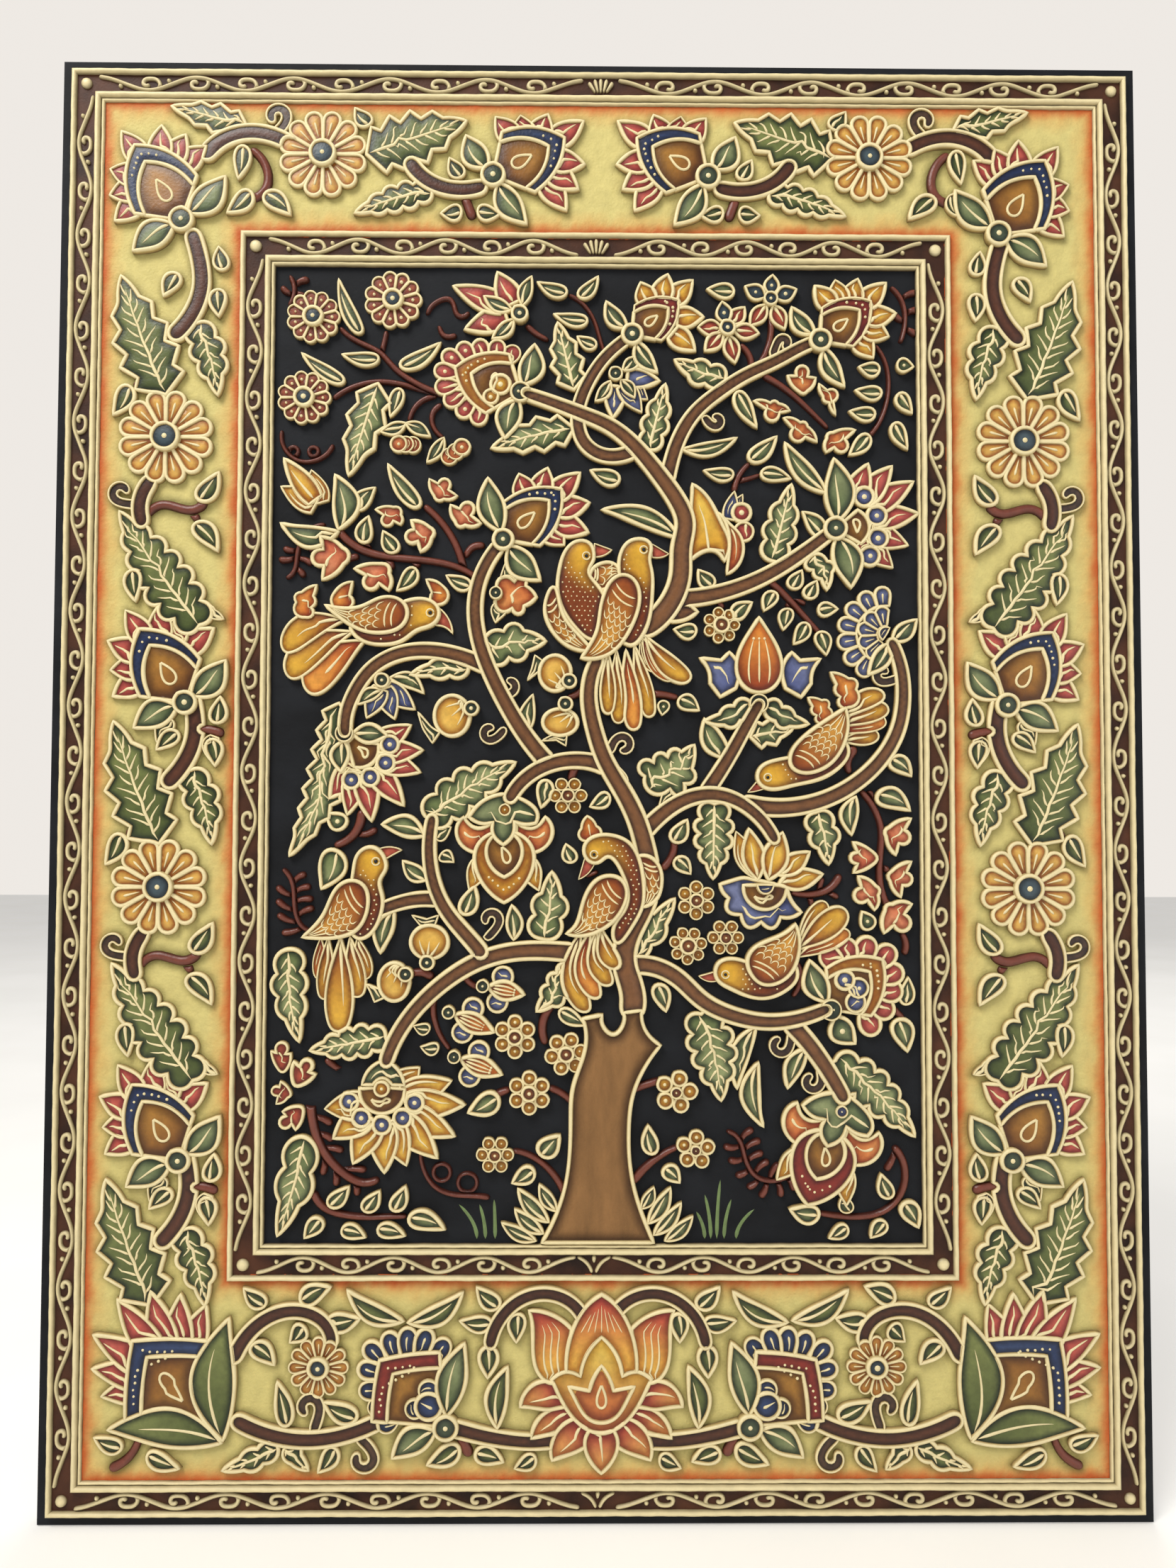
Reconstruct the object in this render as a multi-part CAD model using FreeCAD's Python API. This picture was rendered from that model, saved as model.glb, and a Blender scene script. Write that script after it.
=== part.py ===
"""Clay relief wall panel: a tree of life with birds and flowers, on a sawn board.

Frame: origin at the middle of the board's back face, X to the right, Z up.
The relief faces -Y. The hangers on the back reach +Y.
All clay pieces are drawn flat, as (x, z) pairs on the board's front, then raised.
"""
import math
import os

import FreeCAD
import Part

Vector = FreeCAD.Vector
os.makedirs("parts", exist_ok=True)

# ---------------------------------------------------------------- sizes, mm
board_width = 457.0
board_height = 610.0
board_thickness = 12.0

# outer frame, from the board's edge inwards
edge_left_bare = 4.0
outer_rim_width = 2.4
outer_band_width = 7.8
outer_moulding_width = 4.2

# inner frame
inner_frame_width = 301.0
inner_frame_height = 438.0
inner_frame_x = -1.75
inner_frame_z = 12.5
inner_rim_width = 2.4
inner_band_width = 8.2
inner_moulding_width = 4.2

# the side columns of the margin repeat; the right side was laid by eye, a little inwards
column_pitch = 188.0
right_daisy_shift = -3.5
right_corner_shift = -8.0
right_corner_rise = -3.8

# how far each kind of clay stands off the board
ground_height = 1.0
band_height = 1.2
rim_height = 3.2
moulding_height = 3.6
moulding_step_height = 2.4
scroll_width = 1.4
scroll_pitch = 19.9
scroll_height = 1.6
curl_height = 1.45
dot_radius = 1.0
stem_height = 3.0
twig_height = 2.2
leaf_height = 2.8
petal_height = 2.6
band_pad_height = 3.0
heart_height = 2.7
sepal_height = 3.2
boss_height = 4.2
trunk_height = 3.2
tail_height = 2.6
body_height = 3.4
wing_height = 4.0
beak_height = 2.3
crest_height = 2.9
feather_overlap = 1.25
layer_step = 0.12
least_area = 2.6

# strap hangers on the back
hanger_spacing = 300.0
hanger_z = 236.0
strap_width = 14.0
strap_length = 42.0
strap_thickness = 1.0
ring_wire = 2.6
ring_inside = 20.0
ring_clearance = 0.05
screw_head = 7.0
screw_shank = 3.0
screw_length = 9.0
screw_spacing = 14.0

# the drawing is laid out on a panel of this size and stretches with the board
margin_frame = outer_rim_width + outer_band_width + outer_moulding_width + edge_left_bare
inner_frame = inner_rim_width + inner_band_width + inner_moulding_width
drawn_x = (-228.5, -210.1, -152.25, -137.45, 133.95, 148.75, 210.1, 228.5)
drawn_z = (-305.0, -286.6, -206.5, -191.7, 216.7, 231.5, 286.6, 305.0)


def frame_lines(size, middle, inner_size):
    """Where the board's edge and both frames' edges run, from one side to the other."""
    low = middle - inner_size / 2
    high = middle + inner_size / 2
    return (-size / 2, margin_frame - size / 2, low, low + inner_frame,
            high - inner_frame, high, size / 2 - margin_frame, size / 2)


real_x = frame_lines(board_width, inner_frame_x, inner_frame_width)
real_z = frame_lines(board_height, inner_frame_z, inner_frame_height)
front = -board_thickness

nodes = {}
laid = []
scroll_laid = []
placing = {"flip": 1.0, "shift": 0.0, "rise": 0.0, "drawn": True}


# ---------------------------------------------------------------- drawing
def carried(value, drawn, real):
    """A drawing coordinate between two drawn lines, moved in proportion between the real ones."""
    step = 0
    while step < len(drawn) - 2 and value > drawn[step + 1]:
        step += 1
    share = (value - drawn[step]) / (drawn[step + 1] - drawn[step])
    return real[step] + (real[step + 1] - real[step]) * share


def at(p):
    """A drawing point as a place on the board's front, mirrored or raised as placing says."""
    if not placing["drawn"]:
        return Vector(p[0], front, p[1])
    x = p[0] * placing["flip"] + placing["shift"]
    return Vector(carried(x, drawn_x, real_x), front, carried(p[1] + placing["rise"], drawn_z, real_z))


def curve(points):
    """A smooth edge through the points."""
    if len(points) == 2:
        return Part.makeLine(at(points[0]), at(points[1]))
    spline = Part.BSplineCurve()
    spline.interpolate([at(p) for p in points])
    return spline.toShape()


def face_of(edges):
    """A face inside joined edges; curves that all but touch at a tip are healed."""
    face = Part.Face(Part.Wire(Part.sortEdges(edges)[0]))
    if not face.isValid():
        face.fix(0.001, 0.0001, 0.01)
    return face


def smooth_face(points):
    """A closed smooth outline with no corner."""
    spline = Part.BSplineCurve()
    spline.interpolate([at(p) for p in points], PeriodicFlag=True)
    return Part.Face(Part.Wire(spline.toShape()))


def cornered_face(*runs):
    """An outline made of smooth runs that meet at corners."""
    return face_of([curve(run) for run in runs])


def round_face(centre, radius, squash=1.0):
    points = []
    for step in range(8):
        turn = math.radians(45 * step)
        points.append((centre[0] + radius * math.cos(turn), centre[1] + radius * squash * math.sin(turn)))
    return smooth_face(points)


def between(p, q, share):
    return (p[0] + (q[0] - p[0]) * share, p[1] + (q[1] - p[1]) * share)


def off_axis(base, tip, along, aside, bend=0.0):
    """A point part of the way from base to tip, moved aside to the left in mm."""
    length = math.dist(base, tip)
    ux = (tip[0] - base[0]) / length
    uz = (tip[1] - base[1]) / length
    side = aside + bend * 4 * along * (1 - along)
    x = base[0] + (tip[0] - base[0]) * along - uz * side
    z = base[1] + (tip[1] - base[1]) * along + ux * side
    return (x, z)


def polar(centre, radius, degrees):
    turn = math.radians(degrees)
    return (centre[0] + radius * math.cos(turn), centre[1] + radius * math.sin(turn))


def heading(p, q):
    return math.degrees(math.atan2(q[1] - p[1], q[0] - p[0]))


def trimmed(face, others, least):
    """What is left of a face where none of the others lies."""
    near = [other for other in others if other.BoundBox.intersect(face.BoundBox)]
    left = face.cut(near).Faces if near else [face]
    return [piece for piece in left if piece.Area > least]


def raised(face, floor, height):
    """A face of the drawing as a piece of clay, standing on a floor off the board."""
    solid = face.translated(Vector(0, -floor, 0)).extrude(Vector(0, -height, 0))
    if solid.Volume < 0:
        solid.reverse()
    return solid


def lay(node, face, height):
    """Lay a face on the board, trim it where clay already lies, and raise it.

    Pieces of the margin stand on the margin's ground layer.
    """
    margin = node.startswith("margin")
    floor = ground_height if margin else 0.0
    if margin and frame_faces["inner"].BoundBox.intersect(face.BoundBox):
        face = face.cut(frame_faces["inner"])
    if not frame_faces["margin" if margin else "field"].BoundBox.isInside(face.BoundBox):
        face = face.common(frame_faces["margin" if margin else "field"])
    for piece in trimmed(face, laid, least_area):
        laid.append(piece)
        nodes.setdefault(node, []).append(raised(piece, floor, height))


# ---------------------------------------------------------------- motifs
blunt_shape = ((0.03, 0.42), (0.12, 0.78), (0.3, 1.0), (0.5, 0.93), (0.72, 0.6), (0.88, 0.26))
spear_shape = ((0.15, 0.56), (0.35, 0.95), (0.52, 1.0), (0.72, 0.72), (0.88, 0.34))


def leaf_face(base, tip, width, bend=0.0, shape=blunt_shape):
    """A leaf from base to tip. Blunt leaves are round at the base, spears are not."""
    half = width / 2
    left = [off_axis(base, tip, a, half * w, bend) for a, w in shape]
    right = [off_axis(base, tip, a, -half * w, bend) for a, w in shape]
    if shape is blunt_shape:
        return cornered_face([tip] + left[::-1] + right + [tip])
    return cornered_face([base] + left + [tip], [tip] + right[::-1] + [base])


def stroke_face(points, start_width, end_width=None):
    """A band of clay along a smooth path, rounded at both ends."""
    end_width = start_width if end_width is None else end_width
    spline = Part.BSplineCurve()
    spline.interpolate([Vector(p[0], 0, p[1]) for p in points])
    count = max(4, 2 * len(points))
    first, last = spline.FirstParameter, spline.LastParameter
    left, right = [], []
    for step in range(count + 1):
        share = step / count
        here = first + (last - first) * share
        spot = spline.value(here)
        way = spline.tangent(here)[0]
        half = (start_width + (end_width - start_width) * share) / 2
        left.append((spot.x - way.z * half, spot.z + way.x * half))
        right.append((spot.x + way.z * half, spot.z - way.x * half))
    head = spline.value(last) + spline.tangent(last)[0] * (end_width / 2)
    tail = spline.value(first) - spline.tangent(first)[0] * (start_width / 2)
    head_arc = Part.Arc(at(left[-1]), at((head.x, head.z)), at(right[-1])).toShape()
    tail_arc = Part.Arc(at(right[0]), at((tail.x, tail.z)), at(left[0])).toShape()
    return face_of([curve(left), head_arc, curve(right), tail_arc])


def edged_leaf_face(base, tip, width, lobes, bend=0.0, pointed=False, waist=0.35):
    """A broad leaf. Its sides are round lobes, or teeth that lean to the tip."""
    def swell(along):
        return width / 2 * math.sin(math.pi * (0.12 + 0.88 * along) ** 0.85) ** 0.8

    edges = []
    for side in (1, -1):
        start = base
        for lobe in range(lobes):
            near = lobe / lobes
            far = (lobe + 1) / lobes
            last = lobe == lobes - 1
            inner = 0 if last else (1 - waist) * swell(far)
            end = tip if last else off_axis(base, tip, far, side * inner, bend)
            reach = near + (0.62 if pointed else 0.5) * (far - near)
            peak = off_axis(base, tip, reach, side * swell(reach) * (0.75 if last else 1.0), bend)
            if pointed and not last:
                edges.append(curve([start, peak]))
                edges.append(curve([peak, end]))
            else:
                edges.append(Part.Arc(at(start), at(peak), at(end)).toShape())
            start = end
    return face_of(edges)


def petal_face(base, tip, width):
    """A pointed petal whose foot hides under the next row."""
    half = width / 2
    left = [off_axis(base, tip, a, half * w) for a, w in ((0.0, 0.75), (0.35, 1.0), (0.7, 0.62))]
    right = [off_axis(base, tip, a, -half * w) for a, w in ((0.0, 0.75), (0.35, 1.0), (0.7, 0.62))]
    return cornered_face(left + [tip], [tip] + right[::-1], [right[0], left[0]])


def wedge_face(centre, inner, outer, degrees, spread):
    """A petal of a round flower: narrow at the middle, round outside."""
    low, high = degrees - spread / 2, degrees + spread / 2
    shoulder = outer * 0.86
    corners = (polar(centre, inner, low), polar(centre, shoulder, low))
    far = (polar(centre, shoulder, high), polar(centre, inner, high))
    cap = Part.Arc(at(corners[1]), at(polar(centre, outer, degrees)), at(far[0])).toShape()
    return face_of([curve(corners), cap, curve(far), curve([far[1], corners[0]])])


def lay_leaves(node, rows, shape=blunt_shape):
    """Rows hold base x, base z, tip x, tip z, width, bend."""
    for bx, bz, tx, tz, width, bend in rows:
        lay(node, leaf_face((bx, bz), (tx, tz), width, bend, shape), leaf_height)


def lay_edged(node, rows):
    """Rows hold base x, base z, tip x, tip z, width, lobes, bend, pointed."""
    for bx, bz, tx, tz, width, lobes, bend, pointed in rows:
        lay(node, edged_leaf_face((bx, bz), (tx, tz), width, lobes, bend, pointed), leaf_height)


def lay_daisy(petal_node, centre_node, centre, middle, outer, count, turn=0.0):
    """A round flower with a disc and wedge petals."""
    lay(centre_node, round_face(centre, middle), boss_height)
    for step in range(count):
        degrees = turn + 360.0 * step / count
        lay(petal_node, wedge_face(centre, middle + 0.35, outer, degrees, 360.0 / count - 2.6), petal_height)


def lay_round_flower(centre, reach, count, turn):
    """A small flower of round petals that just clear each other."""
    spread = reach * 0.62
    radius = min(spread * math.sin(math.pi / count) - 0.12, reach - spread)
    lay("flower_centres", round_face(centre, spread - radius - 0.1), boss_height)
    for step in range(count):
        spot = polar(centre, spread, turn + 360.0 * step / count)
        lay("round_flowers", round_face(spot, radius), petal_height)


def lay_bell(node, base, tips, neck=2.2):
    """A bell flower: a neck at the stalk, two corner tips and a middle lobe."""
    one, middle, two = tips
    way = heading(base, middle)
    left = polar(base, neck, way + 90)
    right = polar(base, neck, way - 90)
    if math.dist(left, one) > math.dist(right, one):
        left, right = right, left
    dip_one = between(between(one, middle, 0.5), base, 0.28)
    dip_two = between(between(two, middle, 0.5), base, 0.28)
    flare_one = between(between(left, one, 0.45), middle, -0.12)
    flare_two = between(between(right, two, 0.45), middle, -0.12)
    back = polar(base, neck * 0.8, way + 180)
    runs = [[left, flare_one, one], [one, dip_one], [two, dip_two], [right, flare_two, two]]
    edges = [curve(run) for run in runs]
    edges.append(Part.Arc(at(dip_one), at(middle), at(dip_two)).toShape())
    edges.append(Part.Arc(at(left), at(back), at(right)).toShape())
    lay(node, face_of(edges), petal_height)


def lay_curl(node, foot, centre, radius, width, height, turn=1):
    """A spiral of clay that starts at its foot and winds round its centre."""
    start = heading(centre, foot)
    points = [foot]
    for step, share in enumerate((1.0, 1.0, 0.95, 0.85, 0.6)):
        points.append(polar(centre, radius * share, start + turn * (50 + 62 * step)))
    lay(node, stroke_face(points, width, width * 0.8), height)


def spade_edges(boss, tip, half_angle, side, share=1.0, fullness=0.13):
    """The two curved sides of a spade whose foot is at the boss; fullness is how far they swell."""
    way = heading(boss, tip)
    far = between(boss, tip, share)
    runs = []
    for sign in (1, -1):
        corner = polar(boss, side * share, way + sign * half_angle)
        bulge = off_axis(corner, far, 0.5, sign * fullness * math.dist(corner, far))
        runs.append([corner, bulge, far])
    return runs


def spade_face(boss, tip, half_angle, side, share=1.0, fullness=0.13):
    left, right = spade_edges(boss, tip, half_angle, side, share, fullness)
    return cornered_face(left, right, [boss, left[0]], [right[0], boss])


def lay_petals(node, centre, tips, width, depth=0.55):
    """Pointed petals round a middle, each laid a hair lower or higher than the last."""
    for step, tip in enumerate(tips):
        foot = between(centre, tip, 1 - depth)
        lay(node, petal_face(foot, tip, width), petal_height + layer_step * (step % 3))


def lay_lotus(names, boss, boss_radius, tip, half_angle, side, petals, petal_width, sepals, sepal_width,
              inner_share=0.78):
    """A lotus in side view: boss, two sepals, a dotted band, its heart and a row of petals."""
    petal_node, band_node, heart_node, sepal_node, boss_node = names
    lay(boss_node, round_face(boss, boss_radius), boss_height)
    for sepal in sepals:
        foot = between(boss, sepal, boss_radius * 0.8 / math.dist(boss, sepal))
        bend = 1.6 if heading(boss, sepal) > heading(boss, tip) else -1.6
        lay(sepal_node, leaf_face(foot, sepal, sepal_width, bend, spear_shape), sepal_height)
    outer = spade_face(boss, tip, half_angle, side)
    inner = spade_face(boss, tip, half_angle, side, inner_share)
    lay(heart_node, inner, heart_height)
    lay(band_node, outer.cut(inner).Faces[0], band_pad_height)
    middle = between(boss, tip, 0.5)
    lay_petals(petal_node, middle, petals, petal_width)


def lay_beads_of_petals(node, middle, spots, radius):
    """Short blunt petals side by side round a middle, one over each spot."""
    for step, spot in enumerate(spots):
        reach = math.dist(middle, spot)
        outer = between(middle, spot, (reach + radius * 1.3) / reach)
        foot = between(middle, spot, (reach - radius * 2.4) / reach)
        lay(node, leaf_face(outer, foot, radius * 2.25), petal_height + layer_step * (step % 3))


# ---------------------------------------------------------------- board and frames
def frame_ring(x, z, width, height, wall, thickness):
    """A rectangular ring of clay, standing off the board."""
    outer = Part.makeBox(width, thickness, height, Vector(x - width / 2, front - thickness, z - height / 2))
    hole = Part.makeBox(width - 2 * wall, thickness, height - 2 * wall,
                        Vector(x - width / 2 + wall, front - thickness, z - height / 2 + wall))
    return outer.cut(hole)


def frame_parts(prefix, x, z, width, height, rim, band, moulding):
    """Rim, band and two-step moulding, one inside the other."""
    nodes[prefix + "_rim"] = [frame_ring(x, z, width, height, rim, rim_height)]
    width, height = width - 2 * rim, height - 2 * rim
    nodes[prefix + "_band"] = [frame_ring(x, z, width, height, band, band_height)]
    width, height = width - 2 * band, height - 2 * band
    step = moulding * 0.62
    high = frame_ring(x, z, width, height, step, moulding_height)
    width, height = width - 2 * step, height - 2 * step
    low = frame_ring(x, z, width, height, moulding - step, moulding_step_height)
    nodes[prefix + "_moulding"] = [high, low]


def scroll_run(node, start, end, amplitude, pitch, inward):
    """A wavy vine from start to end with a curl and a dot in every half wave."""
    length = math.dist(start, end)
    count = max(2, round(length / pitch))
    ux = (end[0] - start[0]) / length
    uz = (end[1] - start[1]) / length

    def spot(along, across):
        return (start[0] + ux * along - uz * across * inward, start[1] + uz * along + ux * across * inward)

    half = length / count
    wave = []
    for step in range(2 * count + 1):
        wave.append(spot(step * half / 2, -amplitude * math.cos(math.pi * step / 2)))
    raise_on_band(node, stroke_face(wave, scroll_width), scroll_height)
    for step in range(count):
        side = 1 if step % 2 == 0 else -1
        foot = step * half + 0.12 * half
        curl = [(0.0, -0.92), (0.12, -0.2), (0.06, 0.55), (-0.09, 0.78), (-0.22, 0.5), (-0.24, -0.05),
                (-0.12, -0.25)]
        points = [spot(foot + a * half, side * b * amplitude) for a, b in curl]
        if step > 0:
            raise_on_band(node, stroke_face(points, scroll_width, scroll_width), curl_height)
        raise_on_band(node, round_face(spot((step + 0.42) * half, side * 0.42 * amplitude), dot_radius),
                      curl_height)


def raise_on_band(node, face, height):
    """Clay that lies on a frame's band is raised from the band's top."""
    for piece in trimmed(face, scroll_laid, 0.8):
        scroll_laid.append(piece)
        nodes.setdefault(node, []).append(raised(piece, band_height, height))


placing["drawn"] = False
for prefix, x, z, width, height, rim, band, moulding in (
        ("outer", 0, 0, board_width - 2 * edge_left_bare, board_height - 2 * edge_left_bare,
         outer_rim_width, outer_band_width, outer_moulding_width),
        ("inner", inner_frame_x, inner_frame_z, inner_frame_width, inner_frame_height,
         inner_rim_width, inner_band_width, inner_moulding_width)):
    frame_parts(prefix, x, z, width, height, rim, band, moulding)
    node = prefix + "_scrollwork"
    right = width / 2 - rim - band / 2
    top = height / 2 - rim - band / 2
    wave_height = band / 2 - scroll_width / 2 - 0.35
    turn_corner = band / 2 + 2.0
    for side in (1, -1):
        for up in (1, -1):
            scroll_run(node, (x + side * (right - turn_corner), z + up * top), (x + side * 8.0, z + up * top),
                       wave_height, scroll_pitch, side * up)
        scroll_run(node, (x + side * right, z + top - turn_corner), (x + side * right, z - top + turn_corner),
                   wave_height, scroll_pitch, side)
        for up in (1, -1):
            raise_on_band(node, round_face((x + side * right, z + up * top), band / 2 - 1.6), scroll_height)
    # a fan of five rays at the middle of the top, and a pointed arch with a drop at the bottom
    for ray in range(-2, 3):
        foot = (x + 1.2 * ray, z + top - wave_height * 0.8)
        tip = (x + 2.4 * ray, z + top + wave_height * (1 - 0.12 * ray * ray))
        raise_on_band(node, stroke_face([foot, tip], 0.7, 1.5), scroll_height)
    for side in (1, -1):
        arch = [(x + side * 6.4, z - top + wave_height), (x + side * 3.0, z - top + 0.8),
                (x + side * 0.9, z - top - wave_height * 0.9)]
        raise_on_band(node, stroke_face(arch, 1.2), scroll_height)
    raise_on_band(node, stroke_face([(x, z - top + 1.0), (x, z - top + wave_height)], 0.8, 1.8), curl_height)

placing["drawn"] = True
ground = Part.makeBox(board_width - 2 * margin_frame, ground_height, board_height - 2 * margin_frame,
                      Vector(margin_frame - board_width / 2, front - ground_height,
                      margin_frame - board_height / 2))
opening = Part.makeBox(inner_frame_width, ground_height, inner_frame_height,
                       Vector(inner_frame_x - inner_frame_width / 2, front - ground_height,
                              inner_frame_z - inner_frame_height / 2))
nodes["margin_ground"] = [ground.cut(opening)]


def wall_face(x, z, width, height):
    """The flat outside of a frame, to keep clay from running under it."""
    corner = Vector(x - width / 2, front, z - height / 2)
    return Part.makePlane(width, height, corner, Vector(0, -1, 0), Vector(1, 0, 0))


frame_faces = {
    "inner": wall_face(inner_frame_x, inner_frame_z, inner_frame_width, inner_frame_height),
    "margin": wall_face(0, 0, board_width - 2 * margin_frame, board_height - 2 * margin_frame),
    "field": wall_face(inner_frame_x, inner_frame_z, inner_frame_width - 2 * inner_frame,
                       inner_frame_height - 2 * inner_frame),
}

# ---------------------------------------------------------------- the trunk and its branches
# Birds sit in front of the branches, so they are laid first.


def lay_bird(node, body, wing, beak, feathers, extras=(), second_wing=None):
    """Wing over body, body over beak, crest and tail feathers."""
    lay(node, cornered_face(wing), wing_height)
    lay(node, smooth_face(body), body_height)
    if second_wing:
        lay(node, smooth_face(second_wing), wing_height - 0.8)
    lay(node, cornered_face(*beak), beak_height)
    for base, tip, width, lobes, bend in extras:
        lay(node, edged_leaf_face(base, tip, width, lobes, bend), crest_height)
    for step, (base, tip, width, bend) in enumerate(feathers):
        shape = leaf_face(tip, base, width * feather_overlap, bend)
        lay(node, shape, tail_height + layer_step * (step % 3))


lay_bird("crested_bird",
         body=[(-104, 62), (-98, 56.8), (-90, 55.7), (-82, 57.5), (-76, 62), (-70.5, 63.7), (-67.2, 67.5),
               (-68, 72), (-72, 74.6), (-80, 74.2), (-90, 70), (-100, 66)],
         wing=[(-114.5, 72), (-107, 70.6), (-99, 71.6), (-92, 75), (-85.5, 75.3), (-81, 72), (-80.3, 67.5),
               (-83, 63), (-90, 60.6), (-98, 61.2), (-106, 65.2), (-111, 69), (-114.5, 72)],
         beak=([(-67, 71), (-63.2, 66.6), (-61.5, 60.5)], [(-61.5, 60.5), (-64.5, 63.2), (-68.5, 64)],
               [(-68.5, 64), (-67, 71)]),
         feathers=(((-106, 66), (-132.5, 53.5), 9.5, 4), ((-103, 61), (-130.5, 42.5), 10.5, 3.5),
                   ((-98, 57.5), (-122, 36), 11.5, 3)),
         extras=(((-67.5, 72.5), (-72.5, 83), 8.5, 2, -2.5), ((-123, 67), (-118.5, 80.5), 10, 3, 2.5),
                 ((-106, 70.5), (-103.5, 82), 10, 2, 3)))
lay_bird("front_dove",
         body=[(21.3, 95), (20.6, 99.4), (16.5, 100.6), (12, 99.3), (9, 95), (8, 88), (9.5, 75), (9, 58),
               (13, 55.5), (18, 60), (21, 68), (22, 78), (21.6, 88)],
         wing=[(-7.5, 50.3), (-3.8, 56), (-1, 62), (0.2, 70), (2, 77.5), (5, 83), (9.8, 85.4), (14, 83.6),
               (16.4, 79), (16.3, 72), (13, 63), (9, 56.5), (4, 52), (-2, 50), (-7.5, 50.3)],
         beak=([(21.8, 98.6), (29, 94.4)], [(29, 94.4), (25, 92.8), (22, 93)], [(22, 93), (21.8, 98.6)]),
         feathers=(((3.5, 53), (3.6, 26.5), 5, 0), ((7, 54), (8, 22.5), 5.4, 0), ((11, 54), (14.6, 19.6),
         6.4, 0),
                   ((14.5, 56), (21.4, 25.2), 5.6, 0), ((19, 60), (38, 40.8), 7, 2), ((18, 59), (31, 41),
                   5.2, 2), ((17, 58), (25.8, 44.6), 4.6, 2)))
lay_bird("back_dove",
         body=[(-2.8, 96), (-5, 99.2), (-10, 99.4), (-14.3, 95.5), (-16.8, 88), (-17.6, 79), (-15, 70),
         (-9, 62),
               (-3, 58), (2, 62), (2.5, 75), (-2, 82), (-5, 87), (-2.6, 91.5)],
         wing=[(-3, 53.5), (-9, 53.6), (-17, 58.2), (-22, 66), (-22.8, 73), (-19.4, 80.6), (-16, 70),
               (-9, 60), (-3, 53.5)],
         beak=([(-2.2, 98.6), (5, 96)], [(5, 96), (1.6, 93.6), (-2, 93)], [(-2, 93), (-2.2, 98.6)]),
         feathers=(),
         second_wing=[(-4, 86), (0, 90), (7, 89.5), (8.5, 86), (5, 81), (0, 79)])
lay_bird("perched_bird",
         body=[(-92, -29.6), (-96, -28.8), (-100, -31.6), (-101.7, -38), (-103, -46), (-104, -60),
         (-99, -66.8),
               (-94, -64), (-90.5, -57), (-89.8, -49), (-91, -42), (-88.4, -38), (-89, -33.5)],
         wing=[(-122.5, -66), (-118, -62), (-114, -57), (-111, -50), (-107, -44.2), (-101, -42.6), (-97, -45),
               (-95.5, -50), (-96.5, -57), (-100, -62.8), (-107, -65.8), (-115, -66.4), (-122.5, -66)],
         beak=([(-91, -29.4), (-87, -28.7), (-82, -30)], [(-82, -30), (-86.5, -32.4), (-90, -34.6)],
               [(-90, -34.6), (-91, -29.4)]),
         feathers=(((-107, -66), (-107.4, -105.5), 9, 0), ((-112, -66), (-113.4, -92), 5.5, 0),
                   ((-115, -66), (-115.6, -83.5), 4.4, 0), ((-103, -66), (-99.4, -91), 6.5, 0),
                   ((-100, -66), (-96, -83.4), 5.5, 0)))
lay_bird("turning_bird",
         body=[(-6.4, -30), (-5, -26), (0, -23.6), (6, -23.8), (12, -26.4), (16, -32), (18.3, -42), (18, -53),
               (14, -61), (7, -68.5), (6, -62), (10.5, -55), (12, -46), (9.5, -39), (6.6, -34), (3.6, -32),
               (0, -35), (-4, -34.6)],
         wing=[(-13.5, -64.4), (-9, -60), (-7, -53), (-4.6, -46.6), (-0.5, -41.8), (5, -40.4), (9, -41.8),
               (11.4, -46), (10.5, -52), (6.4, -58.6), (0, -63.2), (-7, -65.2), (-13.5, -64.4)],
         beak=([(-6, -33.4), (-8.5, -42)], [(-8.5, -42), (-4.4, -39.4), (-2, -35.6)], [(-2, -35.6),
         (-6, -33.4)]), feathers=(((1, -62), (8, -79), 6, 2), ((-1, -63), (4.5, -86), 6.4, 3),
         ((-3.5, -63), (-0.5, -91.6), 6.8, 4),
                   ((-7, -63), (-5, -97.4), 7.6, 5)),
         extras=(((-3.5, -25), (-5, -15.8), 10, 2, 0),),
         second_wing=[(17, -32), (22, -33), (25.6, -38), (26, -44), (23, -51), (18, -53.4), (18.8, -42)])
lay_bird("diving_bird",
         body=[(65.8, 1.5), (68, 5.5), (73, 7.6), (80, 9), (90, 12), (100, 17), (104, 13), (99, 4),
         (90, -0.6),
               (80, -2.8), (72, -4.3), (68.4, -3.4)],
         wing=[(102.6, 29.6), (96, 25.4), (89, 20.6), (83, 15.4), (79.6, 10), (80, 5), (84.4, 2.6), (91, 3.4),
               (97, 7), (101.5, 13.5), (103.6, 21), (102.6, 29.6)],
         beak=([(66.4, -0.4), (62, -5.6)], [(62, -5.6), (66, -5), (69, -4)], [(69, -4), (66.4, -0.4)]),
         feathers=(((101, 25), (119.4, 36), 6.4, -2), ((101, 22), (121, 30), 6.4, -1), ((101, 19),
         (120, 24.4), 5.6, -1),
                   ((101, 16), (117, 18.4), 5, 0)),
         extras=(((94, 24), (87.4, 34), 9, 3, -2), ((104, 30), (97, 44.6), 11, 3, -3)))
lay_bird("standing_bird",
         body=[(48.2, -79.4), (50.5, -75.6), (55, -74.6), (61, -76), (70, -78), (80, -76), (82.4, -81),
         (77, -88),
               (68, -91), (60, -89.4), (54, -86.6), (49.6, -84)],
         wing=[(81.4, -60.4), (76.5, -64.4), (70, -67.2), (64, -70.4), (61.4, -75), (63, -81), (67.4, -85),
               (74, -84.6), (79.8, -80), (82.6, -73), (83, -66), (81.4, -60.4)],
         beak=([(48.6, -80), (41.5, -82)], [(41.5, -82), (45, -84), (49.4, -83.8)], [(49.4, -83.8),
         (48.6, -80)]), feathers=(((82, -71), (103, -54.5), 8.6, 0), ((82, -68), (94.4, -51), 6, 0),
         ((82, -74), (104.4, -63.4), 5.4, 0)))

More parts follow.
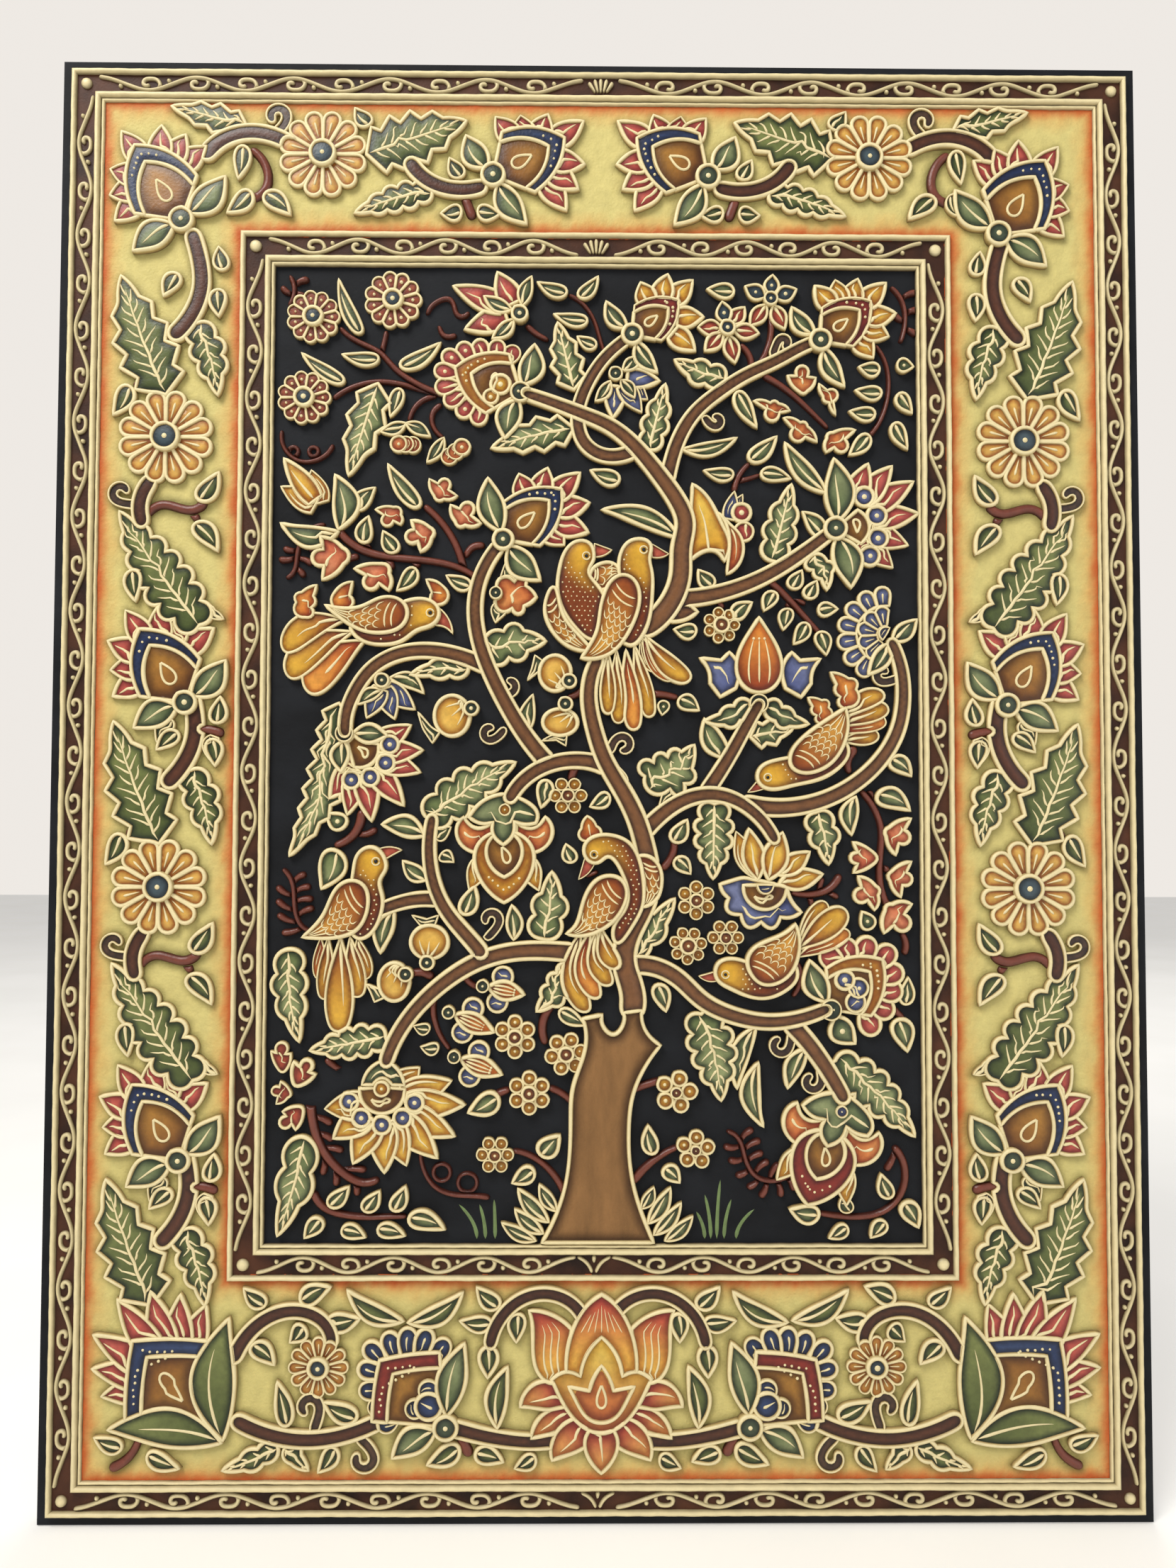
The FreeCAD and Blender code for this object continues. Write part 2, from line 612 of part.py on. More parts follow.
# flowers whose boss covers a branch's end come before the branches
blue_lotus = ("red_petals", "flower_bands", "flower_hearts", "sepals", "bosses")
yellow_lotus = ("yellow_petals", "flower_bands", "flower_hearts", "sepals", "bosses")

lay_lotus(blue_lotus, (-40.5, 100), 4.2, (-16, 121.5), 50, 15.5,
          [(-34, 128), (-22, 130.5), (-8.5, 128.5), (-4.5, 116), (-5, 103.5), (-15, 98)], 9.5,
          [(-47, 126), (-25, 83)], 11)
lay_lotus(yellow_lotus, (13.5, 187.5), 4.2, (33, 202.5), 48, 12.5,
          [(17, 210), (28.5, 213.5), (39, 211), (43.5, 195.5), (40, 181)], 9,
          [(2.5, 201.5), (24, 171.5)], 7)
lay_lotus(yellow_lotus, (93, 185.5), 4.4, (114.5, 202.5), 48, 14,
          [(91, 209), (99.5, 211.5), (109, 212), (121, 210.5), (125, 197.5), (122, 187.5), (115.5, 178.5)], 9,
          [(81, 199.5), (103, 166)], 7.5)

# the flower of blue and red at the right, with three rows
lay("bosses", round_face((99, 105.3), 4.6), boss_height)
for sepal, bend in (((98.5, 135), -2), ((105.5, 80.5), 2)):
    lay("sepals", leaf_face((99.6, 105 + (3 if sepal[1] > 105 else -3)), sepal, 12, bend, spear_shape),
        sepal_height)
lay("flower_hearts", wedge_face((99, 105.3), 3, 14.5, 5, 70), heart_height)
for degrees in (48, 18, -12, -38):
    lay("blue_petals", round_face(polar((99, 105.3), 18.5, degrees), 4.2), petal_height + 0.1 * (degrees % 3))
lay_petals("red_petals", (103, 108), [(113, 133), (123, 132), (132, 125.5), (136 - 2, 112), (129.5, 98.5),
                                      (123, 89)],
           10, 0.62)

# trunk: one piece of clay, with two arms at its head
lay("tree_trunk", cornered_face([(-23, -190.6), (-17.5, -180), (-13.6, -168), (-11.8, -155), (-11.4, -140),
                                 (-10.6, -128), (-6, -114), (-6.5, -99.5)],
                                [(-6.5, -99.5), (1.2, -98)],
                                [(1.2, -98), (3, -104.6), (6, -106.4), (9.4, -103.6), (10.4, -97)],
                                [(10.4, -97), (17.6, -96)],
                                [(17.6, -96), (18.4, -102.6), (25.4, -110.4)],
                                [(25.4, -110.4), (18.6, -120), (14, -131), (12.4, -144), (12.6, -156),
                                 (14.4, -168), (17.4, -178), (22.6, -190.6)],
                                [(22.6, -190.6), (-23, -190.6)]), trunk_height)

branches = (
    ([(14, -95), (13.6, -87), (10.6, -76), (13, -64), (19, -52), (21, -42), (19.6, -31), (15.6, -17), (9, -4),
      (2.6, 7), (-2, 20), (-4.4, 33), (-1, 49)], 9.6, 5.4),
    ([(9, -1), (1, 5.6), (-9, 7.6), (-20, 6), (-30, 0.6), (-37, -8)], 6.4, 5.4),
    ([(-22, 7), (-31, 18), (-39, 31), (-46, 45), (-51, 60), (-52, 75), (-48.4, 88), (-41, 99)], 6.8, 5),
    ([(-46, 46), (-57, 50.6), (-70, 53.2), (-84, 51.8), (-95, 45.6), (-102, 36), (-105.4, 27), (-105.8, 19)],
     6.2, 5),
    ([(-49, -72), (-56, -64), (-64, -54), (-69, -42), (-70.6, -30), (-69.4, -17)], 6, 4.4),
    ([(-68, -50.4), (-77, -50.6), (-85, -52.6), (-91, -55)], 5.6, 5),
    ([(-8, -72.6), (-25, -71.4), (-40, -72.8), (-52, -77), (-65, -85.4), (-76, -96), (-83, -106),
    (-87.6, -117)],
     7, 5.2),
    ([(19, -22), (29, -12.6), (39, -7.6), (50, -6.8), (60, -10.6), (67.6, -17), (73, -25)], 6.6, 4.6),
    ([(62, -10.6), (78, -12), (94, -8.6), (108, -1), (118, 8.6), (124.6, 20), (127.2, 33), (126.6, 45),
      (122.6, 57)], 6.8, 4.8),
    ([(45, -5), (50.4, 3), (57, 14), (62.6, 24.4), (66.6, 31)], 6, 4.8),
    ([(13, -77.6), (23, -78), (33, -83), (42, -91.4), (55, -98), (70, -100.8), (83, -99.4),
    (94, -95.6)], 7, 5), ([(80, -102), (88, -111), (95, -121), (101, -131.6)], 7, 6),
    ([(20, 64), (29.6, 73.6), (34, 86), (34.4, 98), (36, 107), (33, 116), (27, 125), (20, 134), (12, 142.6),
      (4, 148.6), (-6, 153), (-18, 157.6), (-31, 162)], 9, 4.6),
    ([(15, 138.6), (7, 135.6), (0, 136.4), (-6.4, 141), (-9.4, 150), (-8.6, 158), (-5, 167), (1, 176.4),
      (7.6, 183), (14, 187.6)], 5.6, 4.6),
    ([(28, 124), (29.4, 131), (33, 142.6), (40.6, 155), (50, 163), (62, 170.8), (75, 177), (86, 183),
      (93, 185.6)], 5.8, 4.6),
    ([(36, 75.6), (50, 77.8), (65, 83), (78, 90), (89, 97.6), (98, 104.6)], 6.6, 5),
)
for path, root_width, end_width in branches:
    lay("branches", stroke_face(path, root_width, end_width), stem_height)
lay("branches", cornered_face([(34, 80), (35.6, 76), (41, 70)], [(41, 70), (38, 67.6), (28, 66)],
                              [(28, 66), (34, 80)]), stem_height)

# ---------------------------------------------------------------- flowers of the field
for centre, reach in (((-121, 194.5), 11.2), ((-87.5, 202), 12), ((-124.5, 160), 11.2)):
    lay_daisy("red_daisies", "flower_centres", centre, 3.9, reach, 11)
for centre, reach, count, turn in (((-13, -7.2), 8.6, 6, 0), ((40.4, -50.6), 8.8, 6, 30), ((37, -69.4), 9,
        7, 10),
                                   ((52.6, -66), 8.2, 6, 0), ((51, 64.4), 8.8, 7, 0), ((-34.6, -107),
                                   9.6, 6, 30), ((-13.4, -114), 9.6, 6, 10), ((-28.6, -130), 9.6, 6, 30),
                                   ((-42.6, -155.2), 8.4, 6, 0), ((32, -129.6), 9, 5, 75),
                                   ((40, -153.2), 8.2, 5, 85)):
    lay_round_flower(centre, reach, count, turn)

# red lily beside the hook of the main branch
lay("bosses", round_face((-34, 196), 3.4), boss_height)
for sepal in ((-29, 212), (-49, 203.5), (-45.5, 185.5)):
    lay("sepals", leaf_face(between((-34, 196), sepal, 0.22), sepal, 5.6, 0.8, spear_shape), sepal_height)
lay_petals("red_petals", (-35, 197), [(-43.5, 214), (-62, 208), (-57, 189.5)], 10, 0.78)

# blue tassel flower inside the hook
lay("bosses", round_face((6.5, 170.5), 2.8), boss_height)
for sepal in ((18, 177), (-2, 159), (14.5, 160.5)):
    lay("sepals", leaf_face(between((6.5, 170.5), sepal, 0.26), sepal, 5, 0.8, spear_shape), sepal_height)
lay_petals("blue_petals", (7, 170), [(25, 168), (17.5, 154.5), (5.4, 152), (20, 160)], 8, 0.75)

# two star flowers
for centre, middle, tips in (((72, 203), 2.8, [(73, 213.6), (83, 207.5), (78, 190.5), (63.5, 192), (61.4,
        208.6)]),
                             ((53.7, 190.5), 3.2, [(51.5, 202), (61, 199.6), (67, 188.5), (57, 176),
                             (44.4, 181),
                                                   (41.4, 191)])):
    lay("star_flowers", round_face(centre, middle), boss_height)
    for step, tip in enumerate(tips):
        foot = between(centre, tip, 0.2)
        lay("star_flowers", leaf_face(foot, tip, 6.6, 0, spear_shape), petal_height + layer_step * (step % 3))


def lay_beaded_flower(boss, boss_radius, tip, half_angle, side, bead_node, beads, bead_radius, sepals,
                      extra=()):
    """A spade-shaped flower edged with round petals, with a small heart flower inside."""
    lay("bosses", round_face(boss, boss_radius), boss_height)
    for sepal in sepals:
        foot = between(boss, sepal, boss_radius * 0.8 / math.dist(boss, sepal))
        bend = 1.6 if heading(boss, sepal) > heading(boss, tip) else -1.6
        lay("sepals", leaf_face(foot, sepal, 10, bend, spear_shape), sepal_height)
    for spot, radius in extra:
        lay("small_hearts", round_face(spot, radius), band_pad_height + 0.1 * (spot[0] % 3))
    outer = spade_face(boss, tip, half_angle, side)
    inner = spade_face(boss, tip, half_angle, side, 0.76)
    lay("flower_hearts", inner, heart_height)
    lay("flower_bands", outer.cut(inner).Faces[0], band_pad_height)
    lay_beads_of_petals(bead_node, between(boss, tip, 0.5), beads, bead_radius)


lay_beaded_flower((-33.5, 162.5), 4, (-61, 173), 52, 17, "red_petals",
                  [(-66, 171.6), (-65.4, 165), (-62, 159.6), (-57, 155.4), (-51, 152.6), (-63, 177.4),
                  (-57, 180.4),
                   (-50.4, 181.4), (-43.6, 181), (-37.4, 179)], 3.1,
                  [(-27.6, 183), (-40, 143)], (((-42, 166), 4.2), ((-46, 160.6), 3.2)))
lay_beaded_flower((96, -95.6), 4.2, (117.6, -75), 52, 17, "red_petals",
                  [(96.4, -74.4), (103, -71.2), (111, -70.4), (119, -73.4), (121.6, -81), (121, -88),
                  (117.8, -95),
                   (112.4, -101.4)], 3.9,
                  [(87.4, -75.4), (106, -109.4)], (((102, -83.4), 4), ((107.6, -86.6), 4), ((106.4, -92.6),
                  4)))

# bells: orange ones by the right branch, paler ones at the left and down the right
for base, tips, neck in (
        ((85.8, 164), ((79.4, 170.4), (85, 175), (91, 169.6)), 1.8),
        ((73.6, 158.6), ((65, 159.6), (73, 151), (80, 155.6)), 1.8),
        ((95.5, 160.5), ((92.5, 167), (99.6, 164.4), (99.4, 154)), 1.8),
        ((86, 149.6), ((77.6, 152.4), (82, 142.6), (91.4, 142.4)), 1.8),
        ((97, 145), ((107.6, 147.4), (103.6, 138.4), (95.4, 138)), 1.8),
        ((-107.6, 93), ((-117, 101), (-120.6, 92), (-116, 83)), 3.4),
        ((-90, 87.6), ((-102.6, 87.6), (-98.4, 80), (-88.4, 78.6)), 2.6),
        ((-71, 103), ((-79, 108), (-81.6, 101), (-75, 95)), 2.2),
        ((-85, 112), ((-94, 112.6), (-91, 106.4), (-83.6, 106.4)), 2.2),
        ((-67.6, 118), ((-71.6, 125.6), (-64.6, 126), (-60, 118.6)), 2.2),
        ((-58.6, 107), ((-62.6, 114.6), (-55, 116), (-50, 107)), 2.2),
        ((120.4, -22), ((130, -16.4), (129.6, -25.4), (123.6, -31.4)), 2),
        ((114.6, -33), ((106, -26.4), (104.4, -33), (106, -39)), 2),
        ((121.6, -40.4), ((130, -34.4), (130.6, -42), (125.6, -49)), 2),
        ((115.6, -46.4), ((108, -40.6), (106, -49), (114.6, -54.4)), 2),
        ((120.6, -53.4), ((130, -52), (128.4, -62.6), (118.6, -64)), 2),
        ((-130.2, -120.6), ((-135, -113), (-131.6, -109.4), (-127, -114)), 1.4),
        ((-124.6, -126.4), ((-125.6, -117.4), (-119, -116.6), (-116.8, -122.4)), 1.4),
        ((-127.6, -130.6), ((-131, -125.4), (-134.4, -128), (-132.6, -134.4)), 1.4),
        ((-122.4, -136.6), ((-130, -137.6), (-131, -143.6), (-124.6, -145)), 1.4)):
    lay_bell("bells", base, tips, neck)

# pomegranate buds: fruit, boss and a little crown of leaves
for fruit, width, height, boss, crown in (
        ((-61.4, 26), 7.4, 8.6, (-53.4, 29), [(-70, 21), (-75.6, 27.4), (-73.6, 20.6), (-69.6, 14.6),
        (-66.6, 19)]), ((-18.6, 44), 6.6, 7.6, (-12.6, 40.6), [(-25, 45), (-30, 41), (-28, 46.6),
        (-27, 51.4), (-23.6, 49)]),
        ((-16.4, 23.4), 7.4, 5.6, (-14.2, 31), [(-20, 18), (-24, 15.6), (-18, 16), (-14, 13.6), (-13.6, 18)]),
        ((-70.2, -68), 7.8, 7, (-71, -76.4), [(-74, -61), (-77.4, -57), (-71.4, -58.6), (-66.6, -57),
        (-68, -61)]), ((-84.6, -84.4), 6.4, 8, (-79.8, -81.2), [(-89, -88), (-96, -85.4), (-94, -89),
        (-92.6, -92.6),
                                                  (-88, -90.6)])):
    lay("bosses", round_face(boss, 2.9), boss_height)
    lay("pomegranates", round_face(fruit, width, height / width), band_pad_height)
    lay("sepals", cornered_face([crown[0], crown[1]], [crown[1], crown[2]], [crown[2], crown[3]],
                                [crown[3], crown[4]], [crown[4], crown[0]]), leaf_height)

# hanging buds with scalloped mouths
for top, tips, mouth in (((-81.6, 149), ((-92, 145.4), (-71.4, 143.6)), (-81.6, 136.6)),
                         ((-65.6, 143), ((-54.4, 147), (-72.6, 132.6)), (-58.4, 135))):
    for tip in tips:
        lay("sepals", leaf_face(top, tip, 5, 0.6, spear_shape), sepal_height)
    for share in (0.18, 0.5, 0.82):
        spot = between(between(*tips, share), mouth, 0.55)
        lay("orange_petals", round_face(spot, 3.4), petal_height + layer_step * round(6 * share))

# yellow tulip at the left, with its two long sepals
lay("sepals", leaf_face((-109.6, 103), (-133.4, 106.4), 8.6, 4, spear_shape), sepal_height)
lay("sepals", leaf_face((-109.4, 104), (-111, 127), 10.6, -4, spear_shape), sepal_height)
lay_petals("yellow_petals", (-116, 112), [(-132.6, 134), (-133.6, 122), (-121, 129)], 9, 0.8)

# red flower with navy beads at the left
lay("bosses", round_face((-106, 18.5), 3.6), boss_height)
for sepal, width, bend in (((-88.4, 17.6), 8, 0.5), ((-107.4, 2.6), 7.6, -1.2)):
    lay("sepals", leaf_face(between((-106, 18.5), sepal, 0.2), sepal, width, bend, spear_shape), sepal_height)
lay("flower_hearts", wedge_face((-106, 18.5), 4, 17, -46, 56), heart_height)
for degrees in (-10, -34, -60, -84):
    lay("blue_petals", round_face(polar((-105, 17), 19.4 if degrees in (-34, -60) else 18, degrees), 3.8),
        petal_height + layer_step * (degrees % 3))
lay_petals("red_petals", (-99, 10), [(-78.6, 22), (-73.6, 11.6), (-74.6, 2.4), (-81.4, -11.4), (-94.6, -18),
                                     (-104.6, -15.4), (-112, -8.6), (-111, 6)], 9.6, 0.72)

# two capped flowers: a green cap, orange side petals and a dotted spade below
for top, lean, size in (((-39.4, -6.6), 0, 1.0), ((102.4, -130.6), -20, 1.06)):
    def placed(x, z, origin=top, turn=math.radians(-lean), scale=size):
        """A point of the upright flower, turned and moved to its place."""
        px, pz = x * scale, z * scale
        return (origin[0] + px * math.cos(turn) + pz * math.sin(turn),
                origin[1] - px * math.sin(turn) + pz * math.cos(turn))

    lay("small_hearts", round_face(placed(0.2, -6.6), 2.4), boss_height)
    lay("sepals", cornered_face([placed(0, 0), placed(8, -2.6), placed(14, -9), placed(13, -12)],
                                     [placed(13, -12), placed(8, -12.6), placed(4, -11.4)],
                                     [placed(4, -11.4), placed(4, -16), placed(-0.4, -21)],
                                     [placed(-0.4, -21), placed(-5, -16), placed(-4.6, -11.6)],
                                     [placed(-4.6, -11.6), placed(-9, -12.4), placed(-14.6, -9.6)],
                                     [placed(-14.6, -9.6), placed(-9, -3), placed(0, 0)]), sepal_height)
    spade = cornered_face([placed(0, -15), placed(12.4, -26), placed(9.6, -36), placed(0, -45)],
                          [placed(0, -45), placed(-9.6, -36), placed(-12.4, -26), placed(0, -15)])
    heart = cornered_face([placed(0, -15), placed(7.6, -25), placed(5, -31), placed(0, -34.6)],
                          [placed(0, -34.6), placed(-5, -31), placed(-7.6, -25), placed(0, -15)])
    lay("flower_hearts", heart, heart_height)
    lay("flower_bands", spade.cut(heart).Faces[0], band_pad_height)
    for side in (1, -1):
        lay("orange_petals", cornered_face([placed(side * 5, -12), placed(side * 12, -14.4),
                                            placed(side * 17, -9.6)],
                                           [placed(side * 17, -9.6), placed(side * 20, -15),
                                           placed(side * 18, -21),
                                            placed(side * 10, -24.4), placed(side * 5, -21)],
                                           [placed(side * 5, -21), placed(side * 5, -12)]), petal_height)
        lay("yellow_petals", leaf_face(placed(side * 8, -24), placed(side * 14.4, -40), 8, 0, spear_shape),
            petal_height + layer_step)

# big yellow flower at the lower left: cap, dark eye, collar, navy beads, ragged petals
lay("small_hearts", round_face((-89.2, -128), 3), boss_height)
lay("sepals", cornered_face([(-88.6, -116.6), (-83, -120), (-80, -126.6)], [(-80, -126.6), (-85, -126.4)],
                                 [(-85, -126.4), (-89.2, -123.4), (-93, -126.4)], [(-93, -126.4),
                                 (-97.4, -126.4)], [(-97.4, -126.4), (-94.4, -120), (-88.6, -116.6)]),
                                 sepal_height)
lay("flower_hearts", wedge_face((-89.2, -127.6), 3.6, 10.8, 270, 172), heart_height)
for step, degrees in enumerate((200, 234, 270, 306, 338)):
    lay("blue_petals", round_face(polar((-89.2, -128.6), 14.4, degrees), 3.8),
        petal_height + layer_step * (step % 3))
lay_petals("yellow_petals", (-89, -134),
           [(-112.6, -136.4), (-109, -148.4), (-100.8, -158.6), (-88, -162.4), (-79, -159.4), (-66.4, -156.4),
            (-59.4, -147.6), (-55.4, -134.8), (-60.8, -125), (-74, -119.6)], 11.5, 0.7)

# lotus with yellow petals over a blue skirt
for step, (foot, tip, width) in enumerate((((70.6, -42), (76.4, -22.4), 10.4), ((66, -42), (62.4, -21), 9),
                                           ((64, -41), (57, -22), 8), ((74.6, -40), (87.6, -30.4), 8),
                                           ((75, -43.6), (93, -39.6), 8.4))):
    lay("yellow_petals", leaf_face(foot, tip, width, 0, spear_shape), petal_height + layer_step * (step % 3))
lay("small_hearts", wedge_face((69, -44), 0.4, 3.8, 270, 176), boss_height)
lay("flower_hearts", wedge_face((69, -44), 4.2, 10.4, 270, 176), heart_height)
lay("blue_petals", cornered_face([(60, -41), (50.4, -44)], [(50.4, -44), (52, -48), (54, -49.6)],
                                 [(54, -49.6), (53, -54.6), (59, -56.4)], [(59, -56.4), (62, -62),
                                 (67.4, -59.4)], [(67.4, -59.4), (72, -62.4),
                                 (75.4, -57.4)], [(75.4, -57.4), (79, -57.8), (84, -55.4)], [(84, -55.4),
                                 (80, -51), (78, -45)], [(78, -45), (60, -41)]), petal_height)

# star tulip: a tall striped petal, blue side petals, scalloped sepals
lay("bosses", round_face((66.5, 31.5), 3.8), boss_height)
lay("sepals", edged_leaf_face((63, 32), (44, 24), 10, 3, 2.4), sepal_height)
lay("sepals", edged_leaf_face((70, 32), (87.4, 23), 10, 3, -2.4), sepal_height)
lay("striped_petals", leaf_face((66.8, 36), (66.8, 67.6), 19, 0), band_pad_height)
for side, x in ((1, 78), (-1, 57)):
    lay("blue_petals", cornered_face([(x, 38), (x, 50), (x + side * 2.6, 53)],
                                     [(x + side * 2.6, 53), (x + side * 6, 49.6)],
                                     [(x + side * 6, 49.6), (x + side * 14.6, 50.4)],
                                     [(x + side * 14.6, 50.4), (x + side * 11, 45), (x + side * 10.6, 40)],
                                     [(x + side * 10.6, 40), (x + side * 6.4, 34.4)],
                                     [(x + side * 6.4, 34.4), (x, 38)]), petal_height)

# blue fan flower at the right edge: two rows of petals round a half boss
lay("small_hearts", wedge_face((120, 60.6), 0.4, 3.4, 150, 170), boss_height)
lay("sepals", leaf_face((122.6, 58), (132.8, 67), 7, -0.6, spear_shape), sepal_height)
lay("sepals", leaf_face((122, 57.4), (112.6, 44), 7, 0.8, spear_shape), sepal_height)
for row, (inner, outer, count) in enumerate(((3.8, 12, 5), (12.4, 20.4, 7))):
    for step in range(count):
        degrees = 88 + (168.0 / count) * (step + 0.5) - 6
        lay("blue_petals", wedge_face((120, 60.6), inner, outer, degrees, 168.0 / count - 1.6),
            petal_height + layer_step * (1 - row))

# feather flower above the fork
lay("yellow_petals", cornered_face([(34.6, 87), (33.4, 94), (35.6, 102), (37.6, 108)], [(37.6, 108), (38.6,
        116), (39, 124)],
                                   [(39, 124), (45, 119), (50, 110), (53.4, 103)], [(53.4, 103),
                                   (54.4, 97), (52.4, 91.6)], [(52.4, 91.6), (46.6, 96.4), (40, 93.6),
                                   (34.6, 87)]), petal_height)
lay("orange_petals", cornered_face([(53.4, 86), (59.4, 92), (60, 100), (55.6, 106)], [(55.6, 106), (50, 112)],
                                   [(50, 112), (54.4, 103), (54.4, 95), (53.4, 86)]),
                                   petal_height + layer_step)
lay("red_petals", round_face((60.6, 104), 4), petal_height)
lay("red_petals", round_face((59.6, 112), 4), petal_height + layer_step)
lay_petals("blue_petals", (54, 108), [(56.6, 121), (60, 119.6)], 6, 0.9)

# buds with a striped petal between two round blue ones
for boss, tip in (((-48, -86), (-31, -89.6)), ((-62, -96.8), (-43.4, -105)), ((-59.6, -115), (-40, -122.4))):
    lay("bosses", round_face(boss, 2.6), boss_height)
    lay("striped_petals", leaf_face(between(boss, tip, 0.14), tip, 7.6, 0, spear_shape), band_pad_height)
    for side in (1, -1):
        lay("blue_petals", round_face(off_axis(boss, tip, 0.42, side * 5.4), 4.2), petal_height)

# small scalloped flower by the left branch
lay("bosses", round_face((-43.4, 77.4), 2.6), boss_height)
lay("orange_petals", edged_leaf_face((-41, 77.2), (-26.6, 76), 17, 3), petal_height)

# ---------------------------------------------------------------- leaves of the field
lay_edged("broad_leaves", (
    (-93.5, 166, -105.5, 127, 17, 4, 0, True), (-11, 164, -18, 192.5, 14, 4, 0, True),
    (-11, 147.4, -45.5, 139, 15, 4, -1, True), (20.5, 138.5, 27.5, 166.5, 12, 4, 0, False),
    (53, 169.4, 31.6, 177, 12, 3, 1.5, False), (72.6, 91.6, 80.6, 124, 14.5, 4, 0, False),
    (87.4, 92.4, 95.4, 79.6, 10.5, 3, 3.4, False), (-108.6, 31, -128.4, -32.4, 18.5, 8, 5, True),
    (-46.6, 52.6, -22.6, 57.4, 17, 3, 2, False), (-71, -17, -35, 6.6, 19, 5, 1.5, False),
    (-127.6, -71, -123.6, -109, 15, 4, -2, False), (-54.6, 45.4, -79, 43, 9.4, 3, -1.5, False),
    (-24, -66.4, -19.6, -39, 16, 3, -1.5, False), (-11, -78.6, -25.6, -96.4, 13.5, 4, 1, False),
    (48, -10.6, 47.4, -41.6, 17, 5, 0, False), (90.4, -14, 95.6, -35.4, 13.6, 3, 1, False),
    (11, -73.4, 31.4, -50, 13.5, 3, -1, False), (42.4, -97.6, 50.6, -133, 20, 5, 1.5, False),
    (98, -116.6, 130.6, -147.6, 18, 6, 2, False), (-88, -107, -119, -112.6, 14, 5, 0, False),
    (-121.4, -147.6, -131.6, -188, 16, 3, 1.5, False), (63, 17.6, 81, 21.4, 12, 3, 0, True),
    (19, 1, 39.6, 14, 20, 4, -5, False)))

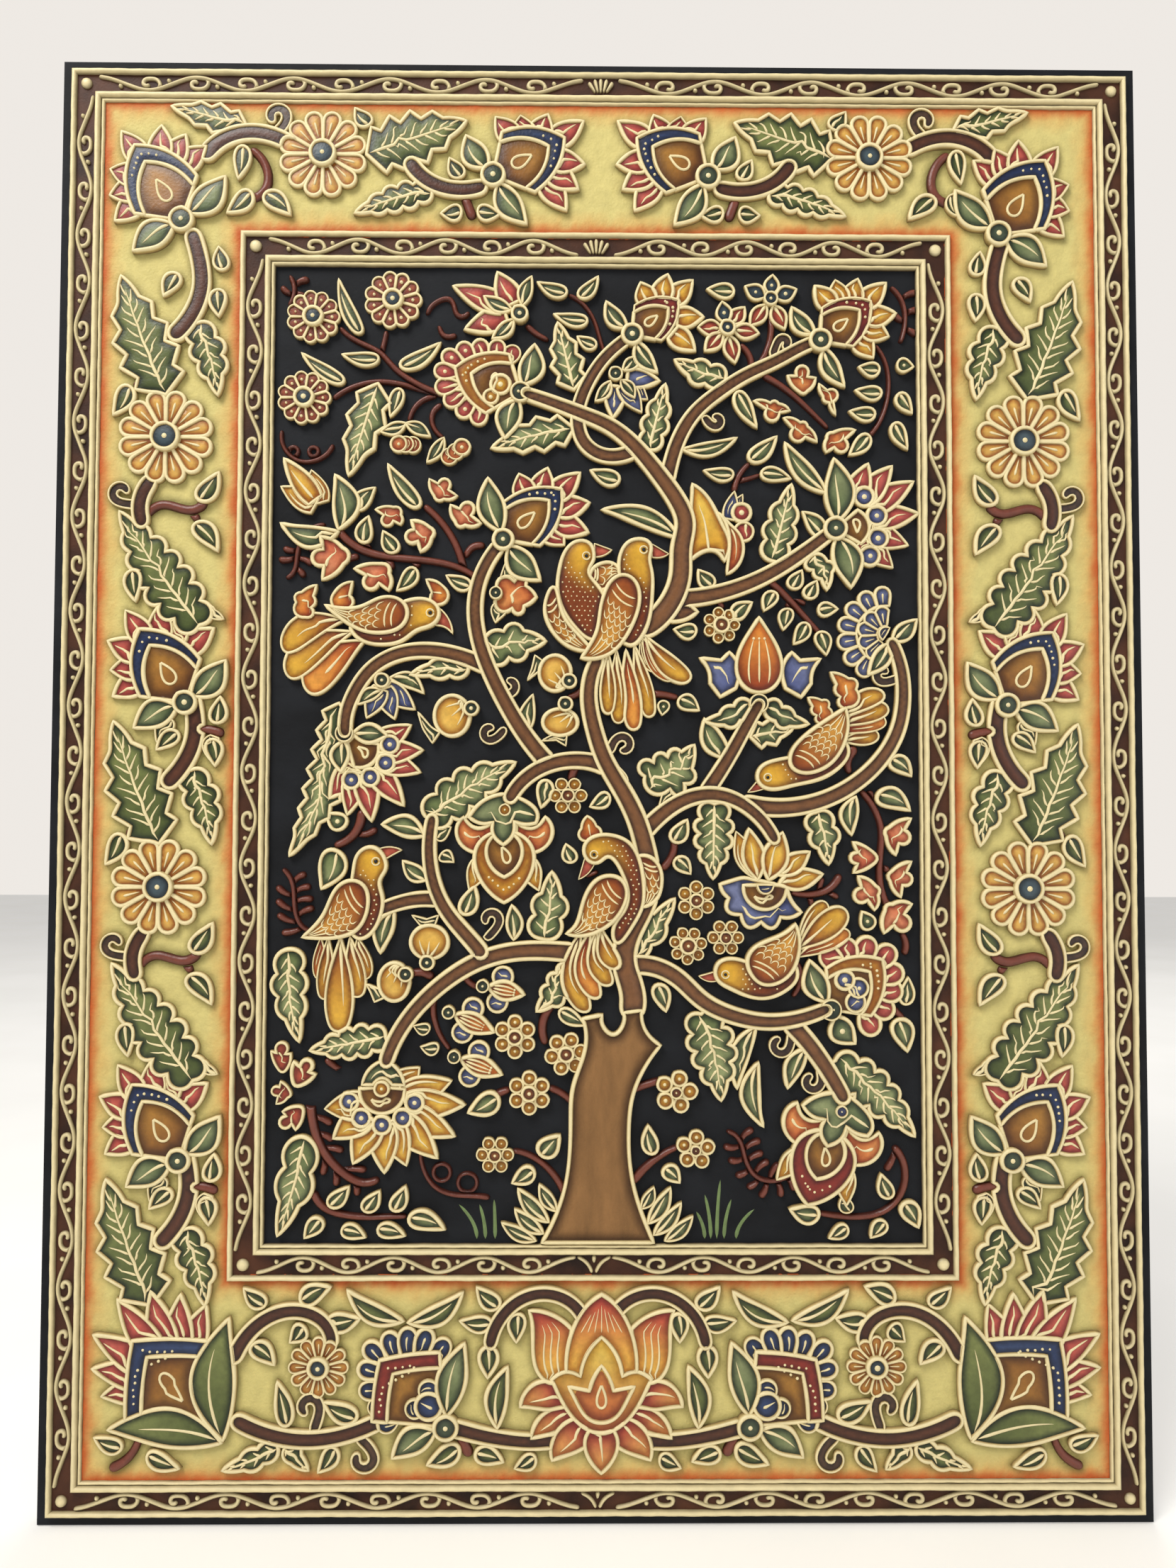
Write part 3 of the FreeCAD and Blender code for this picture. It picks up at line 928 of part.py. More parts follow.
lay_leaves("leaves", (
    (-100.6, 187, -110.4, 210.6, 5.6, 1.5), (-107.4, 166.4, -125.6, 178.8, 5.4, 1),
    (-93, 176.6, -108.6, 178.4, 5.4, 1), (-84.6, 173.4, -67.4, 183.6, 6, -1.5),
    (-84.2, 164, -88.2, 152, 5.4, 0), (-102.6, 112.8, -94.4, 121.8, 6.6, 0.6),
    (-75.6, 113.6, -89, 131.8, 6.6, 1), (-9.2, 203.6, -1, 212.4, 5.4, -1),
    (-14, 205.4, -26.4, 209.8, 5.6, 1), (-5, 193.4, -19.4, 196.2, 5.4, 1),
    (-1.6, 182.6, -9.6, 186.6, 5, 0.6), (8.4, 125.4, -3.8, 129.6, 6.6, 0.6),
    (56.8, 206.2, 45.4, 207.4, 6.4, 0), (118.2, 173.2, 109.4, 174.4, 6, 0.5),
    (119.2, 163.2, 108, 164.4, 6, 0.6), (116.4, 154.2, 105.4, 155.4, 6, 0.6),
    (113.6, 145.4, 105.2, 136.8, 6.2, 0.6), (125.6, 175.6, 132.4, 174.6, 6, 0),
    (126.4, 163.4, 131.6, 154.8, 6, -0.6), (124.4, 150.8, 129.6, 139.4, 6, -0.6),
    (57.8, 163.8, 66, 148.4, 6.4, -0.6), (62.8, 134.2, 74.4, 144.4, 6.8, -0.8),
    (56.4, 128.2, 43.8, 129.8, 5.4, 0.8), (67.6, 128.8, 80.2, 126.6, 5.8, 0.6),
    (-99, 98.4, -97, 109.6, 6.8, 0.8), (-85.2, 94.8, -90.8, 103.4, 6.4, 0.6),
    (-77.2, 88, -84.8, 78.4, 6.4, 0.8), (-53.8, 80.2, -64.2, 84.8, 5.8, 0.6),
    (-38.6, 80.4, -39.8, 89.6, 6.8, -1), (-40, 73.2, -43.6, 65.2, 6.4, -1), (-31, 20, -27.8, 35, 6.2, 0.6),
    (40.6, 62.2, 31.2, 62.6, 6.4, 0.8), (33, 33, 41.6, 28.6, 6.6, 0.8),
    (27.2, 32.6, 26.2, 26.6, 5, 0), (47.6, 80.8, 41.4, 87.6, 6.4, 0.6), (56, 67.4, 63.8, 74, 6.6, 0.8),
    (74, 78.4, 69, 70.6, 6, -0.8), (79.6, 71.4, 77, 62.6, 5.8, -0.6), (87, 65.4, 81.4, 56.6, 6, 0.6),
    (79.8, 80.4, 84.8, 87.6, 6, -0.6), (86.4, 76.2, 91, 83.2, 6, -0.6), (91.6, 70.4, 99.8, 71.4, 6, 0.6),
    (92.2, 61.8, 95, 52, 6.4, 0.6), (-105, -19.4, -113, -14.8, 7.4, 1), (-109.6, -30, -115, -46, 11, 1.4),
    (-67.6, -25.6, -61.6, -20.4, 5.4, 0.6), (-66.4, -33, -60.4, -35, 5.2, 1.6),
    (-56.4, -56.6, -51.8, -44.6, 7, -0.8), (-22, -0.6, -24.2, -12.2, 6.6, 0.4),
    (4, -6.4, -3.8, -11.8, 6, 1), (-10.6, -34.8, -13.8, -27.4, 5.8, 0.6),
    (30.6, -26.2, 36.6, -17.2, 6.8, -0.6), (31.6, -33.4, 38, -39.6, 6.4, 0.6),
    (24, -85.4, 27.8, -96.4, 6.8, 0.6), (115.8, -7, 129.6, -13, 8.4, 2), (121.4, 8.2, 130.2, 1.4, 7, 1.4),
    (112.8, -62.4, 109.4, -55.2, 6.4, -0.4), (127, -93.6, 128.4, -82.4, 5.8, -0.4),
    (124, -99.6, 127.8, -112.6, 8.6, 0.8), (-24.2, -155, -16.2, -147.4, 8, -0.6),
    (-26.6, -161.2, -35.4, -166.6, 6.8, 0.4), (-41.4, -131.6, -53.6, -138, 8.6, 0.6),
    (-16.4, -96, -5.4, -102.2, 5.8, -0.4), (22.6, -155, 20.4, -143.4, 6.4, 0.6),
    (27, -160.6, 33.4, -166.4, 6.6, 0.6), (-111, -175.8, -102.6, -168.2, 6.2, -0.8),
    (-96.6, -177.8, -90, -170, 6.2, -0.8), (-84.6, -177.8, -79.4, -168.2, 6.2, -0.8),
    (-78, -181, -63.2, -185.4, 7.4, 1.2), (-113.4, -181.4, -120.4, -188.8, 6.4, -0.4),
    (-105.4, -185.6, -95.6, -188.6, 5.8, 0.6), (-90.8, -185.4, -79.4, -188, 6, 0.6),
    (120.4, -172.8, 116.6, -163.2, 6, 0.6), (103.6, -178.6, 100.8, -171.4, 5.8, 0.6),
    (91, -179.6, 79, -177.4, 7.4, 1), (102.6, -184.4, 95, -189, 5.4, 0.4),
    (118.4, -182.6, 112.2, -188.8, 5.8, -0.4), (126, -174.8, 131.8, -184.6, 7.4, 0.6),
    (-69.6, -103.4, -76.4, -102.4, 4.8, 1), (-66, -111, -73.4, -111, 5, 1.2),
    (93.4, 102.6, 85.4, 112.4, 7, -1)))
lay_leaves("long_leaves", (
    (34.6, 138.8, 57.6, 143.8, 5.6, -2.4), (95.6, 120.6, 78, 141.8, 7.4, 2), (33.4, 101, 1, 113, 7.6, -3.4),
    (-72.6, -24, -90.2, -19.4, 8.4, -2), (-70.6, -42, -81.4, -34.6, 6.6, 1.4),
    (-85, -55.4, -90.4, -72.4, 7.4, -2), (-35.4, -67, -36.2, -52.8, 6.4, -0.8),
    (107, -7.4, 105.2, -23.2, 7, -2), (65, -102.6, 57.2, -128, 7.4, -3),
    (66, -117.6, 68, -143.6, 7.4, -4.4), (86, -111.6, 78.2, -127.8, 7, -1.6), (44, 25, 56, 8, 8.6, -2.6),
    (32, -8, 29, 12, 5.6, 2.4), (25, -11.6, 33, 10, 7, -3), (-90.4, 36.4, -100.6, 30.6, 5.2, -1.4),
    (-87.6, 41.6, -73.4, 35.4, 6, 2.6), (-17, -178, -24.2, -167.4, 5, 0.8), (-20.4, -182.4, -33, -169, 6, 1),
    (-22.6, -187, -34.2, -177.4, 5.6, 1), (-25.6, -190, -39.6, -182.8, 5, 1),
    (17.6, -177, 22.8, -168.4, 4.6, -0.8), (20.4, -183, 29.6, -168.6, 5.8, -1),
    (22.8, -187.6, 34, -174.8, 5.4, -1), (27.4, -190, 38.8, -180.2, 5.2, -1)), spear_shape)

# blue lily below the left arm of the tree
lay("bosses", round_face((-90.6, 40.6), 2.9), boss_height)
lay_petals("blue_petals", (-90.4, 39), [(-97, 25), (-85.4, 24.6), (-77, 28.6)], 8.4, 0.88)

# curls with an edge of light clay
for foot, centre, radius, turn in (((-44, 42), (-38, 38.6), 3.6, 1), ((-40, 20), (-45.4, 19), 3.4, -1),
                                   ((5, 12), (9.6, 14), 3.8, -1), ((73, 180), (77.4, 184.4), 2.6, -1),
                                   ((44.6, 152), (48.6, 151), 2.8, 1), ((124, 42), (118.8, 43.6), 3.2, -1),
                                   ((80, -104), (75.4, -110), 4, -1), ((91.6, -121), (88.6, -125), 3.8, -1),
                                   ((-46, -66), (-44.8, -59), 3.8, 1)):
    lay_curl("curls", foot, centre, radius, 3.4, petal_height, turn)

# ---------------------------------------------------------------- bare twigs and sprigs
for path, width, end_width in (
        ([(-109.5, 190), (-100, 183.5), (-92.5, 179.5), (-87.5, 174), (-82, 169.5), (-76, 166),
        (-66, 162)], 2.4, 3), ([(-112, 160.5), (-102, 166), (-91, 167.5), (-80, 165.5),
        (-70, 163)], 2.4, 2.6),
        ([(-90.5, 188.5), (-91.4, 184), (-92.4, 180)], 2.4, 2.4),
        ([(-70, 161.5), (-77, 158), (-80.5, 151)], 2.6, 2.2),
        ([(-67.5, 157.5), (-71, 153), (-70, 147.6), (-66.4, 144)], 2.6, 2.2),
        ([(-73, 197), (-69, 202), (-63.4, 203), (-60.4, 196), (-56, 197)], 2.2, 2.4),
        ([(-68, 191), (-65.6, 187), (-61.6, 187.4)], 2.2, 2.6),
        ([(-134, 146), (-133, 139), (-127, 133.6), (-120, 133.6), (-112.6, 140)], 2, 2.2),
        ([(-30.5, 191.4), (-27, 188.4), (-22.6, 186)], 2.8, 2.4),
        ([(-13, 205), (-6, 200), (-2, 193), (0, 186), (1.6, 181)], 2, 2),
        ([(60, 183.6), (63.4, 179.4), (64, 173)], 3, 3), ([(72, 198), (72, 186), (67, 175)], 3, 3),
        ([(70, 170.6), (79, 165), (88, 157), (96, 149)], 3.2, 2.2),
        ([(117, 184), (121, 177), (122.4, 168), (121, 158), (117.6, 150), (114.6, 146)], 2, 2.4),
        ([(56.6, 122), (58.6, 128), (62.6, 133)], 3, 2.4), ([(59, 126), (63, 127), (67, 128.4)], 2.4, 2),
        ([(-109.6, 104), (-105, 99), (-98, 95.2), (-85, 92.6), (-70, 91.2), (-58, 88), (-51, 83.6)], 3.8, 3),
        ([(-73, 114), (-66, 107), (-60.4, 98), (-57.4, 89)], 3.2, 3.4),
        ([(-56, 94), (-53.4, 97.4), (-49.6, 98)], 3, 3.4),
        ([(72, 83), (80, 75.4), (86.6, 68), (92, 62)], 3.4, 2.6), ([(86, 74), (83, 75), (79, 73)], 2.4, 2.6),
        ([(20.5, 35.6), (26, 35.4), (32, 34.2)], 3.6, 3), ([(-99, -15), (-101, -22), (-109, -28)], 4.4, 3.4),
        ([(-102, -22.4), (-97.6, -23.6), (-93.6, -21.8)], 2.6, 3.2), ([(-7, 37), (-10, 35),
        (-12.6, 34)], 3.6, 3), ([(-10, 6), (-10.8, 3), (-11.8, 0)], 4.4, 3.4), ([(-1, -39),
        (-4.8, -40.4)], 2.2, 2.6), ([(31.4, -25), (30.6, -32), (27, -37)], 3.2, 3.6), ([(-11, -89),
        (-17.6, -92), (-22.6, -99), (-22.4, -109)], 4.2, 3.6), ([(-67.6, -88), (-68.6, -97), (-66, -106),
        (-62, -112)], 3.2, 2.2), ([(-70, -82), (-74, -80.6), (-77, -81)], 4, 3.4), ([(-56, -80),
        (-53.6, -85), (-50.6, -86.6)], 3.2, 2.8), ([(-91, -112), (-97, -117), (-105, -121.4), (-112, -127),
        (-118, -134)], 4.4, 3.2),
        ([(-130.6, -121), (-128, -127), (-123.4, -131.8), (-117.6, -133.6)], 3.6, 4.2),
        ([(-119, -134), (-118, -142), (-115.6, -150), (-110.6, -158), (-104, -164), (-97.6, -167),
        (-91.6, -166)],
         4.2, 3.4),
        ([(-120.4, -134), (-120.6, -141), (-121.6, -146)], 3.8, 3),
        ([(-73.4, -153), (-72, -162), (-67, -169), (-59, -172), (-50.4, -172.4), (-45.6, -173)], 1.8, 2.6),
        ([(-117, -171.6), (-113, -177), (-105, -180), (-95, -181), (-79.6, -180.6)], 3.6, 2.4),
        ([(123, -153), (127, -162), (125.4, -171), (119, -178), (106, -181), (92, -179.6)], 3.4, 2.6),
        ([(-34.4, -154), (-26, -157), (-19, -163), (-14, -171)], 2.6, 3.4), ([(-41.4, -130.4),
        (-37.6, -129)], 3.6, 3.2), ([(-19.6, -128.4), (-15.6, -130.2), (-11.4, -133.6)], 3.2, 3),
        ([(14, -128.6), (19, -127), (24.4, -125.4)], 3.8, 3.4), ([(15, -165.6), (22.6, -158),
        (32, -152.6)], 4, 2.8),
        ([(110, -5.4), (115, -12), (118, -21), (117.4, -32), (117.2, -42), (120.6, -53)], 2.8, 3.4),
        ([(81, -47.4), (88, -48.2), (95, -46.4), (100, -41)], 2.8, 3.6), ([(92, -47), (92.6, -43),
        (93, -42)], 2.2, 3), ([(88, -48.4), (88.4, -51), (89.6, -54)], 2.4, 2.8), ([(95, -46.8), (97, -48),
        (99, -49)], 2, 3), ([(126.6, -64.6), (128, -68), (127.6, -72)], 2.8, 3.2), ([(119, -92),
        (123, -96), (126, -99)], 3.4, 3), ([(106, 12), (104, 8), (104.6, 3.4)], 5, 3), ([(81, -76),
        (83.6, -80), (81, -90)], 4, 2.4),
        ([(-61.4, 88.6), (-56, 89)], 2, 2), ([(50, 74.6), (51.4, 72.6)], 2.6, 3)):
    lay("twigs", stroke_face(path, width, end_width), twig_height)

# sprigs with club-ended shoots: path, then root and end of each shoot
for path, shoots in (
        ([(-116, 106.4), (-124, 102), (-127, 94), (-128.6, 86), (-131, 84)],
         [((-125, 101), (-130, 102.6)), ((-126.4, 96), (-131.6, 96)), ((-127, 93), (-133.4, 91.6)),
          ((-124.6, 99), (-121, 96)), ((-127, 92), (-121.6, 90.4)), ((-128.4, 88), (-124.6, 85.4)),
          ((-121.4, 104), (-120, 99.6))]),
        ([(-131, -38.4), (-127, -46), (-126.4, -54), (-124, -61), (-117, -64)],
         [((-127, -44), (-123, -40.4)), ((-126.6, -48), (-121, -45.4)), ((-126.6, -52), (-120, -50.4)),
          ((-125.6, -58), (-119.6, -54.4)), ((-127, -49), (-133, -46)), ((-126.4, -55), (-133, -51.6)),
          ((-125, -60), (-132.4, -57.4)), ((-122, -61.6), (-130.4, -64.4))]),
        ([(80, -163), (74, -166), (66, -165), (61, -158), (58.6, -150), (53.6, -146)],
         [((59, -150), (63, -145.6)), ((60, -154), (66, -150)), ((61, -159), (67, -155)), ((64.6, -163.6),
         (69.4, -158.6)),
          ((71, -165.6), (74, -160)), ((58.6, -152), (53, -152.4)), ((60, -157), (55, -158)),
          ((62.6, -161), (58, -164)), ((66, -165.6), (62.6, -168.6)), ((69.6, -166.4), (67.6, -172)),
          ((73.6, -166.4), (75.4, -171.6)),
          ((77.6, -165), (80.6, -169))]),
        ([(-131, 212), (-129.4, 207), (-131.4, 200)],
         [((-129.6, 208), (-124.6, 211)), ((-129.8, 205), (-134, 207)), ((-130, 204.6), (-125.4, 203.6))]),
        ([(124, 209), (128.4, 203), (129.6, 195), (127.6, 186)],
         [((128, 204), (133, 207)), ((129.4, 197), (133.6, 199.6)), ((129.4, 195), (125.6, 197)),
          ((129, 191), (133, 189.6))])):
    lay("twigs", stroke_face(path, 2.4, 2.2), twig_height)
    for root, end in shoots:
        middle = off_axis(root, end, 0.5, 0.7)
        lay("twigs", stroke_face([root, middle, end], 1.8, 3.4), twig_height + layer_step)
for root, end in (((-105, -121.6), (-112, -117)), ((-118, -140), (-111, -142.4)), ((-116, -147), (-110.4,
        -149)),
                  ((-113, -153), (-106.4, -153.6)), ((-110, -158), (-103, -159)), ((-106, -162),
                  (-97, -161.6)), ((-113, -154), (-113.4, -162.6)), ((-109, -159.6), (-108, -167)),
                  ((-101, -165.4), (-99.4, -171)), ((123, -153.6), (119.6, -161)), ((115, -11.6),
                  (113.4, -6)), ((117.6, -38), (120, -37.6)),
                  ((-99.6, 96), (-97.4, 97)), ((-90, 92.4), (-87.4, 89)), ((-80, 92), (-76.6, 89.6)),
                  ((-108, 100), (-107, 109)), ((-106, 91), (-102.4, 93))):
    middle = off_axis(root, end, 0.5, 0.5)
    lay("twigs", stroke_face([root, middle, end], 2, 3.4), twig_height + layer_step)
for centre, radius in (((-64.6, -162.8), 3.6), ((-54, -167), 4), ((-129, 137.4), 2.2), ((-120.6, 137.4),
        2.2)):
    loop = round_face(centre, radius + 0.9).cut(round_face(centre, radius - 0.9)).Faces[0]
    lay("twigs", loop, twig_height + layer_step)

# ---------------------------------------------------------------- the margin
lotus = ("margin_lotus_petals", "margin_lotus_bands", "margin_lotus_hearts", "margin_sepals", "margin_bosses")


def margin_leaves(rows, shape=blunt_shape):
    lay_leaves("margin_leaves", rows, shape)


def margin_twig(path, width, end_width):
    lay("margin_twigs", stroke_face(path, width, end_width), twig_height)


def margin_stem(path, width, end_width):
    lay("margin_stems", stroke_face(path, width, end_width), stem_height)


def column_head():
    """The stem's two broad leaves, under every lotus of a side column."""
    margin_stem([(-171.6, 228), (-168.4, 216), (-168, 205), (-171, 196), (-178, 186.6)], 6.4, 7)
    lay_edged("margin_broad_leaves", ((-182, 160.4, -201.6, 211, 26, 5, 1, True),
                                      (-170, 190.6, -160.4, 160.4, 15.4, 4, 1.6, False)))
    margin_leaves(((-160.6, 205.6, -160.4, 194, 7, -0.6), (-177.6, 212, -183.6, 202.6, 7, -0.8)))


def column_foot():
    """A scalloped leaf and the next lotus of a side column."""
    margin_leaves(((-197.6, 164.4, -203.8, 152, 7.8, 1), (-168, 116, -159.6, 127.6, 7.8, -1),
                   (-169.4, 106, -159.6, 94.6, 8, 1.4), (-194.4, 86.6, -193.4, 73.4, 7, -0.8),
                   (-159.6, 22.4, -157.6, 33.4, 7, -0.6), (-161, 16, -159.4, 4.8, 7, 0.6),
                   (-174.6, 18.4, -183.6, 11.4, 6.6, -0.8)))
    margin_stem([(-188.6, 123), (-192, 115.6), (-191.4, 107)], 6, 6)
    lay_curl("margin_curls", (-194.6, 114), (-200, 118.6), 4, 3.6, petal_height, -1)
    lay_edged("margin_broad_leaves", ((-166.6, 63.4, -200.6, 111, 23, 7, 1, False),
                                      (-165.4, 70, -156.6, 66, 6, 2, 0, False)))
    margin_twig([(-189, 110.6), (-180, 114), (-171.6, 112), (-166.4, 114.4)], 4, 4.4)
    margin_twig([(-171.6, 112), (-169, 108.6)], 3.4, 4)
    margin_twig([(-165, 20), (-161, 19.6), (-158, 18.6)], 4, 4.6)
    margin_twig([(-194.6, 165), (-191.6, 163)], 4, 3)
    lay_lotus(lotus, (-172, 31), 4.6, (-191.4, 61.6), 50, 19,
              [(-197.4, 69.4), (-183.6, 71.6), (-173.4, 67.6), (-161, 62), (-204.4, 56.6), (-203, 44.4),
              (-202, 33.6)], 10, [(-155.6, 48.6), (-193, 20.4)], 11.4)


def corner_lotus():
    """The lotus in a top corner."""
    lay_lotus(lotus, (-176.5, 235), 4.8, (-196.8, 267), 50, 20,
              [(-202.4, 273), (-185.6, 275.6), (-175.4, 271.6), (-166.6, 266.8), (-206.8, 256.6),
              (-206.8, 245.4),
               (-204.6, 234.6)], 10, [(-158.4, 253.6), (-196.6, 221.6)], 11.4)


def top_row():
    """The second lotus along half of the top, and the leaves between."""
    lay_lotus(lotus, (-45.5, 255), 4.8, (-15.4, 271.6), 50, 19,
              [(-44.6, 280.4), (-34, 281), (-22.4, 281.6), (-7.4, 279), (-7, 260.4), (-9.6, 249.6),
              (-14.6, 240.6)], 10, [(-57, 272), (-31.4, 234.4)], 10.6)
    margin_stem([(-166, 264), (-158, 270.6), (-147, 273), (-138, 271.4), (-131, 268)], 6.8, 6)
    margin_stem([(-80, 259.6), (-73, 252.6), (-62.4, 249), (-51, 250)], 6.4, 6)
    lay_curl("margin_curls", (-136.4, 274), (-136.8, 279.8), 4.2, 4, petal_height, 1)
    lay_edged("margin_broad_leaves", ((-149.6, 275.4, -181.4, 284, 13, 4, 0, True), (-99, 264, -57, 278.6,
            25, 5, 0, True),
                                      (-71.6, 248.6, -103.6, 238.6, 12.6, 5, -1, False)))
    margin_leaves(((-151, 267.4, -153, 253, 6.8, 0.4), (-147.6, 247.6, -157.4, 238.4, 7.6, 1),
                   (-142, 246.6, -131, 237.8, 7.6, 1), (-97.4, 277, -104, 283.6, 6.6, 1),
                   (-58.6, 254.4, -64, 262.4, 6.4, 0.6), (-58.8, 240.4, -67.4, 238.6, 6.8, 1),
                   (-52, 240.6, -42.4, 238.6, 6.8, -1),
                   (-158.6, 213.6, -160.8, 223.6, 6.6, 0.4)))
    margin_twig([(-147, 265.6), (-141.4, 258), (-141.4, 250), (-146.4, 245.4)], 4, 4.4)
    margin_twig([(-57, 245), (-54.6, 238.6)], 4.4, 4.6)


def bottom_row():
    """The corner lotus, small daisy, navy flower and stems along half of the bottom."""
    margin_leaves(((-152.4, -269.6, -150.6, -221, 17.6, 5.4), (-153, -270.6, -199, -265.4, 15, -3.6)),
                  spear_shape)
    spade = spade_face((-160, -262), (-189.6, -229.8), 46, 32, 1.0, 0.03)
    heart = spade_face((-160, -262), (-189.6, -229.8), 46, 32, 0.8, 0.03)
    lay("margin_lotus_hearts", heart, heart_height)
    lay("margin_lotus_bands", spade.cut(heart).Faces[0], band_pad_height)
    lay_petals("margin_lotus_petals", (-172, -247),
               [(-196, -213.4), (-182.6, -210), (-170.4, -211.4), (-160, -215.6), (-205.4, -227.6),
               (-205.6, -241),
                (-201.8, -252)], 11.6, 0.7)
    lay("margin_bosses", round_face((-62, -264.4), 4.8), boss_height)
    for foot, tip, width, bend in (((-61.6, -260), (-54.6, -231), 11.6, 1.6), ((-66, -266), (-83.6,
            -276.6), 10.6, -1.6)):
        lay("margin_sepals", leaf_face(foot, tip, width, bend, spear_shape), sepal_height)
    for spot, radius in (((-69, -256), 5.4), ((-74.6, -257), 3.8), ((-69, -249.6), 4)):
        lay("margin_navy_petals", round_face(spot, radius), band_pad_height + 0.1 * radius)
    spade = spade_face((-62, -264.4), (-89, -237.6), 40, 30, 1.0, 0.03)
    heart = spade_face((-62, -264.4), (-89, -237.6), 40, 30, 0.8, 0.03)
    lay("margin_lotus_hearts", heart, heart_height)
    lay("margin_lotus_bands", spade.cut(heart).Faces[0], band_pad_height + 0.3)
    for step, (foot, tip) in enumerate((((-70, -242), (-61.4, -229.4)), ((-74, -240), (-69.4, -225)),
                                        ((-78, -240), (-77.6, -224.4)), ((-82, -240), (-86, -226.4)),
                                        ((-86, -240), (-95, -231)), ((-85, -243), (-98, -241)),
                                        ((-84, -250), (-97.4, -250)), ((-82, -254), (-93.6, -257.6)),
                                        ((-80, -258), (-89, -265.6)))):
        lay("margin_navy_petals", leaf_face(tip, foot, 7.6), petal_height + layer_step * (step % 3))
    lay_daisy("margin_daisy_petals", "margin_daisy_centres", (-114, -240.6), 4, 12.2, 12)
    margin_stem([(-146, -262.4), (-133, -267.6), (-118, -269.6), (-103, -267.6), (-87, -261)], 6.4, 6)
    margin_stem([(-60, -264.6), (-45, -268.4), (-30, -270.4), (-18, -270)], 6.2, 5.4)
    margin_stem([(-148, -236), (-142, -226.4), (-131, -219), (-122, -218), (-113, -221.6), (-108.6, -230)],
                6, 5)
    margin_stem([(-44, -231), (-40.4, -221.6), (-32, -213.6), (-22, -211), (-12, -214), (-6, -221)], 5, 5)
    lay_curl("margin_curls", (-115.4, -265), (-117.4, -257), 4.4, 4, petal_height, 1)
    lay_curl("margin_curls", (-96.4, -269.6), (-95.4, -277), 4.6, 4, petal_height, -1)
    margin_leaves(((-135.6, -215.6, -144.6, -208.8, 6.6, 1), (-121.4, -214.6, -109.6, -208.4, 7.6, 1),
                   (-110.4, -222.6, -97.4, -221, 7.6, -1), (-121, -223.4, -125.6, -230.4, 7, 1.4),
                   (-141.4, -231.6, -132, -239.4, 7.4, 1), (-126.8, -264.4, -130.6, -246.4, 6.8, -0.6),
                   (-98, -261, -111.6, -254.6, 7.6, 1), (-183, -275, -170, -280.8, 6.6, -1),
                   (-193, -272.6, -204.4, -268.4, 6.4, 1), (-107, -272.4, -113.6, -282.4, 6.8, 1),
                   (-56.6, -272.4, -69.4, -279.6, 7.8, 1), (-50, -275, -38.6, -278.4, 7.4, 0.6),
                   (-25.6, -276, -33.8, -281, 6.2, 1), (-44.6, -232.4, -45, -244.8, 7.8, 0),
                   (-40.4, -216.4, -49.6, -208.6, 7, 1), (-43.6, -223, -56.4, -222, 6.6, 1),
                   (-32.4, -219, -33.4, -230.6, 7, -0.6)))
    margin_leaves(((-79.6, -222, -102.4, -209.8, 7.6, 3.4), (-77.6, -222.6, -55.4, -210.6, 7.6, -3.4),
                   (-41, -265, -37, -240.6, 8.4, 2.4)), spear_shape)
    lay_edged("margin_broad_leaves", ((-130, -272, -152.4, -281.6, 9.6, 3, 1, False),
                                      (-126, -271.6, -117.6, -281.6, 8.6, 2, -1, False)))
    margin_twig([(-187, -270), (-190, -276), (-197, -281)], 3.4, 4.4)
    margin_twig([(-55.6, -270), (-53, -275)], 4.6, 5)
    margin_twig([(-24, -274), (-21.6, -272.6)], 2.4, 2)


def mirrored_face(middle, *runs):
    """An outline whose runs are given for one side, from the top down, as steps from its middle line."""
    edges = [curve([(middle + side * x, z) for x, z in run]) for side in (1, -1) for run in runs]
    return face_of(edges)


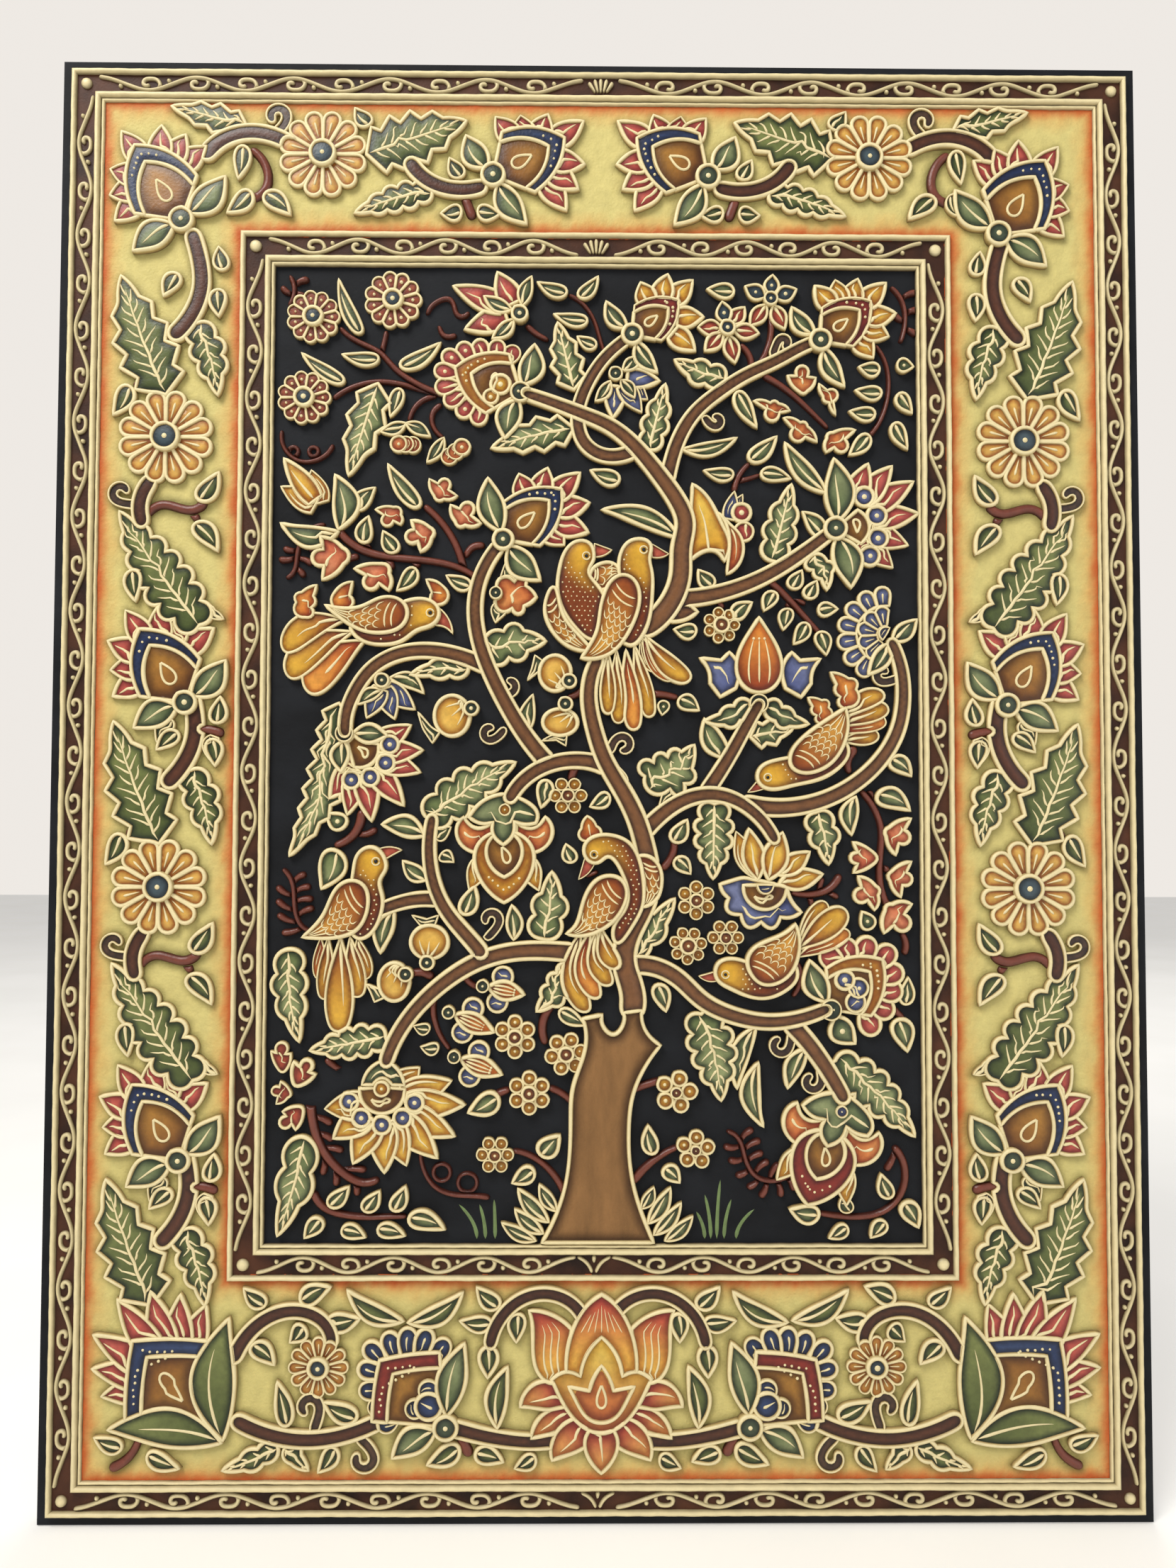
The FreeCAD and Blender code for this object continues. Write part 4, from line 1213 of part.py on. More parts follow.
def bottom_lotus(middle):
    """The big lotus on the middle of the bottom margin: two cups, a crown and its lower petals."""
    inner_cup = mirrored_face(middle, [(0, -240), (3, -244.5), (4.9, -250)], [(4.9, -250), (13.4, -248.4)],
                              [(13.4, -248.4), (9.6, -255.6), (5.6, -261), (0, -262.8)])
    outer_cup = mirrored_face(middle, [(0, -228.5), (4.8, -233.5), (7.4, -238.5), (8.6, -244.2)],
                              [(8.6, -244.2), (13.5, -242.4), (20.3, -245.6)],
                              [(20.3, -245.6), (16, -254.5), (11, -261.5), (5, -266), (0, -267.2)])
    crown = mirrored_face(middle, [(0, -211.5), (6, -216), (10.6, -223), (13.6, -232), (14, -246)],
                          [(14, -246), (0, -246)])
    lay("margin_yellow_petals", inner_cup, band_pad_height)
    lay("margin_yellow_petals", outer_cup, petal_height + layer_step)
    lay("margin_red_petals", crown, petal_height + 2 * layer_step)
    lay("margin_red_petals", mirrored_face(middle, [(0, -264), (4.6, -265.6)],
                                           [(4.6, -265.6), (6.8, -271), (5.4, -276.6), (0, -283)]),
        petal_height + 2 * layer_step)
    for side in (1, -1):
        def there(*points):
            return [(middle + side * x, z) for x, z in points]

        lay("margin_red_petals", cornered_face(there((10, -247), (12.4, -225.4)),
                                               there((12.4, -225.4), (16.8, -221.6), (23, -218.8),
                                                     (29.6, -218)),
                                               there((29.6, -218), (28, -232), (25.6, -243.4), (21.5, -247)),
                                               there((21.5, -247), (10, -247))), petal_height)
        lay("margin_red_petals", cornered_face(there((3, -262), (10.6, -261.2)),
                                               there((10.6, -261.2), (17, -265), (20.2, -270.6),
                                                     (20, -277.8)),
                                               there((20, -277.8), (13, -275.6), (8.6, -273.8), (3, -262))),
            petal_height + layer_step)
        lay("margin_red_petals", cornered_face(there((8, -259), (14.6, -256.8)),
                                               there((14.6, -256.8), (22, -258.4), (26.4, -262.6),
                                                     (28.6, -269)),
                                               there((28.6, -269), (21.6, -267.6), (16, -265.6), (8, -259))),
            petal_height)
        lay("margin_red_petals", cornered_face(there((12, -252), (18.8, -247.6)),
                                               there((18.8, -247.6), (25.6, -246.6), (30.8, -250.4),
                                                     (33, -256.4)),
                                               there((33, -256.4), (24, -257.4), (16, -257), (12, -252))),
            petal_height + 2 * layer_step)


bottom_lotus(1.4)
for flip in (1.0, -1.0):
    right = flip < 0
    placing["flip"] = flip
    placing["shift"] = right_daisy_shift if right else 0.0
    lay_daisy("margin_daisy_petals", "margin_daisy_centres", (-117.5, 264), 5.2, 18.4, 12, 15)
    for repeat in range(2):
        lay_daisy("margin_daisy_petals", "margin_daisy_centres", (-182, 142.6 - column_pitch * repeat),
                  5.6, 19.6, 12, 15)
    placing["shift"] = right_corner_shift if right else 0.0
    placing["rise"] = right_corner_rise if right else 0.0
    corner_lotus()
    placing["shift"] = placing["rise"] = 0.0
    top_row()
    bottom_row()
    placing["shift"] = inner_frame_x if right else 0.0
    for repeat in range(3):
        placing["rise"] = -column_pitch * repeat
        column_head()
        if repeat < 2:
            column_foot()
    placing["rise"] = 0.0
placing.update(flip=1.0, shift=0.0)

# ---------------------------------------------------------------- the board and its hangers
board = Part.makeBox(board_width, board_thickness, board_height,
                     Vector(-board_width / 2, front, -board_height / 2))
eye_inside = ring_wire / 2 + ring_clearance
eye_outside = eye_inside + strap_thickness
ring_radius = ring_inside / 2 + ring_wire / 2
side_axis = Vector(1, 0, 0)
out = Vector(0, 1, 0)
for name, x in (("left", -hanger_spacing / 2), ("right", hanger_spacing / 2)):
    eye = Vector(x, eye_outside, hanger_z)
    tube = Part.makeCylinder(eye_outside, strap_width, eye - side_axis * (strap_width / 2), side_axis)
    plate = Part.makeBox(strap_width, strap_thickness, strap_length,
                         Vector(x - strap_width / 2, 0, hanger_z - strap_length))
    strap = tube.fuse(plate)
    strap = strap.cut(Part.makeCylinder(eye_inside, strap_width + 2,
                                        eye - side_axis * (strap_width / 2 + 1), side_axis))
    screws = []
    for step in range(2):
        spot = Vector(x, 0, hanger_z - strap_length + 6.0 + step * screw_spacing)
        shank = Part.makeCylinder(screw_shank / 2, screw_length,
                                  spot + out * (strap_thickness - screw_length), out)
        head = Part.makeCone(screw_head / 2, screw_head / 2 - 0.8, 1.6, spot + out * strap_thickness, out)
        screws.append(shank.fuse(head))
        board = board.cut(Part.makeCylinder(screw_shank / 2, screw_length,
                                            spot + out * (strap_thickness - screw_length),
                                            out))
        strap = strap.cut(Part.makeCylinder(screw_shank / 2, 4, spot - out, out))
    nodes.setdefault("hanger_straps", []).append(strap)
    nodes.setdefault("hanger_screws", []).extend(screws)
    # the ring is a D: a straight bar through the eye and a half round below it
    bar = Part.makeCylinder(ring_wire / 2, 2 * ring_radius, eye - side_axis * ring_radius, side_axis)
    bow = Part.makeTorus(ring_radius, ring_wire / 2, eye, out).common(
        Part.makeBox(4 * ring_radius, 4 * ring_wire, 2 * ring_radius,
                     eye - Vector(2 * ring_radius, 2 * ring_wire, 2 * ring_radius)))
    ends = [Part.makeSphere(ring_wire / 2, eye + side_axis * (s * ring_radius)) for s in (1, -1)]
    nodes[name + "_ring"] = [bar.fuse([bow] + ends).removeSplitter()]
nodes["backing_board"] = [board]

for node, solids in nodes.items():
    shape = solids[0] if len(solids) == 1 else Part.makeCompound(solids)
    shape.exportStep("parts/" + node + ".step")
print(len(nodes), "nodes,", sum(len(s) for s in nodes.values()), "solids")
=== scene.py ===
"""Painted clay relief panel: beads, painted hollows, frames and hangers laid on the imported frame."""

import logging
import math
from collections.abc import Callable
from dataclasses import dataclass, field
from enum import Enum

import bpy
import numpy as np
from mathutils import Matrix, Vector
from mathutils.geometry import delaunay_2d_cdt


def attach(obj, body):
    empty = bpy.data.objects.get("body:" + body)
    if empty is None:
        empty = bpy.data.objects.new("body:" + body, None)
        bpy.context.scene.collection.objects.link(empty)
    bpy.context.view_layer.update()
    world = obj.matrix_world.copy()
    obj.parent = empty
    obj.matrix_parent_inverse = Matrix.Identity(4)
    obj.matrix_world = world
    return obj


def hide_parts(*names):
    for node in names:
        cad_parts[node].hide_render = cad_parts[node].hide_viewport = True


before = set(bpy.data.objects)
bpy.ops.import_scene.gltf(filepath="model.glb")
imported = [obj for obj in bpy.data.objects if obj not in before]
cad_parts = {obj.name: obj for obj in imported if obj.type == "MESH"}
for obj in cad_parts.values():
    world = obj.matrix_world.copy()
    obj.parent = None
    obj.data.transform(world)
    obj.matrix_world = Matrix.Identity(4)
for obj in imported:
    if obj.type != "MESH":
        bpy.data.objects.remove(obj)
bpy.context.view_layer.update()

LOG = logging.getLogger("clay_panel")
BODY = "panel"
BOARD = 12.0  # thickness of the board in mm; the relief's heights are counted from its front
GROUND = 1.0  # thickness of the margin's clay ground in mm
EDGE_STEP = 1.3  # spacing of an outline's points in mm
FINE_STEP = 1.0
BRANCH_STEP = 1.4
FILL_STEP = 1.5  # spacing of the points inside a piece in mm
WELD = 2e5  # points closer than 1 / WELD metres are one
HUB_REACH = 34.0  # farthest that a petal's middle lies from its flower's

Colour = tuple[float, float, float]


# ---------------------------------------------------------------- colours and finishes
def linear(colour: Colour) -> np.ndarray:
    """Turn a paint-chart colour of 0 to 255 into linear light.

    Args:
        colour: Red, green and blue from 0 to 255.

    Returns:
        The three linear values.
    """
    share = np.asarray(colour, float) / 255.0
    return np.where(share <= 0.04045, share / 12.92, ((share + 0.055) / 1.055) ** 2.4)


@dataclass(frozen=True)
class Paint:
    """Wash of one kind of piece: dark beside the bead, light in the middle, other tones at the tip."""

    rim: Colour
    middle: Colour
    tip_rim: Colour
    tip_middle: Colour
    reach: float = 2.4

    def tint(self, inset: np.ndarray, along: np.ndarray) -> np.ndarray:
        """Colour of each point of a hollow.

        Two smooth steps blend four colours: the inset from the bead picks rim or middle, and
        the place along the piece picks root or tip.

        Args:
            inset: Distance of each point from the outline in mm.
            along: Place along the piece, 0 at the root and 1 at the tip.

        Returns:
            One linear colour per point.
        """
        deep = np.clip(inset / self.reach, 0.0, 1.0)[:, None]
        deep = deep * deep * (3 - 2 * deep)
        far = np.clip(along, 0.0, 1.0)[:, None]
        far = far * far * (3 - 2 * far)
        root = linear(self.rim) * (1 - deep) + linear(self.middle) * deep
        tip = linear(self.tip_rim) * (1 - deep) + linear(self.tip_middle) * deep
        return root * (1 - far) + tip * far


def two_tone(rim: Colour, middle: Colour, reach: float = 2.4) -> Paint:
    """A wash with the same tones from root to tip."""
    return Paint(rim, middle, rim, middle, reach)


LEAF = Paint((22, 34, 16), (92, 104, 60), (38, 50, 26), (146, 152, 104), 2.8)
DARK_LEAF = Paint((16, 26, 10), (70, 80, 38), (26, 38, 18), (116, 122, 68), 2.8)
SEPAL = Paint((22, 34, 18), (78, 92, 56), (36, 48, 28), (136, 142, 98), 3.0)
BOSS = two_tone((26, 34, 26), (64, 74, 54), 2.0)
CENTRE = two_tone((20, 28, 34), (62, 76, 82), 2.4)
RUSSET_CENTRE = two_tone((70, 30, 14), (150, 92, 44), 2.0)
BRICK = Paint((84, 24, 14), (160, 62, 38), (112, 40, 26), (190, 94, 68), 2.6)
ROSE = Paint((96, 26, 24), (168, 64, 54), (128, 44, 40), (196, 100, 84), 2.8)
DAISY_RED = Paint((78, 26, 12), (136, 56, 28), (92, 34, 16), (156, 76, 42), 1.8)
DAISY_OCHRE = Paint((116, 58, 12), (192, 136, 52), (146, 80, 20), (210, 168, 84), 2.2)
OCHRE = Paint((112, 60, 10), (186, 134, 30), (140, 84, 16), (208, 164, 60), 2.2)
YELLOW = Paint((120, 58, 10), (196, 140, 36), (158, 100, 20), (222, 186, 80), 2.6)
ORANGE = Paint((112, 38, 14), (186, 96, 44), (144, 64, 26), (212, 142, 78), 2.4)
BELL = Paint((110, 34, 16), (184, 84, 48), (146, 66, 34), (214, 146, 104), 2.2)
SLATE = Paint((26, 32, 58), (74, 82, 124), (44, 50, 78), (112, 118, 150), 2.2)
NAVY = Paint((10, 16, 34), (28, 42, 76), (16, 24, 46), (50, 66, 100), 2.2)
HEART = Paint((66, 34, 10), (118, 72, 24), (96, 60, 14), (164, 116, 46), 5.0)
GOLD_HEART = Paint((124, 66, 12), (188, 128, 32), (130, 70, 14), (212, 168, 66), 4.0)
BAND_RED = two_tone((72, 18, 14), (124, 40, 30), 2.0)
POMEGRANATE = Paint((112, 60, 10), (196, 144, 48), (150, 94, 24), (216, 174, 84), 3.0)
STRIPED = Paint((84, 28, 12), (140, 56, 22), (170, 84, 20), (220, 140, 54), 3.0)
CUP = Paint((120, 54, 26), (172, 100, 52), (180, 136, 40), (214, 180, 80), 4.0)
INNER_CUP = Paint((110, 46, 22), (168, 88, 44), (150, 80, 34), (208, 136, 66), 4.0)
CROWN = Paint((170, 110, 30), (222, 172, 70), (110, 26, 24), (172, 62, 50), 3.0)
CROWN_SKIRT = Paint((112, 30, 26), (160, 58, 46), (150, 84, 34), (220, 160, 84), 3.4)
BRANCH = two_tone((36, 18, 10), (116, 76, 44), 2.4)
TRUNK = two_tone((62, 40, 22), (134, 97, 58), 5.0)
STEM = two_tone((34, 14, 6), (86, 48, 30), 3.0)
TWIG = two_tone((52, 22, 16), (112, 58, 44), 1.2)
CURL = two_tone((34, 24, 20), (84, 60, 44), 1.6)
TAIL = Paint((84, 28, 8), (140, 64, 18), (140, 88, 16), (208, 160, 54), 2.2)
WING = Paint((76, 28, 8), (136, 64, 20), (134, 74, 20), (206, 150, 58), 2.6)
BREAST = Paint((136, 88, 14), (206, 156, 46), (62, 22, 6), (118, 54, 16), 2.4)
BEAK = Paint((120, 44, 28), (180, 84, 62), (150, 62, 44), (198, 108, 84), 1.4)
CREST = Paint((110, 36, 12), (172, 74, 26), (160, 84, 24), (214, 146, 60), 2.0)
CREAM = (224, 208, 160)
# Painted shade of the cream clay: a darker cream for the sides of beads and strokes, dark brown for their foot.
CREAM_SIDE_SHADE = (176, 152, 100)
CREAM_FOOT_SHADE = (74, 54, 30)
PUPIL = (22, 20, 20)
GRASS_GREEN = (104, 124, 74)

CLAY_GRAINS = 900.0  # grains per metre
WOOD_GRAINS = 500.0
STREAK_GRAINS = 1200.0
BUMP_DEPTH = 0.0004  # in metres


@dataclass(frozen=True)
class ClayFinish:
    """Painted air-dried clay: brushed tone, fine grain and a satin skin, on the piece's own tint."""

    name: str
    roughness: float = 0.5
    gloss: float = 0.3
    mottle: float = 0.2
    mottle_size: float = 180.0
    grain: float = 0.25
    stretch: tuple[float, float, float] = (1.0, 1.0, 1.0)

    def material(self) -> bpy.types.Material:
        """Build the finish once.

        The tint attribute is multiplied by soft noise for uneven brushing; fine noise lifts the
        bump. Both noises are read in object coordinates.

        Returns:
            The material.
        """
        found = bpy.data.materials.get(self.name)
        if found:
            return found
        made, tree, shader = fresh_material(self.name, self.roughness, self.gloss)
        tint = tree.nodes.new("ShaderNodeAttribute")
        tint.attribute_name = "tint"
        colour = patchy(tree, tint.outputs["Color"], self.mottle, self.mottle_size, self.stretch)
        tree.links.new(colour, shader.inputs["Base Color"])
        bump(tree, shader, CLAY_GRAINS, self.grain)
        return made


def fresh_material(name: str, roughness: float, gloss: float,
                   metallic: float = 0.0) -> tuple[bpy.types.Material, bpy.types.NodeTree, bpy.types.Node]:
    """Start a material and set its shader's own values.

    Args:
        name: The material's name.
        roughness: Roughness of its skin.
        gloss: Specular level.
        metallic: 1 for bare metal.

    Returns:
        The material, its node tree and its shader.
    """
    made = bpy.data.materials.new(name)
    made.use_nodes = True
    shader = made.node_tree.nodes["Principled BSDF"]
    shader.inputs["Roughness"].default_value = roughness
    shader.inputs["Specular IOR Level"].default_value = gloss
    shader.inputs["Metallic"].default_value = metallic
    return made, made.node_tree, shader


def object_noise(tree: bpy.types.NodeTree, size: float, detail: float,
                 stretch: tuple[float, float, float] = (1.0, 1.0, 1.0)) -> bpy.types.Node:
    """Noise read in the piece's own object coordinates.

    Args:
        tree: The material's node tree.
        size: Scale of the noise, in patches per metre.
        detail: How many finer layers it has.
        stretch: Its stretch along each axis.

    Returns:
        The noise node.
    """
    place = tree.nodes.new("ShaderNodeTexCoord")
    mapping = tree.nodes.new("ShaderNodeMapping")
    mapping.inputs["Scale"].default_value = stretch
    noise = tree.nodes.new("ShaderNodeTexNoise")
    noise.inputs["Scale"].default_value = size
    noise.inputs["Detail"].default_value = detail
    tree.links.new(place.outputs["Object"], mapping.inputs["Vector"])
    tree.links.new(mapping.outputs["Vector"], noise.inputs["Vector"])
    return noise


def patchy(tree: bpy.types.NodeTree, colour: bpy.types.NodeSocket, amount: float, size: float,
           stretch: tuple[float, float, float]) -> bpy.types.NodeSocket:
    """Multiply a colour by soft noise, so that it looks brushed on.

    Args:
        tree: The material's node tree.
        colour: The colour to vary.
        amount: Share by which the noise darkens or lightens.
        size: Scale of the noise, in patches per metre.
        stretch: Stretch of the noise along each axis.

    Returns:
        The varied colour.
    """
    noise = object_noise(tree, size, 6.0, stretch)
    noise.inputs["Roughness"].default_value = 0.62
    level = tree.nodes.new("ShaderNodeMapRange")
    level.inputs["From Min"].default_value = 0.25
    level.inputs["From Max"].default_value = 0.75
    level.inputs["To Min"].default_value = 1.0 - amount
    level.inputs["To Max"].default_value = 1.0 + amount * 0.6
    scale = tree.nodes.new("ShaderNodeVectorMath")
    scale.operation = "SCALE"
    tree.links.new(noise.outputs["Fac"], level.inputs["Value"])
    tree.links.new(colour, scale.inputs[0])
    tree.links.new(level.outputs["Result"], scale.inputs["Scale"])
    return scale.outputs["Vector"]


def bump(tree: bpy.types.NodeTree, shader: bpy.types.Node, size: float, strength: float) -> None:
    """Give a shader a fine noise bump, read in object coordinates.

    Args:
        tree: The material's node tree.
        shader: The shader that takes the normal.
        size: Scale of the noise, in grains per metre.
        strength: Strength of the bump.
    """
    grain = object_noise(tree, size, 4.0)
    lift = tree.nodes.new("ShaderNodeBump")
    lift.inputs["Strength"].default_value = strength
    lift.inputs["Distance"].default_value = BUMP_DEPTH
    tree.links.new(grain.outputs["Fac"], lift.inputs["Height"])
    tree.links.new(lift.outputs["Normal"], shader.inputs["Normal"])


BEAD_FINISH = ClayFinish("cream_bead", 0.42, 0.35, 0.12, 220.0, 0.25)
HOLLOW_FINISH = ClayFinish("painted_hollow", 0.36, 0.35, 0.26, 300.0, 0.25)
TRUNK_FINISH = ClayFinish("brushed_trunk", 0.6, 0.2, 0.34, 130.0, 0.6, (1.0, 1.0, 0.3))
GROUND_FINISH = ClayFinish("brushed_ground", 0.6, 0.2, 0.12, 240.0, 0.8)


# ---------------------------------------------------------------- surfaces
@dataclass
class Surface:
    """Grids and webs of points that become one piece; places are in mm, as x, z and height."""

    name: str
    points: list[np.ndarray] = field(default_factory=list)
    faces: list[np.ndarray] = field(default_factory=list)
    tints: list[np.ndarray] = field(default_factory=list)
    count: int = 0
    triangles: int = 0

    def take(self, points: np.ndarray, faces: np.ndarray, tint: np.ndarray) -> None:
        """Add points with their faces.

        Args:
            points: n rows of x, z and height above the board's front.
            faces: Rows of three or four indices into the points.
            tint: One linear colour, or one per point.
        """
        self.points.append(points)
        self.faces.append(faces + self.count)
        self.tints.append(np.broadcast_to(tint, (len(points), 3)))
        self.count += len(points)
        self.triangles += len(faces) * (faces.shape[1] - 2)

    def sheet(self, grid: np.ndarray, tint: np.ndarray, closed: bool = False) -> None:
        """Add a grid whose rows follow a path and whose columns cross it from right to left.

        Args:
            grid: Points of shape rows, columns, 3.
            tint: Colour for all, or one per column.
            closed: Whether the last row joins the first.
        """
        rows, columns = grid.shape[:2]
        here = np.arange(rows if closed else rows - 1)[:, None]
        there = (here + 1) % rows
        across = np.arange(columns - 1)[None, :]
        faces = np.stack([here * columns + across, there * columns + across,
                          there * columns + across + 1, here * columns + across + 1], axis=-1)
        colours = np.broadcast_to(tint, (rows, columns, 3)).reshape(-1, 3)
        self.take(grid.reshape(-1, 3), faces.reshape(-1, 4), colours)

    def build(self, finish: ClayFinish, slot: str, nodes: tuple[str, ...] = ()) -> bpy.types.Object:
        """Make the piece, ride it on the panel and dress it.

        Args:
            finish: The finish it gets.
            slot: A material slot's name; not used.
            nodes: CAD nodes that it stands for.

        Returns:
            The object.
        """
        spots = np.concatenate(self.points)
        places = np.stack([spots[:, 0], -(BOARD + spots[:, 2]), spots[:, 1]], axis=1) * 0.001
        mesh = bpy.data.meshes.new(self.name)
        sizes = np.concatenate([np.full(len(f), f.shape[1]) for f in self.faces])
        corners = np.concatenate([f.ravel() for f in self.faces])
        mesh.vertices.add(len(places))
        mesh.vertices.foreach_set("co", places.astype(np.float32).ravel())
        mesh.loops.add(len(corners))
        mesh.loops.foreach_set("vertex_index", corners.astype(np.int32))
        mesh.polygons.add(len(sizes))
        mesh.polygons.foreach_set("loop_start", np.concatenate([[0], np.cumsum(sizes)[:-1]]).astype(np.int32))
        mesh.polygons.foreach_set("loop_total", sizes.astype(np.int32))
        mesh.polygons.foreach_set("use_smooth", np.ones(len(sizes), bool))
        colours = np.concatenate(self.tints)
        attribute = mesh.attributes.new("tint", "FLOAT_COLOR", "POINT")
        attribute.data.foreach_set("color", np.c_[colours, np.ones(len(colours))].astype(np.float32).ravel())
        mesh.update(calc_edges=True)
        mesh.validate()
        made = bpy.data.objects.new(self.name, mesh)
        bpy.context.scene.collection.objects.link(made)
        mesh.materials.append(finish.material())
        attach(made, BODY)
        if nodes:
            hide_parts(*nodes)
        LOG.info("%s: %d triangles", self.name, self.triangles)
        return made


@dataclass
class Beadwork:
    """Cream beads, strokes and dots of one region, split into pieces that stay light."""

    name: str
    limit: int = 180000
    parts: list[Surface] = field(default_factory=list)

    def part(self) -> Surface:
        """The surface that takes the next bead.

        Returns:
            The last surface, or a new one when that is full.
        """
        if not self.parts or self.parts[-1].triangles > self.limit:
            self.parts.append(Surface(f"{self.name}_{len(self.parts) + 1}"))
        return self.parts[-1]

    def build(self) -> None:
        """Make all the pieces."""
        for part in self.parts:
            part.build(BEAD_FINISH, "cream_clay")


# ---------------------------------------------------------------- outlines of the CAD pieces
@dataclass
class Outline:
    """The edge of one clay piece: its loop runs anticlockwise as seen from the front, in mm."""

    loop: np.ndarray
    holes: list[np.ndarray]
    top: float
    place: np.ndarray = field(init=False)
    area: float = field(init=False)
    is_round: bool = field(init=False)

    def __post_init__(self) -> None:
        """Work out the middle, the area and whether the piece is round (a disc's share is 1)."""
        x, z = self.loop.T
        ahead = np.roll(self.loop, -1, axis=0)
        cross = x * ahead[:, 1] - ahead[:, 0] * z
        self.area = float(cross.sum() / 2)
        self.place = ((self.loop + ahead) * cross[:, None]).sum(axis=0) / (6 * self.area)
        around = np.hypot(*(ahead - self.loop).T).sum()
        self.is_round = bool(4 * math.pi * self.area / around ** 2 > 0.9)


def chains(edges: np.ndarray) -> list[np.ndarray]:
    """Join directed edges into closed loops of point numbers; loose ends are left out.

    Args:
        edges: Pairs of start and end numbers.

    Returns:
        The loops.
    """
    after: dict[int, list[int]] = {}
    for start, end in edges.tolist():
        after.setdefault(start, []).append(end)
    loops = []
    for start in list(after):
        while after[start]:
            loop, step = [start], after[start].pop()
            while step != start and after.get(step):
                loop.append(step)
                step = after[step].pop()
            if step == start and len(loop) > 2:
                loops.append(np.array(loop))
    return loops


def slender(loop: np.ndarray) -> bool:
    """Whether a loop is only a crack between triangles.

    Args:
        loop: The closed loop.

    Returns:
        True if its area is small beside its length.
    """
    ahead = np.roll(loop, -1, axis=0)
    area = abs(np.sum(loop[:, 0] * ahead[:, 1] - ahead[:, 0] * loop[:, 1])) / 2
    return bool(area < 0.12 * np.hypot(*(ahead - loop).T).sum())


def outlines_of(node: str) -> list[Outline]:
    """Read the flat front of every clay piece of a CAD node.

    Doubled points are merged. The triangles that face the front are kept, sorted into islands
    by spreading the lowest point number, and the edges used once are each island's outline.

    Args:
        node: Name of the CAD node.

    Returns:
        One outline for each piece of clay.
    """
    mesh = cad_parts[node].data
    mesh.calc_loop_triangles()
    places = np.empty(len(mesh.vertices) * 3)
    mesh.vertices.foreach_get("co", places)
    places = places.reshape(-1, 3)
    faces = np.empty(len(mesh.loop_triangles) * 3, np.int32)
    mesh.loop_triangles.foreach_get("vertices", faces)
    _, first, number = np.unique(np.round(places * WELD).astype(np.int64), axis=0,
                                 return_index=True, return_inverse=True)
    places, faces = places[first] * 1000.0, number.ravel()[faces].reshape(-1, 3)
    sides = places[faces]
    normal = np.cross(sides[:, 1] - sides[:, 0], sides[:, 2] - sides[:, 0])
    size = np.linalg.norm(normal, axis=1) + 1e-12
    front = (normal[:, 1] / size < -0.999) & (sides[:, 0, 1] < -BOARD - 0.2)
    faces = faces[front]
    label = np.arange(len(places))
    while True:
        lowest = label[faces].min(axis=1)
        spread = label.copy()
        np.minimum.at(spread, faces.ravel(), np.repeat(lowest, 3))
        spread = spread[spread]
        if (spread == label).all():
            break
        label = spread
    edges = np.concatenate([faces[:, [0, 1]], faces[:, [1, 2]], faces[:, [2, 0]]])
    key = edges[:, 0].astype(np.int64) * len(places) + edges[:, 1]
    back = edges[:, 1].astype(np.int64) * len(places) + edges[:, 0]
    edges = edges[~np.isin(key, back)]
    found = []
    for island in np.unique(label[edges[:, 0]]):
        loops = [places[loop][:, [0, 2]] for loop in chains(edges[label[edges[:, 0]] == island])]
        if not loops:
            continue
        loops.sort(key=lambda loop: -np.ptp(loop[:, 0]) * np.ptp(loop[:, 1]))
        holes = [loop for loop in loops[1:] if not slender(loop)]
        found.append(Outline(loops[0], holes, float(-places[island, 1] - BOARD)))
    return [outline for outline in found if outline.area > 0.6]


def evened(loop: np.ndarray, step: float, keep: float = 32.0) -> np.ndarray:
    """Space a closed loop's points evenly, keeping its corners sharp.

    Runs between corners (points where the loop turns by more than keep degrees) are cut into
    equal steps, and points inside a run are smoothed by averaging with their neighbours.

    Args:
        loop: The loop's points.
        step: Distance between points.
        keep: Turn in degrees from which a point is a corner.

    Returns:
        The new loop.
    """
    loop = loop[np.hypot(*(loop - np.roll(loop, 1, axis=0)).T) > 0.02]
    before = loop - np.roll(loop, 1, axis=0)
    after = np.roll(loop, -1, axis=0) - loop
    turn = np.degrees(np.abs(np.angle((after[:, 0] + 1j * after[:, 1]) / (before[:, 0] + 1j * before[:, 1]))))
    corners = np.flatnonzero(turn > keep)
    if len(corners) == 0:
        corners = np.array([0])
    loop = np.roll(loop, -corners[0], axis=0)
    corners = np.append(corners - corners[0], len(loop))
    closed = np.vstack([loop, loop[:1]])
    runs = []
    for start, end in zip(corners[:-1], corners[1:]):
        run = closed[start:end + 1]
        gone = np.concatenate([[0], np.cumsum(np.hypot(*np.diff(run, axis=0).T))])
        count = max(1, int(round(gone[-1] / step)))
        at = np.linspace(0, gone[-1], count + 1)
        fresh = np.stack([np.interp(at, gone, run[:, 0]), np.interp(at, gone, run[:, 1])], axis=1)
        for _ in range(2):
            fresh[1:-1] = fresh[1:-1] * 0.5 + (fresh[:-2] + fresh[2:]) * 0.25
        runs.append(fresh[:-1])
    return np.concatenate(runs)


def inside(points: np.ndarray, loop: np.ndarray) -> np.ndarray:
    """Which points a loop holds, by counting the edges that a ray to the right crosses.

    Args:
        points: Points, one per row.
        loop: The closed loop.

    Returns:
        One truth value per point.
    """
    x, z = points[:, :1], points[:, 1:]
    ahead = np.roll(loop, -1, axis=0)
    spans = (loop[:, 1] > z) != (ahead[:, 1] > z)
    rise = np.where(ahead[:, 1] == loop[:, 1], 1e-9, ahead[:, 1] - loop[:, 1])
    meets = loop[:, 0] + (z - loop[:, 1]) / rise * (ahead[:, 0] - loop[:, 0])
    return (np.count_nonzero(spans & (x < meets), axis=1) % 2) == 1


